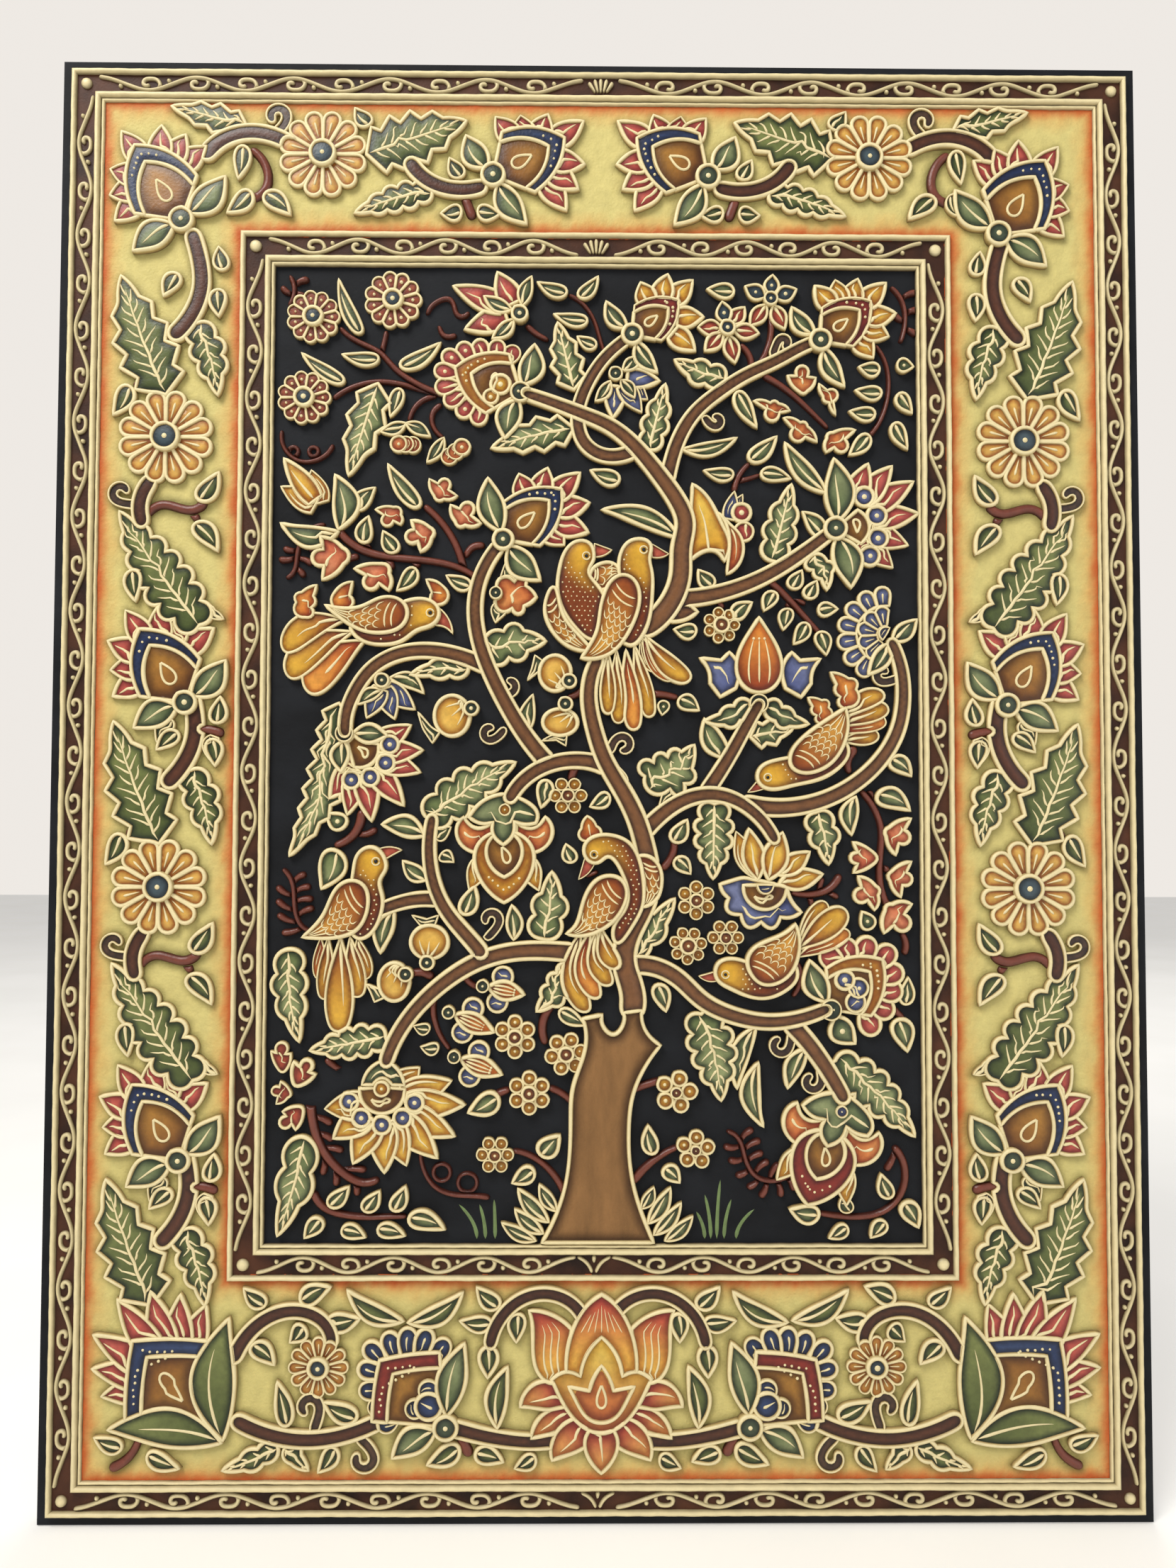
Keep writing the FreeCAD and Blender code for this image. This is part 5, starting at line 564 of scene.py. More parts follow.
def edge_distance(points: np.ndarray, loop: np.ndarray) -> np.ndarray:
    """Distance from each point to the nearest stretch of a closed loop.

    Args:
        points: Points, one per row.
        loop: The closed loop.

    Returns:
        The distances in mm.
    """
    ahead = np.roll(loop, -1, axis=0) - loop
    length = np.maximum((ahead ** 2).sum(axis=1), 1e-9)
    best = np.full(len(points), np.inf)
    for start in range(0, len(points), 1500):
        offset = points[start:start + 1500, None, :] - loop
        share = np.clip((offset * ahead).sum(axis=2) / length, 0, 1)
        offset -= share[:, :, None] * ahead
        best[start:start + 1500] = np.sqrt((offset ** 2).sum(axis=2)).min(axis=1)
    return best


def sides_of(path: np.ndarray, closed: bool) -> np.ndarray:
    """Unit vectors to the left of a path, averaged between its steps.

    Args:
        path: The points of the path.
        closed: Whether its end joins its start.

    Returns:
        One vector per point.
    """
    if closed:
        way = np.roll(path, -1, axis=0) - path
        way = way / (np.hypot(*way.T)[:, None] + 1e-9)
        way = way + np.roll(way, 1, axis=0)
    else:
        way = np.gradient(path, axis=0)
    way = way / (np.hypot(*way.T)[:, None] + 1e-9)
    return np.stack([-way[:, 1], way[:, 0]], axis=1)


@dataclass
class Web:
    """A piece's outline filled with triangles: points, triangles, and each point's inset from the edge."""

    points: np.ndarray
    triangles: np.ndarray
    inset: np.ndarray


def webbed(loop: np.ndarray, holes: list[np.ndarray], inner: np.ndarray, clear: float) -> Web:
    """Fill an outline with triangles through its edge and the points inside it.

    Args:
        loop: The evened outline.
        holes: Loops that stay open.
        inner: Candidate points; those outside, or nearer than clear to the edge, are dropped.
        clear: Least distance from the edge in mm.

    Returns:
        The web.
    """
    loops = [loop] + holes
    keep = inside(inner, loop) & (edge_distance(inner, loop) > clear)
    for hole in holes:
        keep &= ~inside(inner, hole) & (edge_distance(inner, hole) > clear)
    spots = np.concatenate(loops + [inner[keep]])
    edges, start = [], 0
    for ring in loops:
        here = np.arange(len(ring)) + start
        edges += np.stack([here, np.roll(here, -1)], axis=1).tolist()
        start += len(ring)
    out = delaunay_2d_cdt([Vector(p) for p in spots.tolist()], edges, [], 0, 1e-4)
    points = np.array([tuple(v) for v in out[0]])
    triangles = np.array(out[2])
    middle = points[triangles].mean(axis=1)
    good = inside(middle, loop)
    for hole in holes:
        good &= ~inside(middle, hole)
    triangles = triangles[good]
    a, b, c = points[triangles[:, 0]], points[triangles[:, 1]], points[triangles[:, 2]]
    turn = (b[:, 0] - a[:, 0]) * (c[:, 1] - a[:, 1]) - (b[:, 1] - a[:, 1]) * (c[:, 0] - a[:, 0])
    triangles[turn < 0] = triangles[turn < 0][:, ::-1]
    inset = np.min([edge_distance(points, ring) for ring in loops], axis=0)
    return Web(points, triangles, inset)


def grid_inside(loop: np.ndarray, step: float, random: np.random.Generator) -> np.ndarray:
    """Points of a slightly shaken triangular grid over a loop's box.

    Args:
        loop: The closed loop.
        step: Spacing of the grid in mm.
        random: The stream that shakes it.

    Returns:
        The points.
    """
    low, high = loop.min(axis=0), loop.max(axis=0)
    x, z = np.meshgrid(np.arange(low[0], high[0], step), np.arange(low[1], high[1], step * 0.87))
    x = x + (np.arange(x.shape[0])[:, None] % 2) * step / 2
    points = np.stack([x.ravel(), z.ravel()], axis=1)
    return points + random.uniform(-0.12, 0.12, points.shape) * step


@dataclass
class Spine:
    """The curved middle line of a piece from its root to its tip, with the half width on each side."""

    loop: np.ndarray
    towards: np.ndarray
    origin: np.ndarray = field(init=False)
    length: float = field(init=False)

    def __post_init__(self) -> None:
        """Split the outline at root and tip into two banks.

        Along the unit vector towards the tip, each bank's sideways offset is looked up at any
        share of the length; the middle line is their mean.
        """
        aside = np.array([-self.towards[1], self.towards[0]])
        middle = self.loop.mean(axis=0)
        along = (self.loop - middle) @ self.towards
        across = (self.loop - middle) @ aside
        self.origin = middle + self.towards * along.min()
        self.length = float(np.ptp(along))
        along = along - along.min()
        tip, count = int(along.argmax()), len(self.loop)
        order = (tip + np.arange(count + 1)) % count
        root = int(along[order].argmin())
        self.banks = []
        for bank in (order[:root + 1][::-1], order[root:]):
            rise = np.maximum.accumulate(along[bank])
            self.banks.append((rise + np.arange(len(rise)) * 1e-6, across[bank]))

    def spread(self, share: np.ndarray) -> tuple[np.ndarray, np.ndarray]:
        """Middle offset and half width at each share of the length.

        Args:
            share: Shares of the length.

        Returns:
            The offsets and the half widths.
        """
        at = np.asarray(share, float) * self.length
        one, two = (np.interp(at, rise, bank) for rise, bank in self.banks)
        return (one + two) / 2, np.abs(one - two) / 2

    def place(self, share: np.ndarray, across: np.ndarray) -> np.ndarray:
        """Points at shares of the length, and across from -1 on the right bank to 1 on the left.

        Args:
            share: Shares of the length.
            across: Places across.

        Returns:
            The points.
        """
        middle, half = self.spread(share)
        aside = np.array([-self.towards[1], self.towards[0]])
        offset = middle + half * np.asarray(across, float)
        along = np.outer(np.asarray(share, float) * self.length, self.towards)
        return self.origin + along + np.outer(offset, aside)

    def share_of(self, points: np.ndarray) -> np.ndarray:
        """Share of the length at which points lie."""
        return (points - self.origin) @ self.towards / self.length


def sharpest(loop: np.ndarray) -> np.ndarray:
    """The loop's point that is both sharp and far from its middle.

    Args:
        loop: The closed loop.

    Returns:
        That point.
    """
    wide = max(2, len(loop) // 14)
    one, two = np.roll(loop, wide, axis=0) - loop, np.roll(loop, -wide, axis=0) - loop
    cosine = (one * two).sum(axis=1) / (np.hypot(*one.T) * np.hypot(*two.T) + 1e-9)
    reach = np.hypot(*(loop - loop.mean(axis=0)).T)
    return loop[np.argmax((1.4 + cosine) * reach)]


def spine_to(loop: np.ndarray, tip: np.ndarray) -> Spine:
    """The spine that ends at a tip."""
    way = tip - loop.mean(axis=0)
    return Spine(loop, way / (np.hypot(*way) + 1e-9))


def spine_away(loop: np.ndarray, root: np.ndarray) -> Spine:
    """The spine that runs away from a root, such as a flower's middle."""
    reach = np.hypot(*(loop - root).T)
    return spine_to(loop, loop[reach.argmax()])


# ---------------------------------------------------------------- beads, strokes and dots
BEAD_ACROSS = np.array([-1.06, -1.0, -0.74, -0.26, 0.28, 0.76, 1.0])
# Colours across the bead are painted shade: dark brown at both feet, darker cream on the sides, cream on the
# crest.
BEAD_SHADED_TINT = np.stack([linear(c) for c in (CREAM_FOOT_SHADE, CREAM_SIDE_SHADE, *[CREAM] * 3, CREAM_SIDE_SHADE, CREAM_FOOT_SHADE)])
STROKE_ACROSS = np.array([-1.0, -0.62, 0.0, 0.62, 1.0])
STROKE_UP = np.array([-0.25, 0.74, 1.0, 0.74, -0.25])
# Colours across a stroke are painted shade: darker cream on both sides, cream along the crest.
STROKE_SHADED_TINT = np.stack([linear(c) for c in (CREAM_SIDE_SHADE, CREAM, CREAM, CREAM, CREAM_SIDE_SHADE)])


@dataclass
class Piping:
    """Tools that pipe clay: the bead round a piece, tapered strokes and dots on its paint."""

    random: np.random.Generator

    def waver(self, count: int, amount: float) -> np.ndarray:
        """A hand's unevenness along a closed run: three slow sines with chance phases.

        Args:
            count: Number of places.
            amount: Greatest share it adds or takes.

        Returns:
            One factor per place.
        """
        turn = np.linspace(0, 2 * math.pi, count, endpoint=False)
        waves = [np.sin(turn * wave + self.random.uniform(0, 6.28)) for wave in (2, 3, 5)]
        return 1 + amount * np.sum(waves, axis=0) / 3

    def bead(self, surface: Surface, loop: np.ndarray, half: float, floor: float, top: float,
             sink: float) -> None:
        """Carry a rounded bead along a closed outline.

        The profile climbs from the floor outside, over the crest, and down to the paint inside.

        Args:
            surface: Takes the bead.
            loop: The outline, which the bead's middle follows.
            half: Half of the bead's width.
            floor: Height of what the piece stands on.
            top: Height of the crest.
            sink: How far the paint lies below the crest.
        """
        half_here = half * self.waver(len(loop), 0.12)
        crest = top + (self.waver(len(loop), 0.5) - 1) * 0.16
        left = sides_of(loop, True)
        across = half_here[:, None] * BEAD_ACROSS
        heights = np.stack([np.full(len(loop), floor - 0.05), floor + (crest - floor) * 0.6,
                            crest - 0.3 * half, crest, crest - 0.01, crest - 0.36 * half,
                            crest - sink - 0.15], axis=1)
        flat = loop[:, None, :] + across[:, :, None] * left[:, None, :]
        # Painted shade across the bead: dark brown at both feet, darker cream on the sides, cream on the crest.
        surface.sheet(np.concatenate([flat, heights[:, :, None]], axis=2), BEAD_SHADED_TINT, closed=True)

    def stroke(self, surface: Surface, path: np.ndarray, widths: np.ndarray, height: float, rise: float,
               tint: np.ndarray = STROKE_SHADED_TINT) -> None:
        """Carry a half-round ridge along an open path; it closes at both ends.

        Args:
            surface: Takes the stroke.
            path: The stroke's middle line.
            widths: Full width at each point.
            height: Height of the paint it lies on.
            rise: How far it stands up at its widest.
            tint: One colour, or one per column; by default cream with painted shade on both sides.
        """
        half = np.asarray(widths, float) / 2
        half[0] = half[-1] = 0.02
        left = sides_of(path, False)
        flat = path[:, None, :] + (half[:, None] * STROKE_ACROSS)[:, :, None] * left[:, None, :]
        up = height + (half / half.max())[:, None] ** 0.5 * rise * STROKE_UP
        surface.sheet(np.concatenate([flat, up[:, :, None]], axis=2), tint)

    def dots(self, surface: Surface, spots: np.ndarray, radius: float, height: float, rise: float,
             tint: np.ndarray | None = None) -> None:
        """Set small domes on spots: two rings of eight points and a crown each.

        Args:
            surface: Takes the dots.
            spots: Their middles.
            radius: Their radius.
            height: Height of what they lie on.
            rise: How far they stand up.
            tint: One colour; cream if left out.
        """
        turn = np.linspace(0, 2 * math.pi, 8, endpoint=False)
        ring = np.stack([np.cos(turn), np.sin(turn)], axis=1)
        flat = np.concatenate([ring, ring * 0.7, [[0, 0]]])
        up = np.concatenate([np.full(8, -0.2), np.full(8, 0.72), [1.0]])
        ahead = (np.arange(8) + 1) % 8
        here = np.arange(8)
        lower = np.stack([here, ahead, ahead + 8], axis=1)
        upper = np.stack([here, ahead + 8, here + 8], axis=1)
        crown = np.stack([here + 8, ahead + 8, np.full(8, 16)], axis=1)
        faces = np.concatenate([lower, upper, crown])
        sizes = radius * self.random.uniform(0.85, 1.12, len(spots))
        for spot, size in zip(spots, sizes):
            points = np.column_stack([spot + flat * size, height + up * rise])
            surface.take(points, faces, linear(CREAM) if tint is None else tint)


def tapered(count: int, start: float, end: float) -> np.ndarray:
    """Widths that change evenly along a stroke, rounded off at its ends by the root of a sine.

    Args:
        count: Number of places.
        start: Width at the root.
        end: Width at the tip.

    Returns:
        One width per place.
    """
    share = np.linspace(0, 1, count)
    rounding = np.sqrt(np.sin(np.pi * np.clip(share, 0.02, 0.98))) * 1.4
    return (start + (end - start) * share) * np.clip(rounding, 0, 1)


class Mark(Enum):
    """What is piped on a piece's paint."""

    NONE = "none"
    VEIN = "vein"
    RIB = "rib with side veins"
    DROP = "drop"
    DOT = "dot"
    STRIPES = "stripes"
    LOOP = "loop"
    BEADS = "row of beads"
    RAYS = "rays from the root"
    FINE = "fine stripes"
    STREAMS = "long streams from the root"


@dataclass(frozen=True)
class Fan:
    """Strokes side by side: from root, over reach, at places across that gather towards the tip."""

    across: tuple[float, ...]
    root: float
    reach: float
    gather: tuple[float, float]
    thick: float
    thin: float
    rise: float = 0.6
    shorter_outside: float = 0.0
    count: int = 11

    def pipe(self, piping: Piping, part: Surface, spine: Spine, height: float) -> list[np.ndarray]:
        """Pipe the strokes.

        Args:
            piping: The tools.
            part: Takes the strokes.
            spine: The piece's direction.
            height: Height of the paint.

        Returns:
            The middle line of each stroke.
        """
        share = np.linspace(0, 1, self.count)
        paths = []
        for aside in self.across:
            reach = self.reach - self.shorter_outside * abs(aside)
            path = spine.place(self.root + reach * share, aside * (self.gather[0] + self.gather[1] * share))
            piping.stroke(part, path, tapered(self.count, self.thick, self.thin), height, self.rise)
            paths.append(path)
        return paths


FANS = {
    Mark.STRIPES: Fan((-0.5, 0.0, 0.5), 0.12, 0.6, (1.0, -0.2), 1.2, 0.7),
    Mark.FINE: Fan(tuple(np.linspace(-0.7, 0.7, 7)), 0.53, 0.35, (1.0, -0.3), 0.7, 0.3, 0.4, 0.16),
    Mark.STREAMS: Fan((-0.5, 0.0, 0.5), 0.05, 0.75, (0.9, -0.2), 1.3, 0.5),
    Mark.RAYS: Fan((-0.56, 0.0, 0.56), 0.04, 0.5, (0.45, 0.55), 1.5, 0.5),
}
WING_TIP = Fan((-0.45, 0.0, 0.45), 0.68, 0.24, (1.0, -0.25), 0.85, 0.4, 0.45, count=9)


@dataclass(frozen=True)
class Kind:
    """How one kind of clay piece is painted and piped."""

    paint: Paint
    mark: Mark
    slot: str
    round_mark: Mark = Mark.DOT


@dataclass
class Modeller:
    """Lays the hollow, bead and marks of single clay pieces."""

    piping: Piping
    marks: Beadwork
    thinnest_bead: float = 0.42
    widest_bead: float = 0.95
    sink: float = 0.75

    def hollow(self, surface: Surface, outline: Outline, paint: Paint, spine: Spine) -> float:
        """Fill a piece with its painted hollow: low at the bead, a little crowned in the middle.

        Args:
            surface: Takes the hollow.
            outline: The piece.
            paint: Its wash.
            spine: Its direction.

        Returns:
            Half of the piece's width at its widest.
        """
        def look(web: Web) -> tuple[np.ndarray, np.ndarray]:
            """A smooth step crowns the middle, and the wash follows inset and length.

            Args:
                web: The filled outline.

            Returns:
                The heights and the tones of its points.
            """
            crown = np.clip(web.inset / 4.0, 0, 1)
            under_bead = self.bead_half(float(web.inset.max())) * 0.9
            return (outline.top - self.sink + 0.34 * crown * crown * (3 - 2 * crown),
                    paint.tint(web.inset - under_bead, spine.share_of(web.points)))

        loop = evened(outline.loop, EDGE_STEP)
        return float(self.lay(surface, [loop], FILL_STEP, FILL_STEP * 0.45, look).inset.max())

    def lay(self, surface: Surface, loops: list[np.ndarray], step: float, clear: float,
            look: Callable[[Web], tuple[np.ndarray, np.ndarray]]) -> Web:
        """Fill an evened outline with a shaken grid, at the heights and in the tones that look gives.

        Args:
            surface: Takes the web.
            loops: The outline, then its holes.
            step: Spacing of the grid.
            clear: Least distance of its points from the edge.
            look: Gives a web's heights and tones.

        Returns:
            The web.
        """
        web = webbed(loops[0], loops[1:], grid_inside(loops[0], step, self.piping.random), clear)
        height, tint = look(web)
        surface.take(np.column_stack([web.points, height]), web.triangles, tint)
        return web

    def bead_half(self, widest: float) -> float:
        """Half width of the bead that suits a piece of that half width."""
        return float(np.clip(0.28 * widest, self.thinnest_bead, self.widest_bead))

    def edge(self, outline: Outline, widest: float, floor: float, finest: float = 1.0) -> None:
        """Pipe the bead round a piece.

        Args:
            outline: The piece.
            widest: Half of its width.
            floor: Height that it stands on.
            finest: Share that narrows the bead.
        """
        half = self.bead_half(widest) * finest
        loop = evened(outline.loop, EDGE_STEP if half > 0.7 else 0.95)
        self.piping.bead(self.marks.part(), loop, half, floor, outline.top, self.sink)

    def mark(self, outline: Outline, mark: Mark, spine: Spine, widest: float) -> None:
        """Pipe a piece's mark on its paint.

        Args:
            outline: The piece.
            mark: Which mark.
            spine: The piece's direction.
            widest: Half of its width.
        """
        height = outline.top - self.sink + 0.18
        part, pipe = self.marks.part(), self.piping
        broad = min(widest, 4.5)
        share = np.linspace(0, 1, 11)
        if mark is Mark.VEIN:
            bow = pipe.random.uniform(-0.12, 0.12)
            path = spine.place(0.05 + 0.7 * share, bow + 0.22 * share)
            thick = float(np.clip(0.6 * broad + 0.3, 0.7, 1.9))
            pipe.stroke(part, path, tapered(11, thick, 0.5), height, 0.6)
        elif mark is Mark.RIB:
            self.rib(spine, height)
        elif mark is Mark.DROP:
            path = spine.place(0.16 + 0.52 * share, 0.0 * share)
            pipe.stroke(part, path, tapered(11, 0.24, 0.44 * broad), height, 0.5)
        elif mark is Mark.DOT:
            pipe.dots(part, outline.place[None, :], min(0.34 * broad, 1.25), height, 0.6)
        elif mark in FANS:
            paths = FANS[mark].pipe(pipe, part, spine, height)
            for path in paths if mark is Mark.STRIPES else []:
                pipe.dots(part, path[-1:], 0.62 if broad > 3.6 else 0.4, height, 0.6)
        elif mark is Mark.LOOP:
            turn = np.linspace(0, 2 * math.pi, 25)
            aside = np.array([-spine.towards[1], spine.towards[0]])
            bulge = min(0.38 * widest, 4.2) * np.sin(turn) * np.sin(turn / 2) ** 1.2
            path = spine.place(0.46 + 0.2 * np.cos(turn), 0 * turn) + np.outer(bulge, aside)
            pipe.stroke(part, path, np.full(25, 1.3), height, 0.7)
        elif mark is Mark.BEADS:
            self.row_of_beads(outline, widest, height)

    def rib(self, spine: Spine, height: float) -> None:
        """A middle rib and pairs of tapered side veins, each over half of the half width.

        Args:
            spine: The leaf's direction.
            height: Height of the paint.
        """
        part, pipe = self.marks.part(), self.piping
        share = np.linspace(0, 1, 15)
        pipe.stroke(part, spine.place(0.03 + 0.86 * share, 0 * share), tapered(15, 2.0, 0.7), height, 0.7)
        pairs = int(np.clip(round(spine.length / 5.6), 2, 9))
        short = np.linspace(0, 1, 7)
        for number in range(pairs):
            root = 0.12 + 0.68 * number / max(1, pairs - 1)
            for side in (-1, 1):
                start = root + 0.03 * side
                path = spine.place(start + 0.11 * short, side * (0.04 + 0.58 * short))
                pipe.stroke(part, path, tapered(7, 1.5, 0.4), height, 0.6)

    def row_of_beads(self, outline: Outline, widest: float, height: float) -> None:
        """Dots along the middle of a band: the deepest points, sorted round the band and evened.

        Args:
            outline: The band.
            widest: Half of its width.
            height: Height of the paint.
        """
        loop = evened(outline.loop, EDGE_STEP)
        spots = grid_inside(loop, 0.8, self.piping.random)
        spots = spots[inside(spots, loop)]
        inset = edge_distance(spots, loop)
        deep = spots[inset > 0.72 * widest]
        centre = deep.mean(axis=0)
        farthest = outline.loop[np.hypot(*(outline.loop - centre).T).argmax()]
        hub = centre * 1.9 - farthest * 0.9
        angle = np.arctan2(*(deep - hub).T[::-1])
        angle = (angle - np.angle(np.exp(1j * angle).mean()) + math.pi) % (2 * math.pi)
        bins = np.round((angle - angle.min()) / max(np.ptp(angle), 1e-6) * 26).astype(int)
        line = np.array([deep[bins == b].mean(axis=0) for b in range(27) if (bins == b).any()])
        gone = np.concatenate([[0], np.cumsum(np.hypot(*np.diff(line, axis=0).T))])
        count = max(2, int(gone[-1] / 3.0))
        at = np.linspace(0.04, 0.96, count) * gone[-1]
        row = np.stack([np.interp(at, gone, line[:, 0]), np.interp(at, gone, line[:, 1])], axis=1)
        self.piping.dots(self.marks.part(), row, 0.62, height, 0.55)

    def ridge(self, surface: Surface, outline: Outline, paint: Paint | None, floor: float, step: float = 0.9,
              spread: float = 0.0) -> None:
        """A piece with no bead, rounded over from edge to edge like a quarter of an ellipse.

        Args:
            surface: Takes the ridge.
            outline: The piece.
            paint: Its wash, or, if left out, cream with painted shade that darkens towards the foot.
            floor: Height that it stands on.
            step: Spacing along the outline.
            spread: How far the clay spreads past the outline.
        """
        loop = evened(outline.loop, step, 40.0)
        loop = loop - sides_of(loop, True) * spread
        holes = [evened(hole, step) for hole in outline.holes if len(hole) > 5]
        left = sides_of(loop, True)
        widest = min(2.0, spread + 2.2 * outline.area / np.hypot(*(loop - np.roll(loop, 1, axis=0)).T).sum())
        rings = [loop + left * widest * share for share in (0.14, 0.45, 0.92)]
        for hole in holes:
            rings += [hole + sides_of(hole, True) * widest * share for share in (0.14, 0.45)]
        web = webbed(loop, holes, np.concatenate(rings), widest * 0.1)
        lift = np.sqrt(np.clip(1 - (1 - np.clip(web.inset / widest, 0, 1)) ** 2, 0, 1))
        height = floor - 0.03 + (outline.top - floor) * lift
        if paint:
            tint = paint.tint(web.inset, np.zeros(len(web.inset)))
        else:
            # Painted shade: dark brown at the ridge's foot, rising to cream on its crest.
            tint = linear(CREAM_FOOT_SHADE) * (1 - lift[:, None]) + linear(CREAM) * lift[:, None]
        surface.take(np.column_stack([web.points, height]), web.triangles, tint)


# ---------------------------------------------------------------- sub-assemblies
def make_random(name: str) -> np.random.Generator:
    """A chance stream of its own for each piece, the same on every run."""
    return np.random.default_rng(sum(ord(letter) * (place + 7) for place, letter in enumerate(name)))


def middles(*nodes: str) -> np.ndarray:
    """Middles of all the pieces of some nodes."""
    return np.array([outline.place for node in nodes for outline in OUTLINES[node]])


def nearest(spot: np.ndarray, others: np.ndarray) -> tuple[np.ndarray, float]:
    """The nearest of some spots, and how far it is."""
    reach = np.hypot(*(others - spot).T)
    return others[reach.argmin()], float(reach.min())


@dataclass
class Clay:
    """The pieces of one CAD node: hollows in one painted piece, beads and marks in the shared beadwork."""

    node: str
    kind: Kind
    beadwork: Beadwork
    floor: float = 0.0
    hubs: tuple[str, ...] = ()
    finest: float = 1.0

    def direction(self, outline: Outline) -> Spine:
        """Root to tip: away from the flower's middle for petals, to the sharp point for leaves.

        Args:
            outline: The piece.

        Returns:
            Its spine.
        """
        loop = evened(outline.loop, FINE_STEP)
        if self.hubs:
            hub, reach = nearest(outline.place, middles(*self.hubs))
            if reach < HUB_REACH:
                return spine_away(loop, hub)
        return spine_to(loop, sharpest(loop))

    def choose(self, outline: Outline) -> tuple[Paint, Mark]:
        """Paint and mark of one piece; round pieces get their own mark.

        Args:
            outline: The piece.

        Returns:
            Its paint and its mark.
        """
        return self.kind.paint, self.kind.round_mark if outline.is_round else self.kind.mark

    def build(self) -> None:
        """Build and dress every piece of the node."""
        surface = Surface(f"{self.node}_paint")
        modeller = Modeller(Piping(make_random(self.node)), self.beadwork)
        for outline in OUTLINES[self.node]:
            paint, mark = self.choose(outline)
            spine = self.direction(outline)
            widest = modeller.hollow(surface, outline, paint, spine)
            modeller.edge(outline, widest, self.floor, self.finest)
            modeller.mark(outline, mark, spine, widest)
        surface.build(HOLLOW_FINISH, self.kind.slot, (self.node,))


@dataclass
class FieldFlowers(Clay):
    """Flower pieces of the tree, whose colours change from flower to flower."""

    def choose(self, outline: Outline) -> tuple[Paint, Mark]:
        """Pick the paint by where the flower grows.

        Args:
            outline: The piece.

        Returns:
            Its paint and its mark.
        """
        x, z = outline.place
        paint, mark = super().choose(outline)
        if self.node == "bells":
            if x < -100 and z < -90:
                return BRICK, mark
            if 60 < x < 112 and 130 < z < 180:
                return ORANGE, mark
        if self.node == "flower_bands":
            if math.hypot(x + 40.5, z - 100) < 24:
                return NAVY, Mark.BEADS
            for spot in ((-33.5, 162.5, 24), (96, -95.6, 24), (-39.4, -30, 22), (116, -155, 26)):
                if math.hypot(x - spot[0], z - spot[1]) < spot[2]:
                    return GOLD_HEART, Mark.BEADS
        if self.node == "small_hearts":
            return (OCHRE if x < 0 else SLATE), mark
        if self.node == "flower_centres" and nearest(outline.place, middles("red_daisies"))[1] < 9:
            return CENTRE, Mark.DOT
        if self.node == "star_flowers" and outline.is_round:
            return CENTRE, Mark.DOT
        return paint, mark


@dataclass
class MarginFlowers(Clay):
    """Bands and hearts of the margin's flowers; the blue flower has a brick band and a red heart."""

    def choose(self, outline: Outline) -> tuple[Paint, Mark]:
        """Pick the paint by where the flower grows.

        Args:
            outline: The piece.

        Returns:
            Its paint and its mark.
        """
        x, z = outline.place
        paint, mark = super().choose(outline)
        if 52 < abs(x - 1) < 100 and z < -225:
            return (BAND_RED, mark) if self.node == "margin_lotus_bands" else (HEART, Mark.NONE)
        return paint, mark


@dataclass
class CentreLotus(Clay):
    """The big lotus in the middle of the bottom margin: two cups, crown petals and a skirt."""

    middle_x: float = 1.4
    skirt_root: float = -250.0
    skirt_top: float = -249.0
    side_top: float = -244.0
    inner_cup_area: float = 330.0

    def is_middle(self, outline: Outline) -> bool:
        """Whether a piece stands on the lotus's middle line, above the skirt."""
        return bool(outline.place[1] > self.skirt_top and abs(outline.place[0] - self.middle_x) < 10)

    def direction(self, outline: Outline) -> Spine:
        """Cups and crown point up; the skirt's petals point away from the cups.

        Args:
            outline: The piece.

        Returns:
            Its spine.
        """
        loop = evened(outline.loop, FINE_STEP)
        if self.is_middle(outline) or self.node == "margin_yellow_petals":
            return Spine(loop, np.array([0.0, 1.0]))
        if outline.place[1] > self.side_top:
            return Spine(loop, np.array([math.copysign(0.2, outline.place[0]), 0.98]))
        return spine_away(loop, np.array([self.middle_x, self.skirt_root]))

    def choose(self, outline: Outline) -> tuple[Paint, Mark]:
        """Pick the paint by which tier the piece is in.

        Args:
            outline: The piece.

        Returns:
            Its paint and its mark.
        """
        if self.node == "margin_yellow_petals" and outline.area < self.inner_cup_area:
            return INNER_CUP, Mark.LOOP
        if self.node == "margin_red_petals" and outline.place[1] > self.skirt_top:
            return CROWN, (Mark.FINE if self.is_middle(outline) else Mark.STREAMS)
        return self.kind.paint, self.kind.mark


@dataclass
class Channels(Clay):
    """Branches and stems: a brown channel between two cream beads, holes kept open."""

    grid_step: float = 1.6
    clear: float = 0.8

    def build(self) -> None:
        """Lay the channel's floor, then a bead along every edge, the holes' edges too."""
        surface = Surface(f"{self.node}_paint")
        modeller = Modeller(Piping(make_random(self.node)), self.beadwork)
        for outline in OUTLINES[self.node]:
            paint_height = outline.top - modeller.sink

            def look(web: Web) -> tuple[np.ndarray, np.ndarray]:
                """The square of the inset crowns the middle, in one wash all along."""
                return (paint_height + 0.9 * np.clip(web.inset / 5.0, 0, 1) ** 2,
                        self.kind.paint.tint(web.inset - 0.5, np.zeros(len(web.inset))))

            loops = [evened(outline.loop, BRANCH_STEP)]
            loops += [evened(hole, BRANCH_STEP) for hole in outline.holes if len(hole) > 3]
            web = modeller.lay(surface, loops, self.grid_step, self.clear, look)
            half = modeller.bead_half(float(web.inset.max())) * self.finest
            for ring in loops:
                modeller.piping.bead(self.beadwork.part(), ring, half, self.floor, outline.top, modeller.sink)
        finish = TRUNK_FINISH if self.node == "tree_trunk" else HOLLOW_FINISH
        surface.build(finish, self.kind.slot, (self.node,))


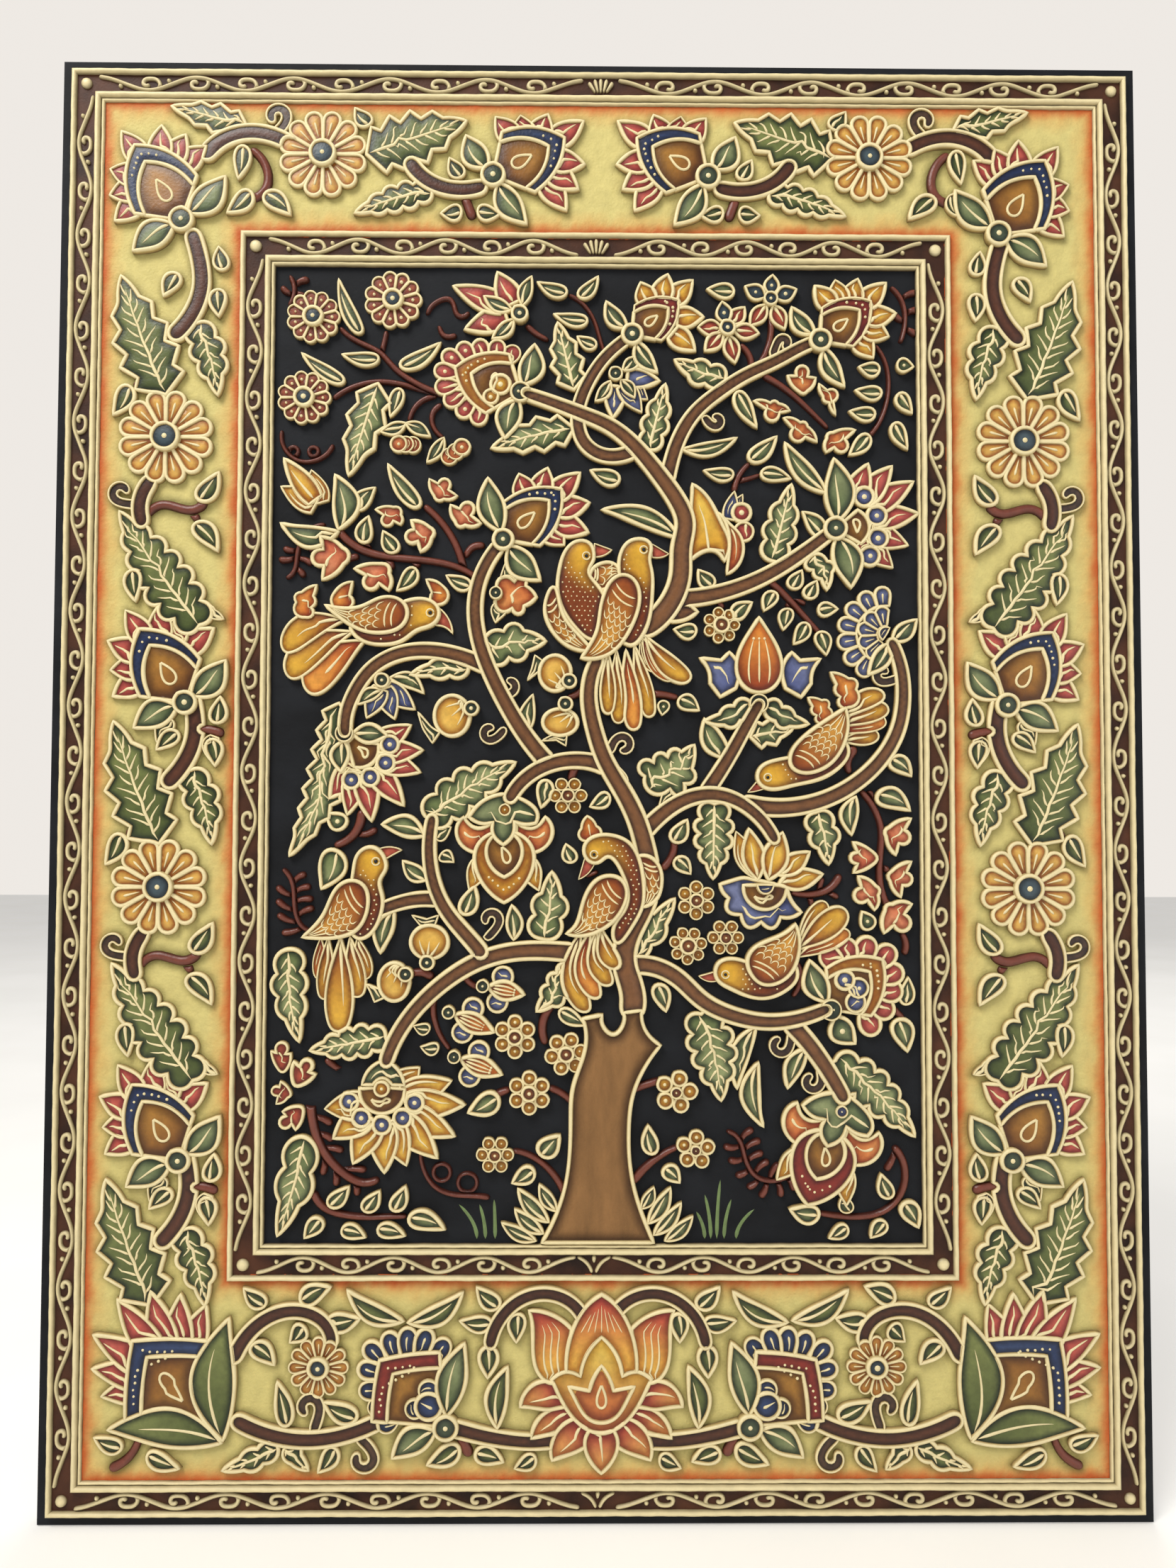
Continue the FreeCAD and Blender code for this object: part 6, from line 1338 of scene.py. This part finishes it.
@dataclass
class Ridges:
    """Thin pieces with no bead: twigs and the scrolls of the frames."""

    node: str
    paint: Paint | None
    slot: str
    finish: ClayFinish
    floor: float = 0.0
    step: float = 0.9
    spread: float = 0.0

    def build(self) -> None:
        """Round every piece over."""
        surface = Surface(f"{self.node}_clay")
        modeller = Modeller(Piping(make_random(self.node)), Beadwork("none"))
        for outline in OUTLINES[self.node]:
            modeller.ridge(surface, outline, self.paint, self.floor, self.step, self.spread)
        surface.build(self.finish, self.slot, (self.node,))


@dataclass
class Bird:
    """One bird: body, wings, tail, beak and crest, told apart by their height."""

    node: str
    beadwork: Beadwork
    wing_tops: tuple[float, float] = (4.0, 3.2)
    body_top: float = 3.4
    crest_top: float = 2.9
    beak_top: float = 2.3
    tail_tops: tuple[float, float] = (2.5, 2.88)
    hair: float = 0.07
    modeller: Modeller = field(init=False)

    def at(self, part: Outline, top: float) -> bool:
        """Whether a part's top is at a height, within a hair."""
        return abs(part.top - top) < self.hair

    def build(self) -> None:
        """Paint the parts, pipe their beads and add scales, dots and the eye."""
        surface = Surface(f"{self.node}_paint")
        self.modeller = Modeller(Piping(make_random(self.node)), self.beadwork)
        parts = OUTLINES[self.node]
        bodies = [part for part in parts if self.at(part, self.body_top)]
        body = max(bodies or parts, key=lambda part: part.area)
        beaks = [part for part in parts if self.at(part, self.beak_top)]
        tails = [part for part in parts if self.tail_tops[0] < part.top < self.tail_tops[1]]
        if beaks:
            face = min((beak.place for beak in beaks), key=lambda p: np.hypot(*(p - body.place)))
        else:
            face = body.place * 2 - (tails[0].place if tails else body.place - [0, 20])
        for part in parts:
            if any(self.at(part, top) for top in self.wing_tops):
                self.wing(surface, part, body, face)
                continue
            if part is body:
                self.breast(surface, part, face)
                continue
            look = (TAIL, Mark.VEIN, 0.75)
            if any(part is beak for beak in beaks):
                look = (BEAK, Mark.NONE, 0.7)
            elif self.at(part, self.crest_top):
                look = (CREST, Mark.DROP, 0.8)
            self.plain(surface, part, spine_away(evened(part.loop, FINE_STEP), body.place), *look)
        surface.build(HOLLOW_FINISH, "bird_clay", (self.node,))

    def plain(self, surface: Surface, part: Outline, spine: Spine, paint: Paint, mark: Mark,
              finest: float) -> None:
        """A part with one wash and one mark.

        Args:
            surface: Takes the hollow.
            part: The part.
            spine: Its direction.
            paint: Its wash.
            mark: Its mark.
            finest: Share that narrows the bead.
        """
        widest = self.modeller.hollow(surface, part, paint, spine)
        self.modeller.edge(part, widest, 0.0, finest)
        self.modeller.mark(part, mark, spine, widest)

    def breast(self, surface: Surface, part: Outline, face: np.ndarray) -> None:
        """The body: ochre head, red-brown dotted breast, and a dark ringed eye.

        Args:
            surface: Takes the hollow.
            part: The body's outline.
            face: Middle of the beak.
        """
        loop = evened(part.loop, EDGE_STEP)
        random = self.modeller.piping.random

        def look(web: Web) -> tuple[np.ndarray, np.ndarray]:
            """A parabola rounds the body, and the wash follows the distance from the beak.

            Args:
                web: The filled outline.

            Returns:
                The heights and the tones of its points.
            """
            crown = np.clip(web.inset / 6.0, 0, 1)
            reach = np.hypot(*(web.points - face).T)
            return (part.top - self.modeller.sink + 0.7 * crown * (2 - crown),
                    BREAST.tint(web.inset - 0.8, (reach - 8.0) / 12.0))

        web = self.modeller.lay(surface, [loop], 1.4, 0.6, look)
        widest = float(web.inset.max())
        self.modeller.edge(part, widest, 0.0)
        spots = grid_inside(loop, 2.3, random)
        spots = spots[inside(spots, loop)]
        far = np.hypot(*(spots - face).T)
        spots = spots[(edge_distance(spots, loop) > 1.9) & (far > 13.0)]
        self.modeller.piping.dots(self.beadwork.part(), spots, 0.42, part.top - 0.3, 0.35)
        inner = web.points[(web.inset > min(2.9, 0.7 * widest))]
        near = np.hypot(*(inner - face).T)
        eye = inner[np.argmin(np.abs(near - 5.8) + 0.4 * (4.0 - np.minimum(edge_distance(inner, loop), 4.0)))]
        turn = np.linspace(0, 2 * math.pi, 20)
        ring = eye + 1.55 * np.stack([np.cos(turn), np.sin(turn)], axis=1)
        self.modeller.piping.stroke(self.beadwork.part(), ring, np.full(20, 0.75), part.top - 0.3, 0.5)
        self.modeller.piping.dots(self.beadwork.part(), eye[None, :], 0.95, part.top - 0.35, 0.7, linear(PUPIL))

    def wing(self, surface: Surface, part: Outline, body: Outline, face: np.ndarray) -> None:
        """A wing: stripes by the shoulder, rows of scales, long strokes to the tip.

        Args:
            surface: Takes the hollow.
            part: The wing's outline.
            body: The body's outline.
            face: Middle of the beak.
        """
        loop = evened(part.loop, FINE_STEP)
        shoulder = loop[np.hypot(*(loop - (face * 0.5 + body.place * 0.5)).T).argmin()]
        spine = spine_away(loop, shoulder)
        widest = self.modeller.hollow(surface, part, WING, spine)
        self.modeller.edge(part, widest, 0.0)
        beads, pipe = self.beadwork.part(), self.modeller.piping
        height = part.top - self.modeller.sink + 0.2
        across = np.linspace(-0.72, 0.72, 9)
        for share in (0.15, 0.23):
            path = spine.place(share + 0.035 * (1 - (across / 0.72) ** 2), across)
            pipe.stroke(beads, path, tapered(9, 1.0, 1.0), height, 0.5)
        rows = np.arange(0.31, 0.68, 2.7 / spine.length)
        bow = np.linspace(-1, 1, 9)
        for number, share in enumerate(rows):
            _, half = spine.spread(np.array([share]))
            room = max(1, int(round(1.5 * float(half[0]) / 3.3)))
            for scale in range(room):
                middle = (scale + 0.5 + (number % 2) * 0.5 - room / 2) * 1.5 / room
                if abs(middle) > 0.78:
                    continue
                arch = share + np.sqrt(1 - bow ** 2) * 2.5 / spine.length
                path = spine.place(arch, middle + bow * 0.72 / room)
                pipe.stroke(beads, path, np.full(9, 0.68), height, 0.45)
        WING_TIP.pipe(pipe, beads, spine, height)


@dataclass
class MarginGround:
    """The brushed clay ground between the two frames."""

    half_width: float = 228.5 - 18.4
    half_height: float = 305.0 - 18.4
    inner: tuple[float, float, float, float] = (-152.25, 148.75, -206.5, 231.5)
    step: float = 1.25

    def build(self) -> None:
        """Lay the ground as a grid with the inner frame left out.

        Height is the ground's thickness with three layers of slow waves and a low bank against
        every margin piece; colour runs from yellow in the open to orange by the frames, and to
        olive painted shade round the pieces, where they shade the ground.
        """
        random = make_random("ground")
        x = np.linspace(-self.half_width, self.half_width, int(2 * self.half_width / self.step))
        z = np.linspace(-self.half_height, self.half_height, int(2 * self.half_height / self.step))
        x_all, z_all = np.meshgrid(x, z)
        left, right, low, high = self.inner
        open_here = (x_all > left + 2) & (x_all < right - 2) & (z_all > low + 2) & (z_all < high - 2)
        cells = ~(open_here[:-1, :-1] & open_here[1:, :-1] & open_here[:-1, 1:] & open_here[1:, 1:])
        row, column = np.nonzero(cells)
        across = len(x)
        first = row * across + column
        faces = np.stack([first, first + 1, first + across + 1, first + across], axis=1)
        used, faces = np.unique(faces, return_inverse=True)
        faces = faces.reshape(-1, 4)
        points = np.stack([x_all.ravel()[used], z_all.ravel()[used]], axis=1)
        half = np.array([self.half_width, self.half_height])
        frame_near = (half - np.abs(points)).min(axis=1)
        out_x = np.maximum(left - points[:, 0], points[:, 0] - right)
        out_z = np.maximum(low - points[:, 1], points[:, 1] - high)
        frame_near = np.minimum(frame_near, np.maximum(out_x, out_z))
        piece_near = self.near_pieces(points)
        waves = np.zeros(len(points))
        for scale, depth in ((17.0, 0.10), (7.0, 0.07), (3.2, 0.05)):
            for _ in range(4):
                way = random.uniform(0, math.pi)
                phase = (points @ [math.cos(way), math.sin(way)]) / scale * 6.28 * random.uniform(0.8, 1.25)
                waves += depth * np.sin(phase + random.uniform(0, 6.28)) / 2
        bank = np.clip(1 - piece_near / 3.2, 0, 1)
        height = GROUND + 0.12 + waves + 0.55 * bank ** 2
        yellow, gold, orange, olive = (linear(c) for c in ((200, 186, 118), (204, 152, 82),
                                                           (182, 82, 36), (92, 84, 34)))
        warm = np.clip(1 - frame_near / 11.0 + waves * 0.7, 0, 1)[:, None] ** 1.4
        tint = yellow * (1 - warm) + gold * warm
        hot = np.clip(1 - frame_near / 4.6 + waves * 0.8, 0, 1)[:, None] ** 1.2
        tint = tint * (1 - hot) + orange * hot
        # Painted shade: olive round every margin piece, where the raised pieces shade the ground.
        shade = (np.clip(1 - piece_near / 3.8, 0, 1)[:, None] ** 1.3) * 0.8
        tint = tint * (1 - shade) + olive * shade
        surface = Surface("margin_ground_clay")
        surface.take(np.column_stack([points, height]), faces, tint)
        surface.build(GROUND_FINISH, "margin_clay", ("margin_ground",))

    def near_pieces(self, points: np.ndarray) -> np.ndarray:
        """Distance from the ground's points to the nearest margin piece, up to 6 mm.

        Args:
            points: Points, one per row.

        Returns:
            The distances.
        """
        edges = np.concatenate([evened(outline.loop, 1.6) for node in OUTLINES if node.startswith("margin")
                                for outline in OUTLINES[node]])
        near = np.full(len(points), 6.0)
        tile = 24.0
        for x in np.arange(points[:, 0].min(), points[:, 0].max() + tile, tile):
            for z in np.arange(points[:, 1].min(), points[:, 1].max() + tile, tile):
                mine = np.flatnonzero((np.abs(points - [x, z]) <= tile / 2).all(axis=1))
                other = edges[(np.abs(edges - [x, z]) <= tile / 2 + 6).all(axis=1)]
                if len(mine) and len(other):
                    gap = np.sqrt(((points[mine, None, :] - other) ** 2).sum(axis=2)).min(axis=1)
                    near[mine] = np.minimum(near[mine], gap)
        return near


@dataclass
class FrameRing:
    """Rim and two-step moulding of one frame, carried round its four mitred sides."""

    name: str
    width: float
    height: float
    middle: tuple[float, float]
    rim: float
    band: float
    moulding: float

    def profile(self) -> dict[str, tuple[np.ndarray, np.ndarray]]:
        """Inset from the frame's outer edge and height, for the rim and the two rolls.

        Returns:
            The insets and heights of each profile.
        """
        turn = np.linspace(0, math.pi, 9)
        rim_in = self.rim / 2 * (1 - np.cos(turn))
        rim_up = 3.2 * np.sin(turn) ** 0.55
        start = self.rim + self.band
        tall, low = self.moulding * 0.62, self.moulding * 0.38
        first_in = start + tall / 2 * (1 - np.cos(turn))
        first_up = 3.6 * np.sin(turn) ** 0.5
        second_in = start + tall + low / 2 * (1 - np.cos(turn))
        second_up = 2.4 * np.sin(turn) ** 0.6
        return {"rim": (rim_in, rim_up), "tall": (first_in, first_up), "low": (second_in, second_up)}

    def sweep(self, surface: Surface, inset: np.ndarray, up: np.ndarray) -> None:
        """Carry a profile round the four sides with a slight waver, mitred at the corners; its cream darkens
        towards the foot as painted shade.

        Args:
            surface: Takes the moulding.
            inset: Inset of each place of the profile.
            up: Its height.
        """
        random = make_random(self.name + str(len(surface.points)))
        corners = np.array([[-1, -1], [1, -1], [1, 1], [-1, 1]], float)
        half = np.array([self.width / 2, self.height / 2])
        for side in range(4):
            start, end = corners[side], corners[(side + 1) % 4]
            length = 2 * (half[0] if side % 2 == 0 else half[1])
            count = int(length / 2.4)
            share = np.linspace(0, 1, count)[:, None, None]
            one = start * (half - inset[:, None])
            two = end * (half - inset[:, None])
            flat = one[None] * (1 - share) + two[None] * share + np.array(self.middle)
            waver = np.zeros(count)
            for waves in (length / 60, length / 23, length / 9):
                waver += np.sin(np.linspace(0, 2 * math.pi * waves, count) + random.uniform(0, 6.28)) / 3
            calm = np.clip(np.minimum(np.arange(count), count - 1 - np.arange(count)) / 5, 0, 1)
            inward = np.array([[0, 1], [-1, 0], [0, -1], [1, 0]], float)[side]
            flat = flat + (waver * calm * 0.13)[:, None, None] * inward
            high = up[None] * (1 + 0.03 * np.roll(waver, 9) * calm)[:, None] - 0.02
            grid = np.concatenate([flat, high[:, :, None]], axis=2)
            # Painted shade: the moulding's cream darkens to dark brown towards its foot.
            rise = (up / up.max())[:, None] ** 1.5
            tint = linear(CREAM_FOOT_SHADE) * (1 - rise) + linear(CREAM) * rise
            surface.sheet(grid, tint)

    def build(self) -> None:
        """Build rim and moulding."""
        for part, node in (("rim", f"{self.name}_rim"), ("moulding", f"{self.name}_moulding")):
            surface = Surface(f"{node}_clay")
            shapes = self.profile()
            for shape in (("rim",) if part == "rim" else ("tall", "low")):
                self.sweep(surface, *shapes[shape])
            surface.build(BEAD_FINISH, "cream_clay", (node,))


@dataclass
class Grass:
    """Thin green strokes of paint at the foot of the tree."""

    tips: tuple[tuple[float, float, float, float], ...] = (
        (-57.5, -176, -50, -190), (-49, -176, -46.5, -190), (-43, -174, -42.5, -190),
        (40.5, -179, 44, -190), (44, -172, 46.5, -190), (50.5, -166, 49, -190),
        (55, -174, 52, -190), (64.5, -178, 57, -190))

    def build(self) -> None:
        """Each blade bends from its foot to its tip as a thin tapered strip."""
        surface = Surface("grass_strokes")
        pipe = Piping(make_random("grass"))
        share = np.linspace(0, 1, 13)
        for tip_x, tip_z, foot_x, foot_z in self.tips:
            bend = (tip_x - foot_x) * share ** 2
            path = np.stack([foot_x + bend, foot_z + (tip_z - foot_z) * share], axis=1)
            pipe.stroke(surface, path, tapered(13, 1.7, 1.1), 0.05, 0.2, linear(GRASS_GREEN))
        surface.build(HOLLOW_FINISH, "green_clay")


# ---------------------------------------------------------------- board, bands and hangers
Streaks = tuple[Colour, Colour, float, tuple[float, float, float]]


def streaked(tree: bpy.types.NodeTree, low: Colour, high: Colour, scale: float,
             stretch: tuple[float, float, float]) -> bpy.types.NodeSocket:
    """One streaky tone between two colours.

    Args:
        tree: The material's node tree.
        low: The darker colour.
        high: The lighter colour.
        scale: Scale of the streaks.
        stretch: Their stretch along each axis.

    Returns:
        The tone.
    """
    noise = object_noise(tree, scale, 7.0, stretch)
    ramp = tree.nodes.new("ShaderNodeValToRGB")
    for element, place, colour in zip(ramp.color_ramp.elements, (0.3, 0.72), (low, high)):
        element.position = place
        element.color = (*linear(colour), 1)
    tree.links.new(noise.outputs["Fac"], ramp.inputs["Fac"])
    return ramp.outputs["Color"]


@dataclass(frozen=True)
class BoardFinish:
    """Wooden board: charcoal paint in front, dark sawn sides, bare brown back."""

    name: str = "painted_board"
    sides: Streaks = ((26, 34, 40), (66, 76, 84), 90.0, (0.5, 6.0, 0.5))
    front: Streaks = ((12, 13, 16), (26, 28, 32), 34.0, (1.0, 1.0, 1.6))
    back: Streaks = ((92, 66, 42), (150, 114, 76), 30.0, (9.0, 9.0, 0.7))

    def material(self) -> bpy.types.Material:
        """Mix three tones by which way the surface faces; stretched noise makes the saw grain.

        Returns:
            The material.
        """
        made, tree, shader = fresh_material(self.name, 0.7, 0.2)
        facing = tree.nodes.new("ShaderNodeNewGeometry")
        split = tree.nodes.new("ShaderNodeSeparateXYZ")
        tree.links.new(facing.outputs["True Normal"], split.inputs[0])
        colour = streaked(tree, *self.sides)
        for compare, limit, look in (("LESS_THAN", -0.5, self.front), ("GREATER_THAN", 0.5, self.back)):
            switch = tree.nodes.new("ShaderNodeMath")
            switch.operation = compare
            switch.inputs[1].default_value = limit
            tree.links.new(split.outputs["Y"], switch.inputs[0])
            tone = streaked(tree, *look)
            mix = tree.nodes.new("ShaderNodeMix")
            mix.data_type = "RGBA"
            tree.links.new(switch.outputs[0], mix.inputs[0])
            tree.links.new(colour, mix.inputs[6])
            tree.links.new(tone, mix.inputs[7])
            colour = mix.outputs[2]
        tree.links.new(colour, shader.inputs["Base Color"])
        bump(tree, shader, WOOD_GRAINS, 0.35)
        return made

@dataclass(frozen=True)
class StreakFinish:
    """A finish of two colours streaked together, for bands and metal."""

    name: str
    low: Colour
    high: Colour
    scale: float
    stretch: tuple[float, float, float]
    roughness: float
    metallic: float = 0.0
    grain: float = 0.3

    def material(self) -> bpy.types.Material:
        """Stretched noise picks between the two colours and lifts a fine bump.

        Returns:
            The material.
        """
        gloss = 0.5 if self.metallic else 0.22
        made, tree, shader = fresh_material(self.name, self.roughness, gloss, self.metallic)
        tone = streaked(tree, self.low, self.high, self.scale, self.stretch)
        tree.links.new(tone, shader.inputs["Base Color"])
        bump(tree, shader, STREAK_GRAINS, self.grain)
        return made


def dress(node: str, finish: BoardFinish | StreakFinish) -> None:
    """Give a CAD node its finish.

    Args:
        node: Name of the node.
        finish: Its finish.
    """
    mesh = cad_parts[node].data
    mesh.materials.clear()
    mesh.materials.append(finish.material())
    LOG.info("%s: kept, %s", node, finish.name)


# ---------------------------------------------------------------- light and camera
@dataclass
class Studio:
    """Pale floor, soft lights and the camera."""

    floor_height: float = -0.3055
    floor_reach: float = 4.0
    haze: tuple[float, float, float, float] = (0.86, 0.82, 0.775, 1)
    position: tuple[float, float, float] = (-0.0087, -0.4853, -0.0187)
    pitch: float = 0.0347
    roll: float = -0.0025
    heading: float = -0.0085
    lens: float = 24.0 * 1597.0 / 2212.0

    def build(self) -> None:
        """Set the world, floor, lights and camera."""
        self.set_world()
        self.lay_floor()
        self.add_light("key", (-0.75, -1.0, 1.35), (0, 0, -0.05), 0.8, 30.0, (1.0, 0.98, 0.95))
        self.add_light("fill", (1.2, -1.3, 0.2), (0, 0, 0), 1.4, 7.0, (0.96, 0.98, 1.0))
        self.add_light("back", (0.3, 1.6, 1.2), (0, 0, 0), 1.2, 14.0, (1.0, 1.0, 1.0))
        camera = bpy.data.cameras.new("camera")
        camera.sensor_fit = "VERTICAL"
        camera.sensor_height = 24.0
        camera.lens = self.lens
        camera.dof.use_dof = False
        camera.clip_start = 0.01
        camera.clip_end = 20.0
        holder = bpy.data.objects.new("camera", camera)
        turn = (Matrix.Rotation(self.heading, 3, "Z") @ Matrix.Rotation(self.pitch, 3, "X")
                @ Matrix.Rotation(self.roll, 3, "Y"))
        axes = Matrix((turn.col[0], turn.col[2], -turn.col[1])).transposed()
        holder.matrix_world = Matrix.Translation(self.position) @ axes.to_4x4()
        bpy.context.scene.collection.objects.link(holder)
        bpy.context.scene.camera = holder
        bpy.context.scene.view_settings.view_transform = "Standard"

    def set_world(self) -> None:
        """A pale, even world."""
        world = bpy.data.worlds.new("studio")
        world.use_nodes = True
        tree = world.node_tree
        soft = tree.nodes["Background"]
        soft.inputs["Color"].default_value = (0.96, 0.97, 1.0, 1)
        soft.inputs["Strength"].default_value = 0.42
        seen = tree.nodes.new("ShaderNodeBackground")
        seen.inputs["Color"].default_value = self.haze
        seen.inputs["Strength"].default_value = 1.0
        path = tree.nodes.new("ShaderNodeLightPath")
        mix = tree.nodes.new("ShaderNodeMixShader")
        tree.links.new(path.outputs["Is Camera Ray"], mix.inputs[0])
        tree.links.new(soft.outputs[0], mix.inputs[1])
        tree.links.new(seen.outputs[0], mix.inputs[2])
        tree.links.new(mix.outputs[0], tree.nodes["World Output"].inputs["Surface"])
        bpy.context.scene.world = world

    def lay_floor(self) -> None:
        """A wide pale floor under the board."""
        mesh = bpy.data.meshes.new("floor")
        reach = self.floor_reach
        corners = [(-reach, -reach, 0), (reach, -reach, 0), (reach, reach, 0), (-reach, reach, 0)]
        mesh.from_pydata(corners, [], [(0, 1, 2, 3)])
        floor = bpy.data.objects.new("floor", mesh)
        floor.location.z = self.floor_height
        pale = StreakFinish("floor", (214, 213, 207), (224, 222, 216), 6.0, (1.0, 1.0, 1.0), 0.8, 0.0, 0.1)
        finish = pale.material()
        shader = finish.node_tree.nodes["Principled BSDF"]
        shader.inputs["Emission Color"].default_value = self.haze
        shader.inputs["Emission Strength"].default_value = 0.36
        mesh.materials.append(finish)
        bpy.context.scene.collection.objects.link(floor)

    def add_light(self, name: str, place: tuple[float, float, float], aim: tuple[float, float, float],
                  size: float, power: float, colour: tuple[float, float, float]) -> None:
        """One soft square light aimed at a spot.

        Args:
            name: Its name.
            place: Where it hangs.
            aim: Where it points.
            size: Its width in metres.
            power: Its strength in watts.
            colour: Its colour.
        """
        light = bpy.data.lights.new(name, "AREA")
        light.size = size
        light.energy = power
        light.color = colour
        holder = bpy.data.objects.new(name, light)
        way = Vector(aim) - Vector(place)
        holder.matrix_world = Matrix.Translation(place) @ way.to_track_quat("-Z", "Y").to_matrix().to_4x4()
        bpy.context.scene.collection.objects.link(holder)


# ---------------------------------------------------------------- everything in order
FLAT_NODES = ("backing_board", "outer_rim", "inner_rim", "outer_band", "inner_band", "outer_moulding",
              "inner_moulding", "margin_ground", "hanger_straps", "hanger_screws", "left_ring", "right_ring")
OUTLINES = {node: outlines_of(node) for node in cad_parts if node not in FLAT_NODES}

FIELD_KINDS = {
    "branches": Kind(BRANCH, Mark.NONE, "brown_clay"),
    "curls": Kind(CURL, Mark.NONE, "brown_clay"),
    "leaves": Kind(LEAF, Mark.VEIN, "green_clay"),
    "long_leaves": Kind(LEAF, Mark.VEIN, "green_clay"),
    "broad_leaves": Kind(LEAF, Mark.RIB, "green_clay"),
    "red_daisies": Kind(DAISY_RED, Mark.DOT, "red_clay"),
    "flower_centres": Kind(RUSSET_CENTRE, Mark.DOT, "ochre_clay"),
    "round_flowers": Kind(OCHRE, Mark.DOT, "ochre_clay"),
    "red_petals": Kind(ROSE, Mark.VEIN, "red_clay"),
    "yellow_petals": Kind(YELLOW, Mark.VEIN, "ochre_clay"),
    "blue_petals": Kind(SLATE, Mark.DROP, "blue_clay"),
    "orange_petals": Kind(ORANGE, Mark.DROP, "ochre_clay"),
    "striped_petals": Kind(STRIPED, Mark.STRIPES, "ochre_clay"),
    "star_flowers": Kind(BRICK, Mark.VEIN, "red_clay"),
    "bells": Kind(BELL, Mark.DROP, "red_clay"),
    "pomegranates": Kind(POMEGRANATE, Mark.RAYS, "ochre_clay", Mark.RAYS),
    "flower_bands": Kind(BAND_RED, Mark.BEADS, "ochre_clay"),
    "flower_hearts": Kind(HEART, Mark.LOOP, "ochre_clay"),
    "small_hearts": Kind(SLATE, Mark.DROP, "blue_clay"),
    "sepals": Kind(SEPAL, Mark.VEIN, "green_clay"),
    "bosses": Kind(BOSS, Mark.DOT, "green_clay"),
}
HUBS = {
    "red_daisies": ("flower_centres",), "round_flowers": ("flower_centres",),
    "red_petals": ("flower_hearts",), "yellow_petals": ("flower_hearts",),
    "blue_petals": ("small_hearts", "flower_hearts"), "orange_petals": ("flower_hearts", "small_hearts"),
    "bells": ("bosses",), "pomegranates": ("bosses",), "sepals": ("bosses",),
    "margin_daisy_petals": ("margin_daisy_centres",), "margin_lotus_petals": ("margin_lotus_hearts",),
    "margin_navy_petals": ("margin_lotus_hearts",), "margin_lotus_hearts": ("margin_bosses",),
    "margin_sepals": ("margin_bosses",), "margin_red_petals": ("margin_yellow_petals",),
}
MARGIN_KINDS = {
    "margin_stems": Kind(STEM, Mark.NONE, "brown_clay"),
    "margin_curls": Kind(CURL, Mark.NONE, "brown_clay"),
    "margin_leaves": Kind(DARK_LEAF, Mark.VEIN, "green_clay"),
    "margin_broad_leaves": Kind(DARK_LEAF, Mark.RIB, "green_clay"),
    "margin_daisy_petals": Kind(DAISY_OCHRE, Mark.DROP, "ochre_clay", Mark.DROP),
    "margin_daisy_centres": Kind(CENTRE, Mark.DOT, "blue_clay"),
    "margin_lotus_petals": Kind(ROSE, Mark.VEIN, "red_clay"),
    "margin_lotus_bands": Kind(NAVY, Mark.BEADS, "blue_clay", Mark.BEADS),
    "margin_lotus_hearts": Kind(HEART, Mark.LOOP, "ochre_clay", Mark.LOOP),
    "margin_sepals": Kind(SEPAL, Mark.VEIN, "green_clay"),
    "margin_bosses": Kind(BOSS, Mark.DOT, "green_clay"),
    "margin_navy_petals": Kind(NAVY, Mark.DROP, "blue_clay", Mark.DROP),
    "margin_yellow_petals": Kind(CUP, Mark.NONE, "ochre_clay"),
    "margin_red_petals": Kind(CROWN_SKIRT, Mark.VEIN, "red_clay"),
}
MADE_AS = {
    "branches": Channels, "curls": Channels, "margin_stems": Channels, "margin_curls": Channels,
    "margin_red_petals": CentreLotus, "margin_yellow_petals": CentreLotus,
    "margin_lotus_bands": MarginFlowers, "margin_lotus_hearts": MarginFlowers,
}
BIRDS = ("crested_bird", "front_dove", "back_dove", "perched_bird", "turning_bird", "diving_bird",
         "standing_bird")


def main() -> None:
    """Build each part in order, then light it."""
    logging.basicConfig(level=logging.INFO, format="%(message)s")
    dress("backing_board", BoardFinish())
    band = StreakFinish("band_brown", (32, 15, 7), (82, 47, 29), 60.0, (1.0, 1.0, 1.0), 0.55)
    steel = StreakFinish("brushed_steel", (120, 122, 124), (172, 172, 170), 80.0, (6.0, 1.0, 1.0), 0.34,
                         metallic=1.0, grain=0.15)
    for node in ("outer_band", "inner_band"):
        dress(node, band)
    for node in ("hanger_straps", "hanger_screws", "left_ring", "right_ring"):
        dress(node, steel)
    FrameRing("outer", 449.0, 602.0, (0.0, 0.0), 2.4, 7.8, 4.2).build()
    FrameRing("inner", 301.0, 438.0, (-1.75, 12.5), 2.4, 8.2, 4.2).build()
    MarginGround().build()
    for node in ("outer_scrollwork", "inner_scrollwork"):
        Ridges(node, None, "cream_clay", BEAD_FINISH, 1.2, 0.62, 0.22).build()
    Ridges("twigs", TWIG, "brown_clay", HOLLOW_FINISH, 0.0).build()
    Ridges("margin_twigs", TWIG, "brown_clay", HOLLOW_FINISH, GROUND).build()
    margin = Beadwork("margin_beads")
    for node, kind in MARGIN_KINDS.items():
        made = MADE_AS.get(node, Clay)
        made(node, kind, margin, GROUND, HUBS.get(node, ())).build()
    tree = Beadwork("tree_beads")
    for node, kind in FIELD_KINDS.items():
        made = MADE_AS.get(node, FieldFlowers)
        made(node, kind, tree, 0.0, HUBS.get(node, ())).build()
    Channels("tree_trunk", Kind(TRUNK, Mark.NONE, "trunk_clay"), tree).build()
    birds = Beadwork("bird_beads")
    for name in BIRDS:
        Bird(name, birds).build()
    for beadwork in (margin, tree, birds):
        beadwork.build()
    Grass().build()
    Studio().build()


if __name__ == "__main__":
    main()
